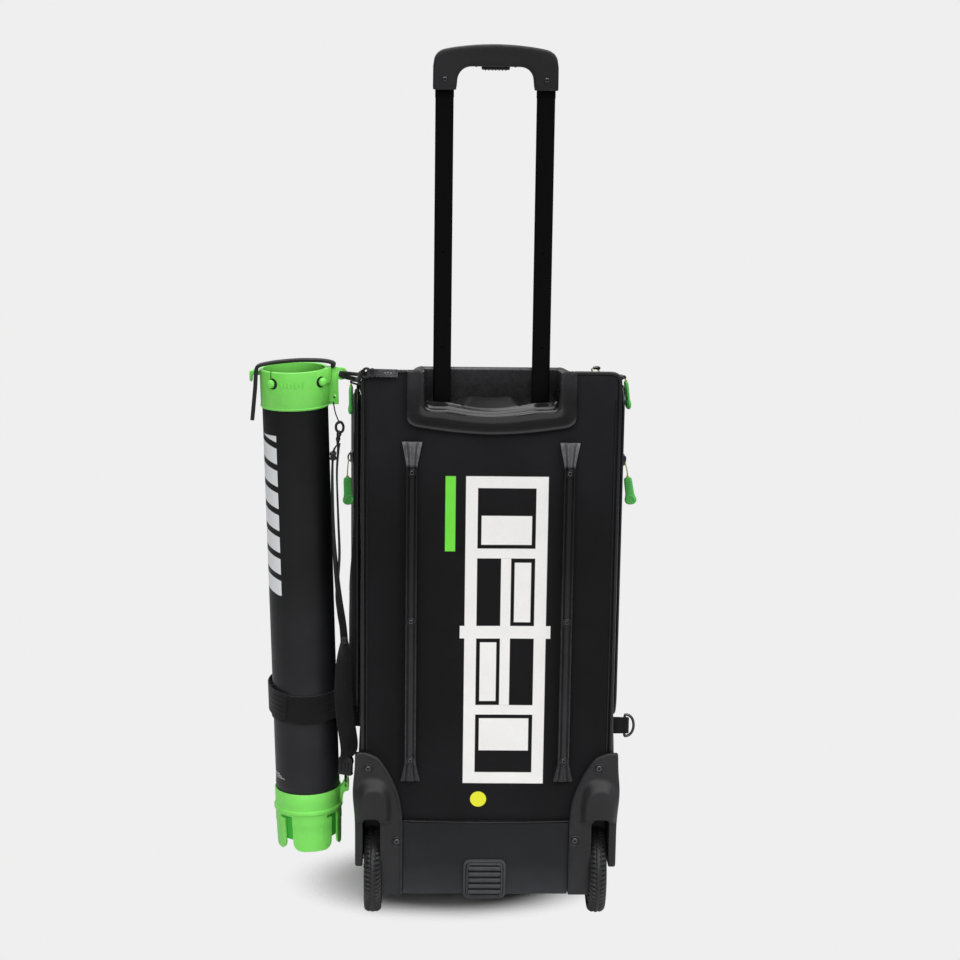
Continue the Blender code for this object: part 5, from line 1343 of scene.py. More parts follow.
    # a plain row of moulded bars where the mark was
    for k in range(7):
        a = math.radians(-19 + 6 * k)
        h = 0.0034 if k % 2 == 0 else 0.0022
        geo.add(pipe([(0.0440 * math.sin(a), -0.0440 * math.cos(a), 0.6262 - h), (0.0441 * math.sin(a), -0.0441 * math.cos(a), 0.6262), (0.0440 * math.sin(a), -0.0440 * math.cos(a), 0.6262 + h)], 0.0010, 8), 0)
    for z in (0.5950,):
        geo.add(pipe([(0.0438 * math.cos(2 * math.pi * k / 96), 0.0438 * math.sin(2 * math.pi * k / 96), z) for k in range(96)], 0.0008, 8, closed=True), 0)
    make("collar", geo, [GREEN, FOOT_RUBBER], "tube_sleeve", TUBE, smooth=40, replaces=("tube_collar",))

    # ---- collector: stepped ring, four wide prongs with hooked slots
    prof = [(0.0422, 0.0788), (0.0425, 0.0800), (0.0432, 0.0802), (0.0437, 0.0796), (0.0437, 0.0640), (0.0436, 0.0600), (0.0438, 0.0570), (0.0450, 0.0562), (0.0455, 0.0552), (0.0455, 0.0520), (0.0450, 0.0510), (0.0440, 0.0502), (0.0436, 0.0480), (0.0438, 0.0400), (0.0437, 0.0345), (0.0431, 0.0330), (0.0429, 0.0200), (0.0424, 0.0060), (0.0420, 0.0008), (0.0412, 0.0), (0.0404, 0.0), (0.0396, 0.0008), (0.0401, 0.0200), (0.0408, 0.0370), (0.0404, 0.0450), (0.0400, 0.0500), (0.0400, 0.0690), (0.0422, 0.0704)]
    body = lathe(prof, 160, ring=True)
    slits = []
    for k in range(4):
        turn = Matrix.Rotation(math.radians(-35 + 90 * k), 4, "Z")
        flare = [(0.0060 + 0.0125 * (1 - math.cos(math.radians(a))), 0.0120 * (1 - math.sin(math.radians(a)))) for a in range(0, 91, 9)]
        gap = [(-0.0060, 0.0446), (-0.0060, 0.0180)] + [(-a, b) for a, b in flare] + [(-0.0185, -0.0100), (0.0185, -0.0100)] + list(reversed(flare)) + [(0.0060, 0.0180), (0.0060, 0.0466), (0.0053, 0.0480), (0.0040, 0.0486), (-0.0118, 0.0486), (-0.0133, 0.0480), (-0.0139, 0.0466), (-0.0133, 0.0452), (-0.0118, 0.0446)]
        slits.append(moved(prism("XZ", [gap], -0.0600, -0.0300, 0.0), turn))
    body = boolean(body, slits)
    geo = Geo().add(body, 0)
    # inner sleeve behind the slots, in a darker copy of the green plastic that paints the shade inside the collector
    geo.add(lathe([(0.0396, 0.0500), (0.0403, 0.0490), (0.0399, 0.0350), (0.0390, 0.0170), (0.0386, 0.0148), (0.0380, 0.0144), (0.0378, 0.0160), (0.0384, 0.0350), (0.0388, 0.0500)], 120, ring=True), 1)
    for k in range(4):
        turn = Matrix.Rotation(math.radians(10 + 90 * k), 4, "Z")
        for d in (-1, 1):
            geo.add(moved(pipe([(d * 0.0120, -0.0413, 0.0322), (d * 0.0112, -0.0409, 0.0180), (d * 0.0100, -0.0404, 0.0060)], [0.0008, 0.0007, 0.0004], 8), turn), 0)
    # arm with its slot, rising towards the bag
    arm = [(p.x, p.z) for p in smooth_path([(0.0430, 0, 0.0600), (0.0430, 0, 0.0760), (0.0446, 0, 0.0775), (0.0480, 0, 0.0835), (0.0502, 0, 0.0888), (0.0536, 0, 0.0893), (0.0545, 0, 0.0880), (0.0545, 0, 0.0745), (0.0534, 0, 0.0722), (0.0496, 0, 0.0712), (0.0474, 0, 0.0685), (0.0462, 0, 0.0620), (0.0452, 0, 0.0555)], 4, closed=True)]
    geo.add(prism("XZ", [arm, rounded([(0.0494, 0.0770, 0.0012), (0.0524, 0.0770, 0.0012), (0.0524, 0.0830, 0.0012), (0.0494, 0.0830, 0.0012)], 3)], -0.0085, 0.0072, 0.0010, 2), 0)
    make("collector", geo, [GREEN, GREEN_PAINTED_SHADE], "pickup_tube", TUBE, smooth=40, replaces=("tube_collector",))

    # ---- touch-tape band low on the barrel, with the tape's end standing off
    rows = []
    for z, lift in ((0.1778, 0.0), (0.1784, 0.0011), (0.1810, 0.0013), (0.1880, 0.0012), (0.1975, 0.0014), (0.2070, 0.0012), (0.2140, 0.0013), (0.2158, 0.0011), (0.2164, 0.0)):
        rows.append([((0.0433 + lift + 0.0003 * wob(math.cos(a), math.sin(a), z, 3.0)) * math.cos(a), (0.0433 + lift + 0.0003 * wob(math.cos(a), math.sin(a), z, 3.0)) * math.sin(a), z + 0.0006 * math.sin(2 * a + 0.6)) for a in [2 * math.pi * k / 120 for k in range(120)]])
    rows = rows + [[(p[0] * 0.0427 / math.hypot(p[0], p[1]), p[1] * 0.0427 / math.hypot(p[0], p[1]), p[2]) for p in r] for r in rows[::-1]]
    band = grid(rows, cu=True, cv=True, uvs=lambda i, k: (0.0445 * 2 * math.pi * k / 120, 0.0042 * i))
    geo = Geo().add(band, 0)
    wrap = []
    for a in range(150, 241, 5):
        r = 0.0462 + 0.0032 * max(0.0, (205 - a) / 55) ** 1.6
        wrap.append((r * math.cos(math.radians(a)), r * math.sin(math.radians(a)), 0.2010 + 0.0080 * (240 - a) / 90))
    geo.add(ribbon(wrap, (0, 0, 1), 0.0360, 0.0020), 0)
    tab = [(0.0440 * math.cos(math.radians(a)), 0.0440 * math.sin(math.radians(a)), 0.197) for a in (-50, -40, -30)] + [(0.0440, -0.0140, 0.197), (0.0490, -0.0080, 0.197), (0.0538, -0.0020, 0.197), (0.0540, 0.0060, 0.197), (0.0490, 0.0110, 0.197), (0.0436, 0.0150, 0.197)]
    geo.add(ribbon(smooth_path(tab, 5), (0, 0, 1), 0.0370, 0.0022), 0)
    # square loop and box stitching on the tab
    geo.add(pipe(smooth_path([(0.0545, -0.0035, 0.1810), (0.0545, -0.0035, 0.2130), (0.0545, 0.0045, 0.2130), (0.0545, 0.0045, 0.1810)], 4, closed=True), 0.0011, 8, closed=True), 1)
    for z in (0.1800, 0.2140):
        geo.add(stitches([(0.0462 * math.cos(math.radians(a)), 0.0462 * math.sin(math.radians(a)), z) for a in range(245, 400, 5)], lambda p: (p.x, p.y, 0)), 0)
    make("tape_band", geo, [HOOK_TAPE, BLACK_PLASTIC], "pickup_tube", TUBE, replaces=("cinch_strap",))

    # ---- three short fine marks low on the barrel
    geo = Geo()
    for a0, a1, z in ((-78, -56, 0.1035), (-78, -50, 0.1010), (-70, -42, 0.0985)):
        pts = [(0.0421 * math.sin(math.radians(a0 + (a1 - a0) * k / 12)), -0.0421 * math.cos(math.radians(a0 + (a1 - a0) * k / 12)), z) for k in range(13)]
        geo.add(pipe(pts, 0.00042, 6), 0)
    make("barrel_marks", geo, PRINT_WHITE, "tube_sleeve", TUBE)

    # ---- retainer over the mouth: rubber strap hinged at the bag side, its tail hanging down the far side
    line = smooth_path([(0.0470, 0, 0.6440), (0.0512, -0.0004, 0.6442), (0.0502, -0.0010, 0.6470), (0.0420, -0.0018, 0.6496), (0.0290, -0.0030, 0.6512), (0.0050, -0.0052, 0.6520), (-0.0200, -0.0080, 0.6508), (-0.0350, -0.0104, 0.6490), (-0.0432, -0.0118, 0.6472), (-0.0466, -0.0126, 0.6438), (-0.0478, -0.0130, 0.6370), (-0.0492, -0.0134, 0.6200), (-0.0516, -0.0138, 0.6000), (-0.0544, -0.0140, 0.5775)], 7)
    rows = []
    n = len(line)
    _, tans = tangents(line)
    for i, (p, t) in enumerate(zip(line, tans)):
        f = i / (n - 1)
        w = 0.0064 if f < 0.60 else 0.0064 - 0.0022 * min(1.0, (f - 0.60) / 0.10)
        if f > 0.985:
            w *= 0.7
        th = 0.0018 + (0.0006 if f < 0.06 else 0.0) + 0.0006 * max(0.0, min(1.0, (f - 0.60) / 0.08))
        nrm = Vector((-t.z, 0, t.x))
        rows.append([p + Vector((0, 1, 0)) * a * w + nrm * b * th for a, b in ((-0.9, -1), (0, -1), (0.9, -1), (1, -0.6), (1, 0.6), (0.9, 1), (0.55, 1), (0.5, 0.72), (0, 0.72), (-0.5, 0.72), (-0.55, 1), (-0.9, 1), (-1, 0.6), (-1, -0.6))])
    geo = Geo().add(grid(rows, cu=True, cap0=True, cap1=True), 0)
    geo.add(moved(lathe([(0.0, 0.0084), (0.0014, 0.0084), (0.0017, 0.0080), (0.0017, -0.0080), (0.0014, -0.0084), (0.0, -0.0084)], 20), at(0.0512, 0, 0.6444, "Y")), 0)
    for k in range(4):
        p = line[int(n * 0.90) - k * 3]
        geo.add(moved(lathe([(0.0, 0.0006), (0.0012, 0.0004), (0.0015, 0.0), (0.0012, -0.0004), (0.0, -0.0006)], 14), Matrix.Translation((p.x - 0.0020, p.y, p.z)) @ ALONG["-X"]), 0)
    make("retainer", geo, FOOT_RUBBER, "retainer", TUBE, replaces=("retainer_strap",))

    # ---- carry strap between tube and bag: cord and snap hook, two thin strands seen on edge, then a broad end with its buckle
    def strand(points, width, thick, sides, at_end=None):
        path = smooth_path(points, 8)
        side = []
        for k in range(len(path)):
            f = k / (len(path) - 1) * (len(sides) - 1)
            a, b = sides[int(f)], sides[min(len(sides) - 1, int(f) + 1)]
            ang = math.radians(a + (b - a) * (f - int(f)))
            side.append((math.sin(ang), math.cos(ang), 0.0))
        return ribbon(path, side, width, thick)

    geo = Geo()
    y0, y2 = -0.0300, -0.0460
    geo.add(strand([(0.0545, y0, 0.5480), (0.0492, y0 - 0.002, 0.5400), (0.0474, y0 - 0.004, 0.5280), (0.0462, y0 - 0.006, 0.5030), (0.0456, y0 - 0.008, 0.4500), (0.0470, y0 - 0.010, 0.4000), (0.0505, y0 - 0.012, 0.3500), (0.0545, y0 - 0.014, 0.3130), (0.0560, y2, 0.2900)], 0.0100, 0.0013, (10, 12, 8, 14, 20, 35, 60, 75)), 0)
    geo.add(strand([(0.0556, y0 + 0.001, 0.5480), (0.0542, y0, 0.5360), (0.0520, y0 - 0.002, 0.5060), (0.0522, y0 - 0.004, 0.4500), (0.0524, y0 - 0.006, 0.4020), (0.0482, y0 - 0.009, 0.3560), (0.0505, y0 - 0.012, 0.3300), (0.0548, y0 - 0.014, 0.3040), (0.0560, y2 + 0.002, 0.2850)], 0.0090, 0.0012, (20, 12, 6, 10, 16, 30, 50, 70)), 0)
    geo.add(strand([(0.0556, y2, 0.2960), (0.0548, y2 - 0.001, 0.2700), (0.0530, y2 - 0.002, 0.2350), (0.0534, y2 - 0.001, 0.2050), (0.0556, y2, 0.1760), (0.0582, y2 + 0.002, 0.1500), (0.0568, y2 + 0.006, 0.1360), (0.0520, y2 + 0.012, 0.1250)], 0.0240, 0.0016, (12, 50, 70, 72, 74, 60, 40)), 0)
    for f in (-0.0105, 0.0105):
        geo.add(stitches([(0.0548 + f, y2 - 0.0030, 0.2660), (0.0530 + f, y2 - 0.0044, 0.2350), (0.0528 + f, y2 - 0.0044, 0.2050), (0.0536 + f, y2 - 0.0030, 0.1760)], (0, -1, 0)), 0)
    # sliders on the strands
    for x, y, z in ((0.0480, y0 - 0.004, 0.5330), (0.0556, y2 - 0.0005, 0.2930)):
        geo.add(block((x - 0.0034, x + 0.0034), (y - 0.0062, y + 0.0062), (z - 0.0050, z + 0.0050), 0.0012, 3), 1)
        for d in (-0.0030, 0.0030):
            geo.add(block((x - 0.0042, x + 0.0042), (y - 0.0056, y + 0.0056), (z + d - 0.0009, z + d + 0.0009), 0.0004, 2), 1)
    # cord down from the web, snap hook
    geo.add(pipe(smooth_path([(0.0492, -0.0110, 0.5985), (0.0500, -0.0125, 0.5930), (0.0520, -0.0190, 0.5850), (0.0552, -0.0260, 0.5780), (0.0568, y0, 0.5735)], 6), 0.0008, 8), 0)
    loop = smooth_path([(0.0568, y0, 0.5760), (0.0530, y0, 0.5725), (0.0528, y0, 0.5665), (0.0560, y0, 0.5625), (0.0606, y0, 0.5640), (0.0620, y0, 0.5695), (0.0602, y0, 0.5745)], 6, closed=True)
    geo.add(pipe(loop, 0.0017, 10, closed=True), 1)
    geo.add(pipe(smooth_path([(0.0575, y0, 0.5640), (0.0560, y0, 0.5600), (0.0548, y0, 0.5540), (0.0540, y0, 0.5460)], 5), [0.0030, 0.0034, 0.0032, 0.0028, 0.0030, 0.0034, 0.0030, 0.0026, 0.0024, 0.0028, 0.0030, 0.0026, 0.0022, 0.0018, 0.0016, 0.0014][:16], 12), 1)
    # side-release buckle under the broad end, its tongue through the collector's arm
    buckle = smooth_path([(-0.0085, 0, 0.0), (-0.0095, 0, 0.0040), (-0.0090, 0, 0.0130), (-0.0100, 0, 0.0190), (-0.0070, 0, 0.0250), (0.0070, 0, 0.0250), (0.0100, 0, 0.0190), (0.0090, 0, 0.0130), (0.0095, 0, 0.0040), (0.0085, 0, 0.0)], 4, closed=True)
    shape = soften(prism("XZ", [(p.x, p.z) for p in buckle], -0.0036, 0.0036, 0.0), 0.0009, 4)
    geo.add(moved(shape, Matrix.Translation((0.0514, -0.0310, 0.1040)) @ Matrix.Rotation(math.radians(-16), 4, "Z") @ Matrix.Rotation(math.radians(5), 4, "Y")), 1)
    for d in (-0.0045, 0.0, 0.0045):
        geo.add(moved(pipe([(d, -0.0038, 0.0060), (d, -0.0040, 0.0120), (d, -0.0038, 0.0180)], 0.0007, 6), Matrix.Translation((0.0514, -0.0310, 0.1040)) @ Matrix.Rotation(math.radians(-16), 4, "Z") @ Matrix.Rotation(math.radians(5), 4, "Y")), 1)
    geo.add(strand([(0.0515, -0.0310, 0.1080), (0.0512, -0.0280, 0.0990), (0.0509, -0.0180, 0.0900), (0.0509, -0.0060, 0.0838), (0.0509, 0.0030, 0.0850), (0.0512, -0.0060, 0.0925), (0.0514, -0.0200, 0.1010), (0.0515, -0.0300, 0.1100)], 0.0024, 0.0016, (90, 90)), 0)
    strap = make("carry_strap", geo, [HOOK_TAPE, BLACK_PLASTIC], None, TUBE, replaces=("shoulder_strap",))
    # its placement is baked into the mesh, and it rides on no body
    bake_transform(strap)

    # ---- hanger: from the collar's eye through a ring, its flat end lying along the top rear edge of the bag
    tube_to_bag = BAG.inverted() @ TUBE
    eye = tube_to_bag @ Vector((0.0605, -0.0010, 0.6330))
    geo = Geo()
    geo.add(pipe(smooth_path([eye + Vector((-0.0010, 0.0052, 0.0002)), eye + Vector((0.0006, -0.0050, -0.0020)), (-0.1700, -0.1120, 0.7160), (-0.1680, -0.1300, 0.7190), (-0.1650, -0.1480, 0.7260), (-0.1615, -0.1540, 0.7310)], 6), 0.0029, 12), 0)
    geo.add(pipe(smooth_path([eye + Vector((-0.0010, 0.0052, 0.0002)), eye + Vector((0.0026, -0.0060, 0.0020)), (-0.1688, -0.1140, 0.7230), (-0.1652, -0.1330, 0.7280), (-0.1620, -0.1500, 0.7330), (-0.1608, -0.1540, 0.7340)], 6), 0.0025, 12), 0)
    loop = smooth_path([(-0.1618, -0.1536, 0.7284), (-0.1578, -0.1548, 0.7266), (-0.1536, -0.1552, 0.7280), (-0.1528, -0.1552, 0.7334), (-0.1552, -0.1546, 0.7374), (-0.1600, -0.1534, 0.7362)], 5, closed=True)
    geo.add(pipe(loop, 0.0016, 10, closed=True), 1)
    flat = smooth_path([(-0.1562, -0.1562, 0.7326), (-0.1520, -0.1556, 0.7324), (-0.1440, -0.1548, 0.7321), (-0.1300, -0.1545, 0.7318), (-0.1178, -0.1545, 0.7316)], 6)
    geo.add(ribbon(flat, (0, 0.25, 1), 0.0102, 0.0024), 2)
    under = smooth_path([(-0.1562, -0.1536, 0.7324), (-0.1500, -0.1530, 0.7322), (-0.1300, -0.1526, 0.7318), (-0.1200, -0.1526, 0.7316)], 6)
    geo.add(ribbon(under, (0, 0.25, 1), 0.0098, 0.0016), 0)
    geo.add(block((-0.1520, -0.1478), (-0.1572, -0.1536), (0.7264, 0.7382), 0.0010, 3), 1)
    for x in (-0.1440, -0.1198):
        geo.add(stitches([(x, -0.1560, 0.7280), (x, -0.1560, 0.7360)], (0, -1, 0)), 3)
    for k in range(3):
        geo.add(block((-0.1345 + 0.0035 * k, -0.1329 + 0.0035 * k), (-0.1562, -0.1556), (0.7306, 0.7332), 0.0002, 1), 3)
    make("hanger", geo, [WEBBING, BLACK_PLASTIC, BEZEL, RIM_SILVER], "tube_sleeve", replaces=("hanger_strap",))


tube_parts()


# ================================================================== D-ring, dock and zip pulls
def fittings():
    rx, ry, rz = 0.1835, -0.1000, 0.2530
    loop = [(rx, ry, rz - 0.0138), (rx, ry, rz), (rx, ry, rz + 0.0138)] + [(rx + 0.0022 + 0.0096 * math.sin(math.radians(a)), ry, rz + 0.0146 * math.cos(math.radians(a))) for a in range(12, 180, 8)]
    make("d_ring", pipe(smooth_path(loop, 4, closed=True), 0.0018, 14, closed=True), DARK_STEEL, "ring", replaces=("dring",))
    path = smooth_path([(0.1600, ry, rz - 0.0010), (0.1720, ry, rz - 0.0020), (0.1812, ry, rz - 0.0016), (0.1868, ry, rz - 0.0018), (0.1884, ry, rz), (0.1868, ry, rz + 0.0018), (0.1812, ry, rz + 0.0016), (0.1720, ry, rz + 0.0022), (0.1600, ry, rz + 0.0022)], 5)
    # the fold goes round the ring's straight side, width along Z
    fold = [(p.x, ry + (p.z - rz) * 1.35, rz) for p in path]
    geo = Geo().add(ribbon(fold, (0, 0, 1), 0.0210, 0.0013), 0)
    for z in (rz - 0.0085, rz + 0.0085):
        geo.add(stitches([(0.1670, ry - 0.0036, z), (0.1785, ry - 0.0036, z)], (0, -1, 0)), 0)
    make("d_ring_tab", geo, WEBBING, "bag", replaces=("dring_tab",))

    path = smooth_path([(-0.1640, -0.1000, 0.2580), (-0.1720, -0.0990, 0.2600), (-0.1790, -0.1010, 0.2640), (-0.1808, -0.0940, 0.2700), (-0.1808, -0.0820, 0.2745), (-0.1806, -0.0700, 0.2720), (-0.1780, -0.0630, 0.2640), (-0.1700, -0.0650, 0.2590), (-0.1640, -0.0660, 0.2580)], 5)
    geo = Geo().add(ribbon([(p.x, p.y, 0.2750) for p in path], (0, 0, 1), 0.0500, 0.0017), 0)
    geo.add(block((-0.1826, -0.1800), (-0.0960, -0.0680), (0.2530, 0.2970), 0.0012, 3), 1)
    for z in (0.2585, 0.2915):
        geo.add(stitches([(-0.1828, -0.0940, z), (-0.1828, -0.0700, z)], (-1, 0, 0)), 0)
    make("tube_dock_loop", geo, [WEBBING, BLACK_PLASTIC], "bag", replaces=("tube_dock",))

    pulls = {"left_upper": (-0.1775, -0.1120, 0.7130, 0.0060, -0.1775, 10, 0), "left_lower": (-0.1812, -0.1000, 0.6100, 0.0240, -0.1826, 68, -3), "right_upper": (0.1716, -0.0950, 0.7190, 0.0060, 0.1728, 14, -7), "right_lower": (0.1746, -0.1000, 0.6080, 0.0195, 0.1780, 80, -9)}
    for name, (x, y, z, cord, cx, turn, tilt) in pulls.items():
        section = [(math.cos(2 * math.pi * k / 24), math.sin(2 * math.pi * k / 24)) for k in range(24)]
        stations = [(0.0008, 0.0018, 0.55), (0.0, 0.0034, 0.85), (-0.0012, 0.0044, 1.0), (-0.0060, 0.0047, 1.0), (-0.0130, 0.0049, 1.0), (-0.0200, 0.0050, 1.0), (-0.0245, 0.0056, 1.0), (-0.0275, 0.0066, 1.0), (-0.0305, 0.0068, 1.0), (-0.0330, 0.0060, 0.95), (-0.0350, 0.0038, 0.80), (-0.0357, 0.0016, 0.45)]
        body = grid([[(0.0021 * f * math.copysign(abs(b) ** 0.6, b), 1.14 * w * math.copysign(abs(a) ** 0.8, a), dz) for a, b in section] for dz, w, f in stations], cu=True, cap0=True, cap1=True)
        parts = Geo().add(body, 0)
        parts.add(moved(lathe([(0.0040, -0.0020), (0.0041, 0.0020), (0.0049, 0.0027), (0.0060, 0.0022), (0.0062, 0.0), (0.0060, -0.0022), (0.0049, -0.0027), (0.0041, -0.0020)], 36, ring=True), at(0, 0, -0.0288, "X")), 0)
        for k in range(6):
            for side in (-1, 1):
                zz = -0.0050 - 0.0026 * k
                parts.add(pipe([(side * 0.0019, -0.0032, zz), (side * 0.0024, 0, zz), (side * 0.0019, 0.0032, zz)], 0.0005, 6), 0)
        stand = Matrix.Translation((cx, y, z - cord)) @ Matrix.Rotation(math.radians(tilt), 4, "Y") @ Matrix.Rotation(math.radians(turn if x > 0 else -turn), 4, "Z")
        geo = Geo()
        for shape_v, shape_f in [(parts.v, parts.f)]:
            geo.add(([tuple(stand @ Vector(q)) for q in shape_v], shape_f), 0)
        # two strands of cord from the tab up to the slider's eye
        top = Vector((cx, y, z - cord))
        for d in (-1, 1):
            line = [top + Vector((0, d * 0.0012, -0.0012)), top + Vector(((x - cx) * 0.2, d * 0.0014, cord * 0.4)), Vector((x, y + d * 0.0007, z - 0.0006)), Vector((x, y, z + 0.0006))]
            geo.add(pipe(smooth_path(line, 4), 0.0007, 8), 1)
        geo.add(moved(lathe([(0.0, 0.0014), (0.0016, 0.0010), (0.0019, 0.0), (0.0016, -0.0010), (0.0, -0.0014)], 14), at(cx, y, z - cord + 0.0014)), 1)
        make("pull_" + name, geo, [GREEN_RUBBER, CORD_YELLOW], "pull_" + name, replaces=("zip_pull_" + name,))


fittings()


# ================================================================== fabric body: one sewn shell with its openings
def top_z(y):
    return TOP_REAR - SLOPE * (y + 0.143)


def lines(lo, hi, step, *marks):
    """Even grid lines from lo to hi that also pass through the marks."""
    stops = sorted({lo, hi, *marks})
    out = [stops[0]]
    for a, b in zip(stops, stops[1:]):
        n = max(1, round((b - a) / step))
        out += [a + (b - a) * k / n for k in range(1, n + 1)]
    return out


HALF, REAR, FRONT, LOW, R = 0.1650, -0.1475, 0.1500, 0.1405, 0.019


def shell_point(x, y, z):
    """A point on the sewn body from one on its plain box: corners rounded, the top sloped, the fabric a little slack."""
    q = Vector((max(-HALF + R, min(HALF - R, x)), max(REAR + R, min(FRONT - R, y)), min(TOP_REAR - R, z)))
    d = Vector((x, y, z)) - q
    if d.length > 1e-9:
        u = d.normalized()
        flat = math.hypot(u.x, u.z)
        m = flat / (u.x ** 4 + u.z ** 4) ** 0.25 if flat > 1e-6 else 1.0    # squarer than a quarter circle, seen from behind
        p = q + Vector((u.x * m, u.y, u.z * m)) * R
    else:
        p = Vector((x, y, z))
    t = p.y - REAR                                 # rear corners are turned more tightly than the others
    if t < 0.060:
        p.y = REAR + (0.42 * t if t < R else 0.42 * R + (t - R) * (0.060 - 0.42 * R) / (0.060 - R))
    share = max(0.0, min(1.0, (p.z - 0.56) / (TOP_REAR - 0.56)))
    share = share * share * (3 - 2 * share)
    zz = p.z - SLOPE * max(0.0, p.y + 0.143) * share
    n = d.normalized() if d.length > 1e-9 else Vector((0, 0, 0))
    side = abs(n.x)
    edge = min(1.0, (z - LOW) / 0.05, (FRONT - p.y) / 0.05 if side > 0.5 else 1.0)
    soft = 0.0010 * wob(p.x, p.y, zz, 9.0) + 0.0005 * wob(p.x, p.y, zz, 27.0, 4.0)
    out = -0.0006 + soft
    if side > 0.7 and zz < 0.262:
        out += 0.0026 * math.sin(math.pi * min(1.0, (zz - LOW) / 0.125)) * max(0.0, edge)
    if n.z > 0.7:
        out -= 0.0008
    return Vector((p.x, p.y, zz)) + n * out


def shell():
    xs = lines(-HALF, HALF, 0.0075, -HALF + R, HALF - R, -0.128, 0.128, -0.125, 0.125, -0.0935, 0.0935)
    ys = lines(REAR, FRONT, 0.0075, REAR + R, FRONT - R, -0.0800, -0.064, 0.122)
    zs = lines(LOW, TOP_REAR, 0.0075, TOP_REAR - R, 0.235, 0.600)
    # finer lines where the corners turn
    def finer(v, spans):
        out = list(v)
        for a, b in zip(v, v[1:]):
            if any(a >= lo - 1e-6 and b <= hi + 1e-6 for lo, hi in spans):
                out += [a + (b - a) / 3, a + (b - a) * 2 / 3]
        return sorted(out)
    xs = finer(xs, [(-HALF, -HALF + R), (HALF - R, HALF)])
    ys = finer(ys, [(REAR, REAR + R), (FRONT - R, FRONT)])
    zs = finer(zs, [(TOP_REAR - R, TOP_REAR)])
    verts, index = [], {}

    def vid(x, y, z):
        key = (round(x, 6), round(y, 6), round(z, 6))
        if key not in index:
            index[key] = len(verts)
            verts.append(tuple(shell_point(x, y, z)))
        return index[key]

    faces = []
    for y0, y1 in zip(ys, ys[1:]):
        for z0, z1 in zip(zs, zs[1:]):
            faces.append([vid(-HALF, y1, z0), vid(-HALF, y0, z0), vid(-HALF, y0, z1), vid(-HALF, y1, z1)])
            faces.append([vid(HALF, y0, z0), vid(HALF, y1, z0), vid(HALF, y1, z1), vid(HALF, y0, z1)])
    for x0, x1 in zip(xs, xs[1:]):
        for z0, z1 in zip(zs, zs[1:]):
            if -0.125 < (x0 + x1) / 2 < 0.125 and 0.235 < (z0 + z1) / 2 < 0.600:
                continue
            faces.append([vid(x1, FRONT, z0), vid(x0, FRONT, z0), vid(x0, FRONT, z1), vid(x1, FRONT, z1)])
        for y0, y1 in zip(ys, ys[1:]):
            xm, ym = (x0 + x1) / 2, (y0 + y1) / 2
            if abs(xm) < 0.128 and -0.064 < ym < 0.122:
                continue
            if abs(xm) < 0.0935 and ym < -0.0800:
                continue
            faces.append([vid(x0, y0, TOP_REAR), vid(x1, y0, TOP_REAR), vid(x1, y1, TOP_REAR), vid(x0, y1, TOP_REAR)])
    obj = temp((verts, faces))
    m = obj.modifiers.new("s", "SOLIDIFY")
    m.thickness, m.offset, m.use_even_offset = 0.0042, -1.0, True
    body = done(obj)
    geo = Geo().add(body, 0)
    make("sewn_body", geo, FABRIC_SIDE, "bag", replaces=("fabric_body",), smooth=60)

    # bindings: round both openings, along the bottom, along the front and top corner seams
    geo = Geo()
    hem = [shell_point(x, y, LOW) + Vector((0, 0, -0.0004)) for x, y in [(-HALF, REAR)] + [(-HALF, y) for y in ys[1:-1]] + [(-HALF, FRONT)] + [(x, FRONT) for x in xs[1:-1]] + [(HALF, FRONT)] + [(HALF, y) for y in ys[::-1][1:]]]
    geo.add(pipe(hem, 0.0021, 10), 0)
    top_hole = [shell_point(a, b, TOP_REAR) + Vector((0, 0, -0.0016)) for a, b in ring2(rect(-0.1275, 0.1275, -0.0635, 0.1215, 0.0100), 0.005)]
    geo.add(pipe(top_hole, 0.0024, 10, closed=True), 0)
    front_hole = [shell_point(a, FRONT, b) + Vector((0, -0.0022, 0)) for a, b in ring2(rect(-0.1245, 0.1245, 0.2355, 0.5995, 0.0120), 0.005)]
    geo.add(pipe(front_hole, 0.0024, 10, closed=True), 0)
    k = R * (1 - math.sqrt(0.5))
    for s in (-1, 1):
        seam = [shell_point(s * HALF, FRONT, z) + Vector((s * 0.0004, 0.0004, 0)) for z in zs if z <= TOP_REAR - R]
        seam += [shell_point(s * HALF, y, TOP_REAR) + Vector((s * 0.0004, 0, 0.0004)) for y in ys[::-1]]
        geo.add(pipe(seam, 0.0019, 10), 0)
    make("body_piping", geo, PIPING, "bag")


shell()


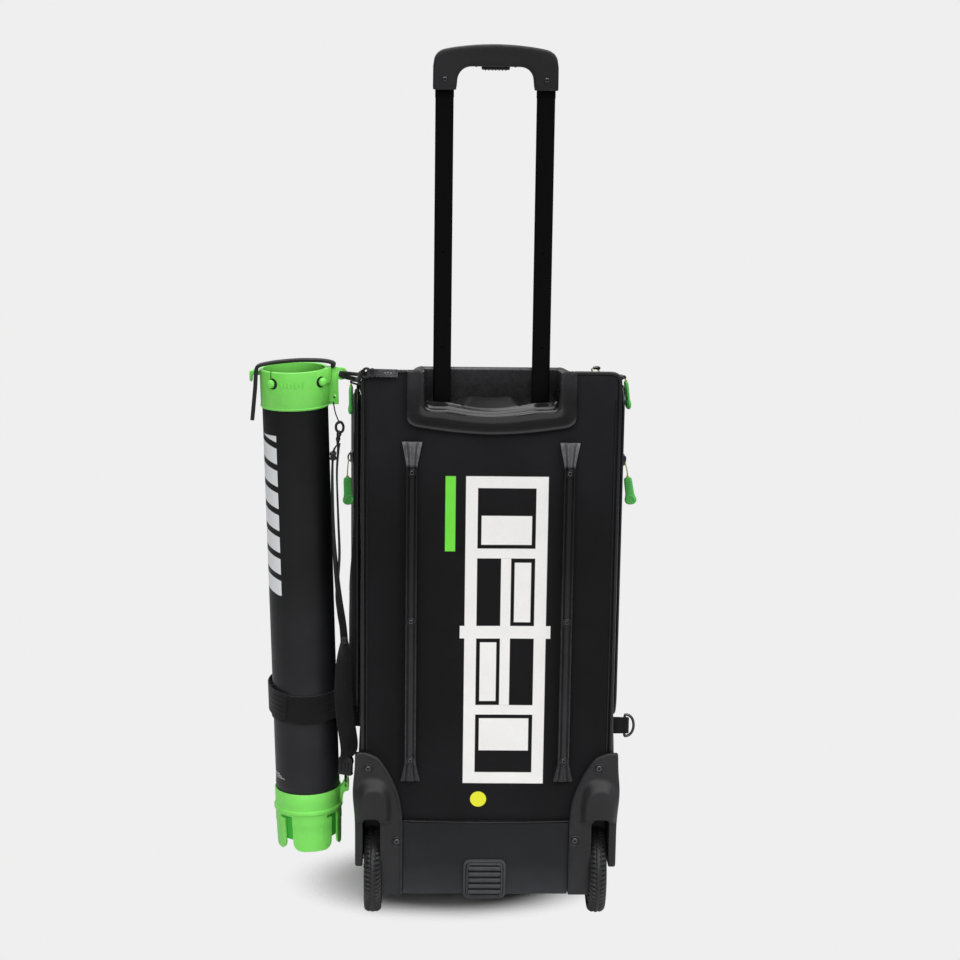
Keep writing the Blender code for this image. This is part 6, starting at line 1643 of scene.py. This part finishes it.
# ================================================================== padded pieces, blown up as cloth
def side_pockets():
    line = rounded([(-0.1260, 0.270, 0.033), (0.116, 0.270, 0.033), (0.116, 0.6540, 0.033), (-0.1260, 0.7155, 0.024)], 6)
    block_shape = prism("YZ", line, -0.1768, -0.1658, 0.0040, 3)

    def keep(p, r):
        p.x = min(p.x, -0.1652)
        return p

    pad = puff(block_shape, voxel=0.0055, pressure=3.2, cap=0.0042, keep=keep)

    def crease(q):
        """Shallow gathers beside the seams and a slack, uneven face."""
        y, z = q[1], q[2]
        e = min(abs(y + 0.126), abs(y - 0.116), abs(z - 0.270), abs(z - 0.680))
        f = 0.0005 * math.exp(-e / 0.025) * math.sin(z * 120 + 2.0 * wob(0, y, z, 10.0)) + 0.0008 * wob(0, y, z, 8.0, 2.0) + 0.0003 * wob(0, y, z, 24.0, 5.0)
        return (q[0] + (f if q[0] < -0.1690 else 0.0), y, z)

    def room(hand, y, z):
        """How far out a pocket may reach: it lies flatter towards the trolley side."""
        t = max(0.0, min(1.0, (y + 0.082) / 0.070))
        t = t * t * (3 - 2 * t)
        if hand < 0:
            return 0.1698 + 0.0094 * t
        low = max(0.0, min(1.0, (0.54 - z) / 0.14))
        t = max(t, low * low * (3 - 2 * low))
        return 0.1738 + 0.0074 * t

    def slim(q, hand):
        most = room(hand, q[1], q[2])
        return (-min(-q[0], most - 0.0006 + (0.00016 if -q[0] > most else 0.0) * wob(0, q[1], q[2], 12.0)), q[1], q[2])

    pad = relax(pad, 14)
    pad = ([crease(q) for q in pad[0]], pad[1])
    for hand, s in (("left", 1), ("right", -1)):
        shape = ([slim(q, 1) for q in pad[0]], pad[1]) if s == 1 else mirror_x(([slim(q, -1) for q in pad[0]], pad[1]))
        obj = make("pocket_" + hand, shape, FABRIC_SIDE, "bag", replaces=("side_pocket_" + hand,), smooth=60)
        face = -0.1784 if s == 1 else -0.1728
        geo = Geo()
        edge = outline3(line, "YZ", -0.1688 if s == 1 else -0.1676)
        geo.add(pipe([(s * p[0], p[1], p[2]) for p in edge], 0.0019, 10, closed=True), 0)
        # the pocket's zip runs down near its rear edge
        track = []
        for k in range(21):
            z = 0.3100 + 0.3350 * k / 20
            track.append((-min(0.1780 + 0.0010 * math.sin(math.pi * k / 20), room(1, -0.1000, z) - 0.0002) if s == 1 else room(-1, -0.1000, z) - 0.0002, -0.1000, z))
        tape, teeth = zipper(track, (-s, 0, 0))
        geo.add(tape, 1)
        geo.add(teeth, 2)
        for yy in (-0.1080, -0.0920):
            geo.add(stitches([(p[0] - s * 0.0002, yy, p[2]) for p in track], (-s, 0, 0)), 0)
        make("pocket_trim_" + hand, geo, [PIPING, WEBBING_OBJ, BLACK_PLASTIC], "bag")
    # small tape loops and sliders that the pulls hang from
    geo = Geo()
    for s, y, z, x in ((-1, -0.1120, 0.7130, 0.1775), (1, -0.0950, 0.7190, 0.1716)):
        tape = smooth_path([(s * 0.1560, y, z - 0.0040), (s * 0.1630, y, z - 0.0004), (s * (x - 0.0040), y, z + 0.0012), (s * (x - 0.0004), y, z + 0.0012), (s * (x + 0.0008), y, z + 0.0001), (s * (x - 0.0004), y, z - 0.0010), (s * (x - 0.0044), y, z - 0.0022), (s * 0.1630, y, z - 0.0056), (s * 0.1580, y, z - 0.0110)], 5)
        geo.add(ribbon(tape, (0, 1, 0), 0.0080, 0.0011), 0)
        geo.add(block((s * 0.1660 - 0.0028, s * 0.1660 + 0.0028), (y - 0.0052, y + 0.0052), (z - 0.0032, z + 0.0026), 0.0010, 3), 1)
    for s, y, z, x, end in ((-1, -0.1000, 0.6100, 0.1766, 0.1816), (1, -0.1000, 0.6080, 0.1712, 0.1746)):
        geo.add(block((s * x - 0.0024, s * x + 0.0024), (y - 0.0050, y + 0.0050), (z - 0.0030, z + 0.0110), 0.0012, 3), 1)
        geo.add(pipe(smooth_path([(s * (x + 0.0012), y, z + 0.0088), (s * (x + 0.0032), y, z + 0.0076), (s * end, y, z + 0.0036), (s * (end - 0.0006), y, z - 0.0004), (s * (x + 0.0030), y, z - 0.0014), (s * (x + 0.0012), y, z - 0.0010)], 5), 0.0010, 8), 1)
    # slider of the lid's zip, parked at the rear right corner with a loop of cord through it
    zt = top_z(-0.0700)
    geo.add(block((0.1405, 0.1500), (-0.0760, -0.0660), (zt - 0.0004, zt + 0.0042), 0.0012, 3), 1)
    loop = smooth_path([(0.1440, -0.0720, zt + 0.0036), (0.1400, -0.0760, zt + 0.0100), (0.1345, -0.0800, zt + 0.0148), (0.1300, -0.0800, zt + 0.0138), (0.1320, -0.0760, zt + 0.0090), (0.1400, -0.0700, zt + 0.0040)], 5)
    geo.add(pipe(loop, 0.0009, 8), 2)
    geo.add(pipe(smooth_path([(0.1400, -0.0775, zt + 0.0142), (0.1360, -0.0800, zt + 0.0158), (0.1320, -0.0812, zt + 0.0150)], 5), 0.0021, 10), 1)
    make("zip_sliders", geo, [WEBBING, DARK_STEEL, CORD_YELLOW], "bag")


side_pockets()


def lid():
    y0, y1, th = -0.0735, 0.1340, 0.0072
    ang = math.atan(SLOPE)
    lie = Matrix.Translation((0, y0, top_z(y0) + 0.0007)) @ Matrix.Rotation(-ang, 4, "X") @ Matrix.Translation((0, -y0, 0))
    line = rect(-0.1400, 0.1400, y0 + 0.0010, y1 - 0.0010, 0.022, 6)
    flat = prism("XY", line, 0.0006, th - 0.0010, 0.0020, 2)

    def keep(p, r):
        p.z = max(p.z, -0.0002)
        p.z = min(p.z, th + 0.0012)
        return p

    pad = puff(flat, voxel=0.0045, pressure=2.0, cap=0.0020, keep=keep)
    pad = ([(a, b, c + (0.0005 * wob(a, b, 0, 16.0) if c > 0.004 else 0.0)) for a, b, c in pad[0]], pad[1])
    obj = make("lid_pad", moved(pad, lie), FABRIC, "lid", replaces=("top_lid",), smooth=60)
    geo = Geo()
    edge = outline3(rect(-0.1389, 0.1389, y0 + 0.0021, y1 - 0.0021, 0.0209, 6), "XY", 0.0040)
    geo.add(moved(pipe(edge, 0.0023, 10, closed=True), lie), 0)
    row = outline3(rect(-0.1330, 0.1330, y0 + 0.008, y1 - 0.008, 0.017, 6), "XY", th + 0.0006)
    geo.add(moved(stitches(row, (0, 0, 1), closed=True), lie), 0)
    # pull tab at the front edge, low enough to stay under the back panel's line of sight
    tab = [(0.0, y1 - 0.026, th + 0.0008), (0.0, y1 - 0.010, th + 0.0014), (0.0, y1 + 0.004, th - 0.0002), (0.0, y1 + 0.009, th - 0.0048)]
    geo.add(moved(ribbon(smooth_path(tab, 6), (1, 0, 0), 0.0240, 0.0016), lie), 1)
    for d in (-0.009, 0.009):
        geo.add(moved(stitches([(d, y1 - 0.025, th + 0.0020), (d, y1 - 0.011, th + 0.0024)], (0, 0, 1)), lie), 0)
    make("lid_trim", geo, [PIPING, WEBBING], "lid")
    # the zip on the body, round three sides of the lid
    half = [(-0.1455, y0 + 0.006 + 0.0181 * k) for k in range(10)] + [(-0.1455, y1 - 0.0220), (-0.1450, y1 - 0.0120), (-0.1418, y1 - 0.0040), (-0.1350, y1 + 0.0022), (-0.1250, y1 + 0.0045)]
    half += [(-0.1250 + 0.0139 * k, y1 + 0.0045) for k in range(1, 9)]
    path = half + [(0.0, y1 + 0.0045)] + [(-a, b) for a, b in reversed(half)]
    line3 = [(p.x, p.y, top_z(p.y) + 0.0002 - (R - math.sqrt(max(0.0, R * R - max(0.0, p.y - FRONT + R) ** 2)))) for p in smooth_path([(a, b, 0) for a, b in path], 3)]
    tape, teeth = zipper(line3, (0, math.sin(ang), math.cos(ang)), tape=0.0082)
    geo = Geo().add(tape, 0).add(teeth, 1)
    geo.add(block((-0.1500, -0.1410), (y0 + 0.0010, y0 + 0.0125), (top_z(y0) - 0.0004, top_z(y0) + 0.0036), 0.0012, 3), 2)
    make("lid_zip", geo, [WEBBING_OBJ, BLACK_PLASTIC, DARK_STEEL], "bag")


lid()


def flap():
    line = rect(-0.1360, 0.1360, 0.2230, 0.6120, 0.022, 6)
    flat = prism("XZ", line, 0.1510, 0.1574, 0.0020, 2)

    def keep(p, r):
        p.y = max(0.1506, min(p.y, 0.1588))
        return p

    pad = puff(flat, voxel=0.0050, pressure=2.4, cap=0.0022, keep=keep)
    pad = ([(a, b + (0.0006 * wob(a, 0, c, 12.0) if b > 0.154 else 0.0), c) for a, b, c in pad[0]], pad[1])
    obj = make("flap_pad", pad, FABRIC, "flap", replaces=("front_flap",), smooth=60)
    pocket_line = rect(-0.1100, 0.1100, 0.2640, 0.4780, 0.024, 6)
    block_shape = prism("XZ", pocket_line, 0.1588, 0.1690, 0.0050, 3)

    def keep2(p, r):
        p.y = max(0.1585, min(p.y, 0.1735))
        return p

    bulge = puff(block_shape, voxel=0.0055, pressure=4.0, cap=0.0055, keep=keep2)
    bulge = ([(a, b + (0.0010 * wob(a, 0, c, 15.0, 7.0) + 0.0006 * math.sin(a * 190 + 3 * wob(a, 0, c, 9.0)) * math.exp(-min(abs(c - 0.264), abs(c - 0.478)) / 0.02) if b > 0.163 else 0.0), c) for a, b, c in bulge[0]], bulge[1])
    obj = make("flap_pocket_pad", bulge, FABRIC_SIDE, "flap", replaces=("flap_pocket",), smooth=60)
    geo = Geo()
    geo.add(pipe(outline3(line, "XZ", 0.1545), 0.0020, 10, closed=True), 0)
    geo.add(pipe(outline3(pocket_line, "XZ", 0.1612), 0.0019, 10, closed=True), 0)
    geo.add(stitches(outline3(rect(-0.1290, 0.1290, 0.2300, 0.6050, 0.017, 6), "XZ", 0.1592), (0, 1, 0), closed=True), 0)
    tape, teeth = zipper([(-0.0960, 0.1716, 0.4560), (-0.05, 0.1728, 0.4575), (0.0, 0.1733, 0.4580), (0.05, 0.1728, 0.4575), (0.0960, 0.1716, 0.4560)], (0, 1, 0))
    geo.add(tape, 1)
    geo.add(teeth, 2)
    # handle tab sewn on the opening side, and a plain woven patch with three bars
    tab = smooth_path([(0.1180, 0.1588, 0.4175), (0.1290, 0.1606, 0.4175), (0.1400, 0.1596, 0.4175), (0.1440, 0.1560, 0.4175)], 6)
    geo.add(ribbon(tab, (0, 0, 1), 0.0260, 0.0016), 3)
    geo.add(block((-0.0330, 0.0330), (0.1584, 0.1596), (0.5300, 0.5660), 0.0005, 2), 3)
    for k in range(3):
        geo.add(block((-0.0240, 0.0240 - 0.012 * k), (0.1594, 0.1600), (0.5545 - 0.0085 * k, 0.5580 - 0.0085 * k), 0.0003, 1), 4)
    make("flap_trim", geo, [PIPING, WEBBING_OBJ, BLACK_PLASTIC, WEBBING, GREEN], "flap")
    # zip on the body round the flap's three free sides, and a webbing lift handle under it
    path = smooth_path([(-0.1300, 0, 0.6190), (0.1280, 0, 0.6190), (0.1400, 0, 0.6140), (0.1440, 0, 0.6020), (0.1440, 0, 0.2330), (0.1400, 0, 0.2210), (0.1280, 0, 0.2160), (-0.1300, 0, 0.2160)], 10)
    tape, teeth = zipper([(p.x, 0.1502, p.z) for p in path], (0, 1, 0), tape=0.0080)
    geo = Geo().add(tape, 0).add(teeth, 1)
    make("flap_zip", geo, [WEBBING_OBJ, BLACK_PLASTIC], "bag")
    geo = Geo()
    loop = smooth_path([(-0.0760, 0.1508, 0.1760), (-0.0620, 0.1516, 0.1760), (-0.0520, 0.1560, 0.1752), (-0.0300, 0.1668, 0.1740), (0.0, 0.1700, 0.1735), (0.0300, 0.1668, 0.1740), (0.0520, 0.1560, 0.1752), (0.0620, 0.1516, 0.1760), (0.0760, 0.1508, 0.1760)], 7)
    geo.add(ribbon(loop, (0, 0, 1), 0.0250, 0.0022), 0)
    for s in (-1, 1):
        for z in (0.1660, 0.1860):
            geo.add(stitches([(s * 0.0740, 0.1524, z), (s * 0.0640, 0.1524, z)], (0, 1, 0)), 1)
        geo.add(stitches([(s * 0.0740, 0.1524, 0.1660), (s * 0.0740, 0.1524, 0.1860)], (0, 1, 0)), 1)
        geo.add(stitches([(s * 0.0640, 0.1524, 0.1860), (s * 0.0740, 0.1524, 0.1660)], (0, 1, 0)), 1)
    sleeve = [(p.x, p.y, p.z) for p in loop if abs(p.x) < 0.040]
    geo.add(ribbon(sleeve, (0, 0, 1), 0.0290, 0.0050), 2)
    make("front_lift_handle", geo, [WEBBING, PIPING, FOOT_RUBBER], "bag")


flap()


# ================================================================== launcher inside the bag and other carried-over CAD nodes
FINISH = {
    "base_tray": CHARCOAL, "front_foot_left": FOOT_RUBBER, "front_foot_right": FOOT_RUBBER,
    "trolley_channel_left": STEEL, "trolley_channel_right": STEEL, "trolley_tube_left": ANODISED, "trolley_tube_right": ANODISED,
    "axle_left": STEEL, "axle_right": STEEL, "launcher_frame": GREY_PLASTIC, "front_fascia": BLACK_PLASTIC, "hopper_funnel": GREY_PLASTIC,
    "feed_rotor": GREEN, "feed_motor": DARK_STEEL, "battery_pack": BATTERY, "control_board": BOARD, "head_frame": BLACK_PLASTIC,
    "throw_motor_left": DARK_STEEL, "throw_motor_right": DARK_STEEL, "throw_wheel_left": FOAM, "throw_wheel_right": FOAM,
    "speed_knob": GREEN, "frequency_knob": GREEN, "elevation_knob": GREEN, "power_button": GREEN,
}
for node, look in FINISH.items():
    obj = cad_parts[node]
    for i in range(max(1, len(obj.material_slots))):
        if obj.material_slots:
            obj.material_slots[i].material = look
        else:
            obj.data.materials.append(look)


def fascia_details():
    """Dial scales, bezels, screws and a printed power mark on the control panel, with a raised frame round the ball
    window, a socket cover and vents.
    """
    geo = Geo()
    for x, z, r in ((-0.070, 0.530, 0.0170), (0.070, 0.530, 0.0170), (0.0950, 0.3500, 0.0140)):
        geo.add(moved(lathe([(r + 0.0010, 0.0), (r + 0.0010, 0.0010), (r + 0.0018, 0.0014), (r + 0.0030, 0.0010), (r + 0.0034, 0.0)], 56, ring=True), at(x, 0.1315, z, "Y")), 0)
        for k in range(11):
            a = math.radians(225 - 27 * k)
            c, s = math.cos(a), math.sin(a)
            inner, outer = r + 0.0050, r + (0.0090 if k % 5 == 0 else 0.0074)
            geo.add(pipe([(x - inner * c, 0.1317, z + inner * s), (x - outer * c, 0.1317, z + outer * s)], 0.0006, 6), 1)
    geo.add(moved(lathe([(0.0098, 0.0), (0.0098, 0.0012), (0.0108, 0.0018), (0.0126, 0.0014), (0.0132, 0.0)], 48, ring=True), at(0, 0.1315, 0.530, "Y")), 0)
    ring = [(0.0030 * math.sin(math.radians(a)), 0.1317, 0.5030 + 0.0030 * math.cos(math.radians(a))) for a in range(35, 326, 15)]
    geo.add(pipe(ring, 0.0005, 6), 1)
    geo.add(pipe([(0, 0.1317, 0.5030), (0, 0.1317, 0.5064)], 0.0005, 6), 1)
    for x in (-0.130, 0.130):
        for z in (0.1740, 0.3900, 0.6000):
            geo.add(screw(x, 0.1315, z, axis="Y", r=0.0036, turn=x + z), 2)
    # raised frame round the ball window
    win = rect(-0.0530, 0.0530, 0.2570, 0.4480, 0.022, 6)
    geo.add(pipe(outline3(win, "XZ", 0.1318, 0.004), 0.0016, 8, closed=True), 0)
    # socket cover and a row of vents low on the panel
    geo.add(block((-0.1180, -0.0780), (0.1313, 0.1350), (0.1900, 0.2240), 0.0016, 3), 3)
    for k in range(7):
        geo.add(block((0.0560 + 0.0085 * k, 0.0600 + 0.0085 * k), (0.1313, 0.1326), (0.1860, 0.2260), 0.0006, 2), 0)
    make("fascia_details", geo, [CHARCOAL, PRINT_WHITE, DARK_STEEL, FOOT_RUBBER], "bag")


fascia_details()


def head_details():
    geo = Geo()
    for s in (-1, 1):
        x = s * 0.0845
        for k in range(4):
            a = math.radians(45 + 90 * k)
            geo.add(screw(x + 0.0160 * math.cos(a), 0.045 + 0.0160 * math.sin(a), 0.2700, axis="Z", r=0.0024, h=0.0010, turn=a), 1)
        # motor leads, tied down on the deck
        lead = smooth_path([(x, 0.0225, 0.2050), (x * 0.96, 0.0150, 0.2080), (x * 0.90, 0.0100, 0.2300), (x * 0.85, 0.0080, 0.2500), (x * 0.80, 0.0090, 0.2632)], 6)
        for d, m in ((-0.0016, 2), (0.0016, 3)):
            geo.add(pipe([(p.x + d, p.y, p.z) for p in lead], 0.0011, 8), m)
    make("head_details", geo, [BLACK_PLASTIC, STEEL, FOOT_RUBBER, LEAD_RED], "head")
    geo = Geo()
    # battery straps and its handle
    for x in (-0.045, 0.045):
        strap = smooth_path([(x, -0.0310, 0.0440), (x, -0.0312, 0.1000), (x, -0.0290, 0.1140), (x, 0.0, 0.1146), (x, 0.060, 0.1146), (x, 0.0890, 0.1140), (x, 0.0912, 0.1000), (x, 0.0910, 0.0440)], 5)
        geo.add(ribbon(strap, (1, 0, 0), 0.0200, 0.0014), 0)
        geo.add(block((x - 0.0125, x + 0.0125), (0.0220, 0.0360), (0.1142, 0.1182), 0.0012, 3), 1)
    make("battery_straps", geo, [WEBBING, BLACK_PLASTIC], "bag")


LEAD_RED = moulded("lead_red", (0.36, 0.020, 0.018), rough=0.5, grain=0.0002, wear=0.0)
head_details()


def tray_details():
    """Ribs and a rolled lip on the moulded base, and the front feet's collars."""
    geo = Geo()
    half = [(-0.1622, -0.0455)] + [(-0.1622, -0.0455 + 0.0172 * k) for k in range(1, 10)] + [(-0.1622, 0.1180), (-0.1616, 0.1285), (-0.1580, 0.1385), (-0.1505, 0.1447), (-0.1410, 0.1467)]
    half += [(-0.1410 + 0.0141 * k, 0.1467) for k in range(1, 10)]
    lip = half + [(0.0, 0.1467)] + [(-a, b) for a, b in reversed(half)]
    for z, r in ((0.1362, 0.0013), (0.0420, 0.0012)):
        geo.add(pipe([(p.x, p.y, z) for p in smooth_path([(a, b, 0) for a, b in lip], 8)], r, 8), 0)
    for s in (-1, 1):
        for k in range(9):
            y = -0.0250 + 0.0180 * k
            if y > 0.118:
                continue
            geo.add(pipe([(s * 0.1622, y, 0.0520), (s * 0.1628, y, 0.0560), (s * 0.1628, y, 0.1200), (s * 0.1622, y, 0.1240)], 0.0016, 8), 0)
        geo.add(moved(lathe([(0.0228, 0.0372), (0.0262, 0.0372), (0.0262, 0.0340), (0.0248, 0.0326), (0.0228, 0.0326)], 48, ring=True), Matrix.Translation((s * 0.120, 0.112, 0))), 0)
    for k in range(13):
        x = -0.1080 + 0.0180 * k
        geo.add(pipe([(x, 0.1467, 0.0520), (x, 0.1473, 0.0560), (x, 0.1473, 0.1200), (x, 0.1467, 0.1240)], 0.0016, 8), 0)
    make("base_ribs", geo, CHARCOAL, "bag")


tray_details()


# ================================================================== floor, light and the closing line
def stage():
    rows = []
    for r in (0.0, 0.35, 0.7, 1.1, 1.6, 2.2, 2.6, 2.9):
        rows.append([(max(r, 1e-4) * math.cos(2 * math.pi * k / 96), max(r, 1e-4) * math.sin(2 * math.pi * k / 96), 0.0) for k in range(96)])
    mesh = bpy.data.meshes.new("studio_floor")
    v, f = grid(rows, cu=True)
    mesh.from_pydata(v, [], f)
    floor = bpy.data.objects.new("studio_floor", mesh)
    bpy.context.scene.collection.objects.link(floor)
    n = Look("studio_floor_look")
    x, y, z = n.axes()
    rad = n.math("SQRT", n.math("ADD", n.math("MULTIPLY", x, x), n.math("MULTIPLY", y, y)))
    fade = n.span(rad, 1.7, 2.8, 1.0, 0.0)
    # seen directly, the floor keeps only the pool of contact shadow round the base; the plain studio ground stands for the rest
    px, py = n.math("DIVIDE", n.math("SUBTRACT", x, FX - 0.050), 0.230), n.math("DIVIDE", n.math("SUBTRACT", y, FY - 0.020), 0.150)
    pool = n.span(n.math("SQRT", n.math("ADD", n.math("MULTIPLY", px, px), n.math("MULTIPLY", py, py))), 0.52, 1.0, 1.0, 0.0)
    ray = n.node("ShaderNodeLightPath").outputs["Is Camera Ray"]
    fade = n.math("MINIMUM", fade, n.math("MAXIMUM", pool, n.math("SUBTRACT", 1.0, ray)))
    n.set(Base_Color=(FLOOR, FLOOR, FLOOR, 1.0), Roughness=1.0, Specular_IOR_Level=0.0, Alpha=fade)
    mesh.materials.append(n.mat)

    world = bpy.data.worlds.new("studio")
    bpy.context.scene.world = world
    world.use_nodes = True
    t = world.node_tree
    t.nodes.clear()
    out = t.nodes.new("ShaderNodeOutputWorld")
    seen, felt = t.nodes.new("ShaderNodeBackground"), t.nodes.new("ShaderNodeBackground")
    seen.inputs[0].default_value = (0.863, 0.863, 0.863, 1.0)
    felt.inputs[0].default_value = (1.0, 1.0, 1.0, 1.0)
    felt.inputs[1].default_value = AMBIENT
    path = t.nodes.new("ShaderNodeLightPath")
    mix = t.nodes.new("ShaderNodeMixShader")
    t.links.new(path.outputs["Is Camera Ray"], mix.inputs[0])
    t.links.new(felt.outputs[0], mix.inputs[1])
    t.links.new(seen.outputs[0], mix.inputs[2])
    t.links.new(mix.outputs[0], out.inputs[0])

    def sun(name, towards, power, angle):
        data = bpy.data.lights.new(name, "SUN")
        data.energy, data.angle = power, math.radians(angle)
        obj = bpy.data.objects.new(name, data)
        bpy.context.scene.collection.objects.link(obj)
        obj.rotation_euler = Vector(towards).to_track_quat("Z", "Y").to_euler()

    for s in SUNS:
        sun(*s)
    bpy.context.scene.view_settings.view_transform = "Standard"
    bpy.context.scene.view_settings.look = "None"
    bpy.context.scene.view_settings.exposure = 0.0
    bpy.context.scene.view_settings.gamma = 1.0


FLOOR, AMBIENT = 0.585, 0.15
SUNS = [
    ("key_left", (-0.25, -0.90, 0.70), 1.35, 40.0),
    ("key_right", (0.70, -0.55, 0.80), 1.45, 45.0),
    ("top", (0.15, 0.10, 1.0), 2.05, 60.0),
    ("back", (-0.30, 0.95, 0.60), 0.90, 45.0),
]
stage()
bpy.context.view_layer.update()
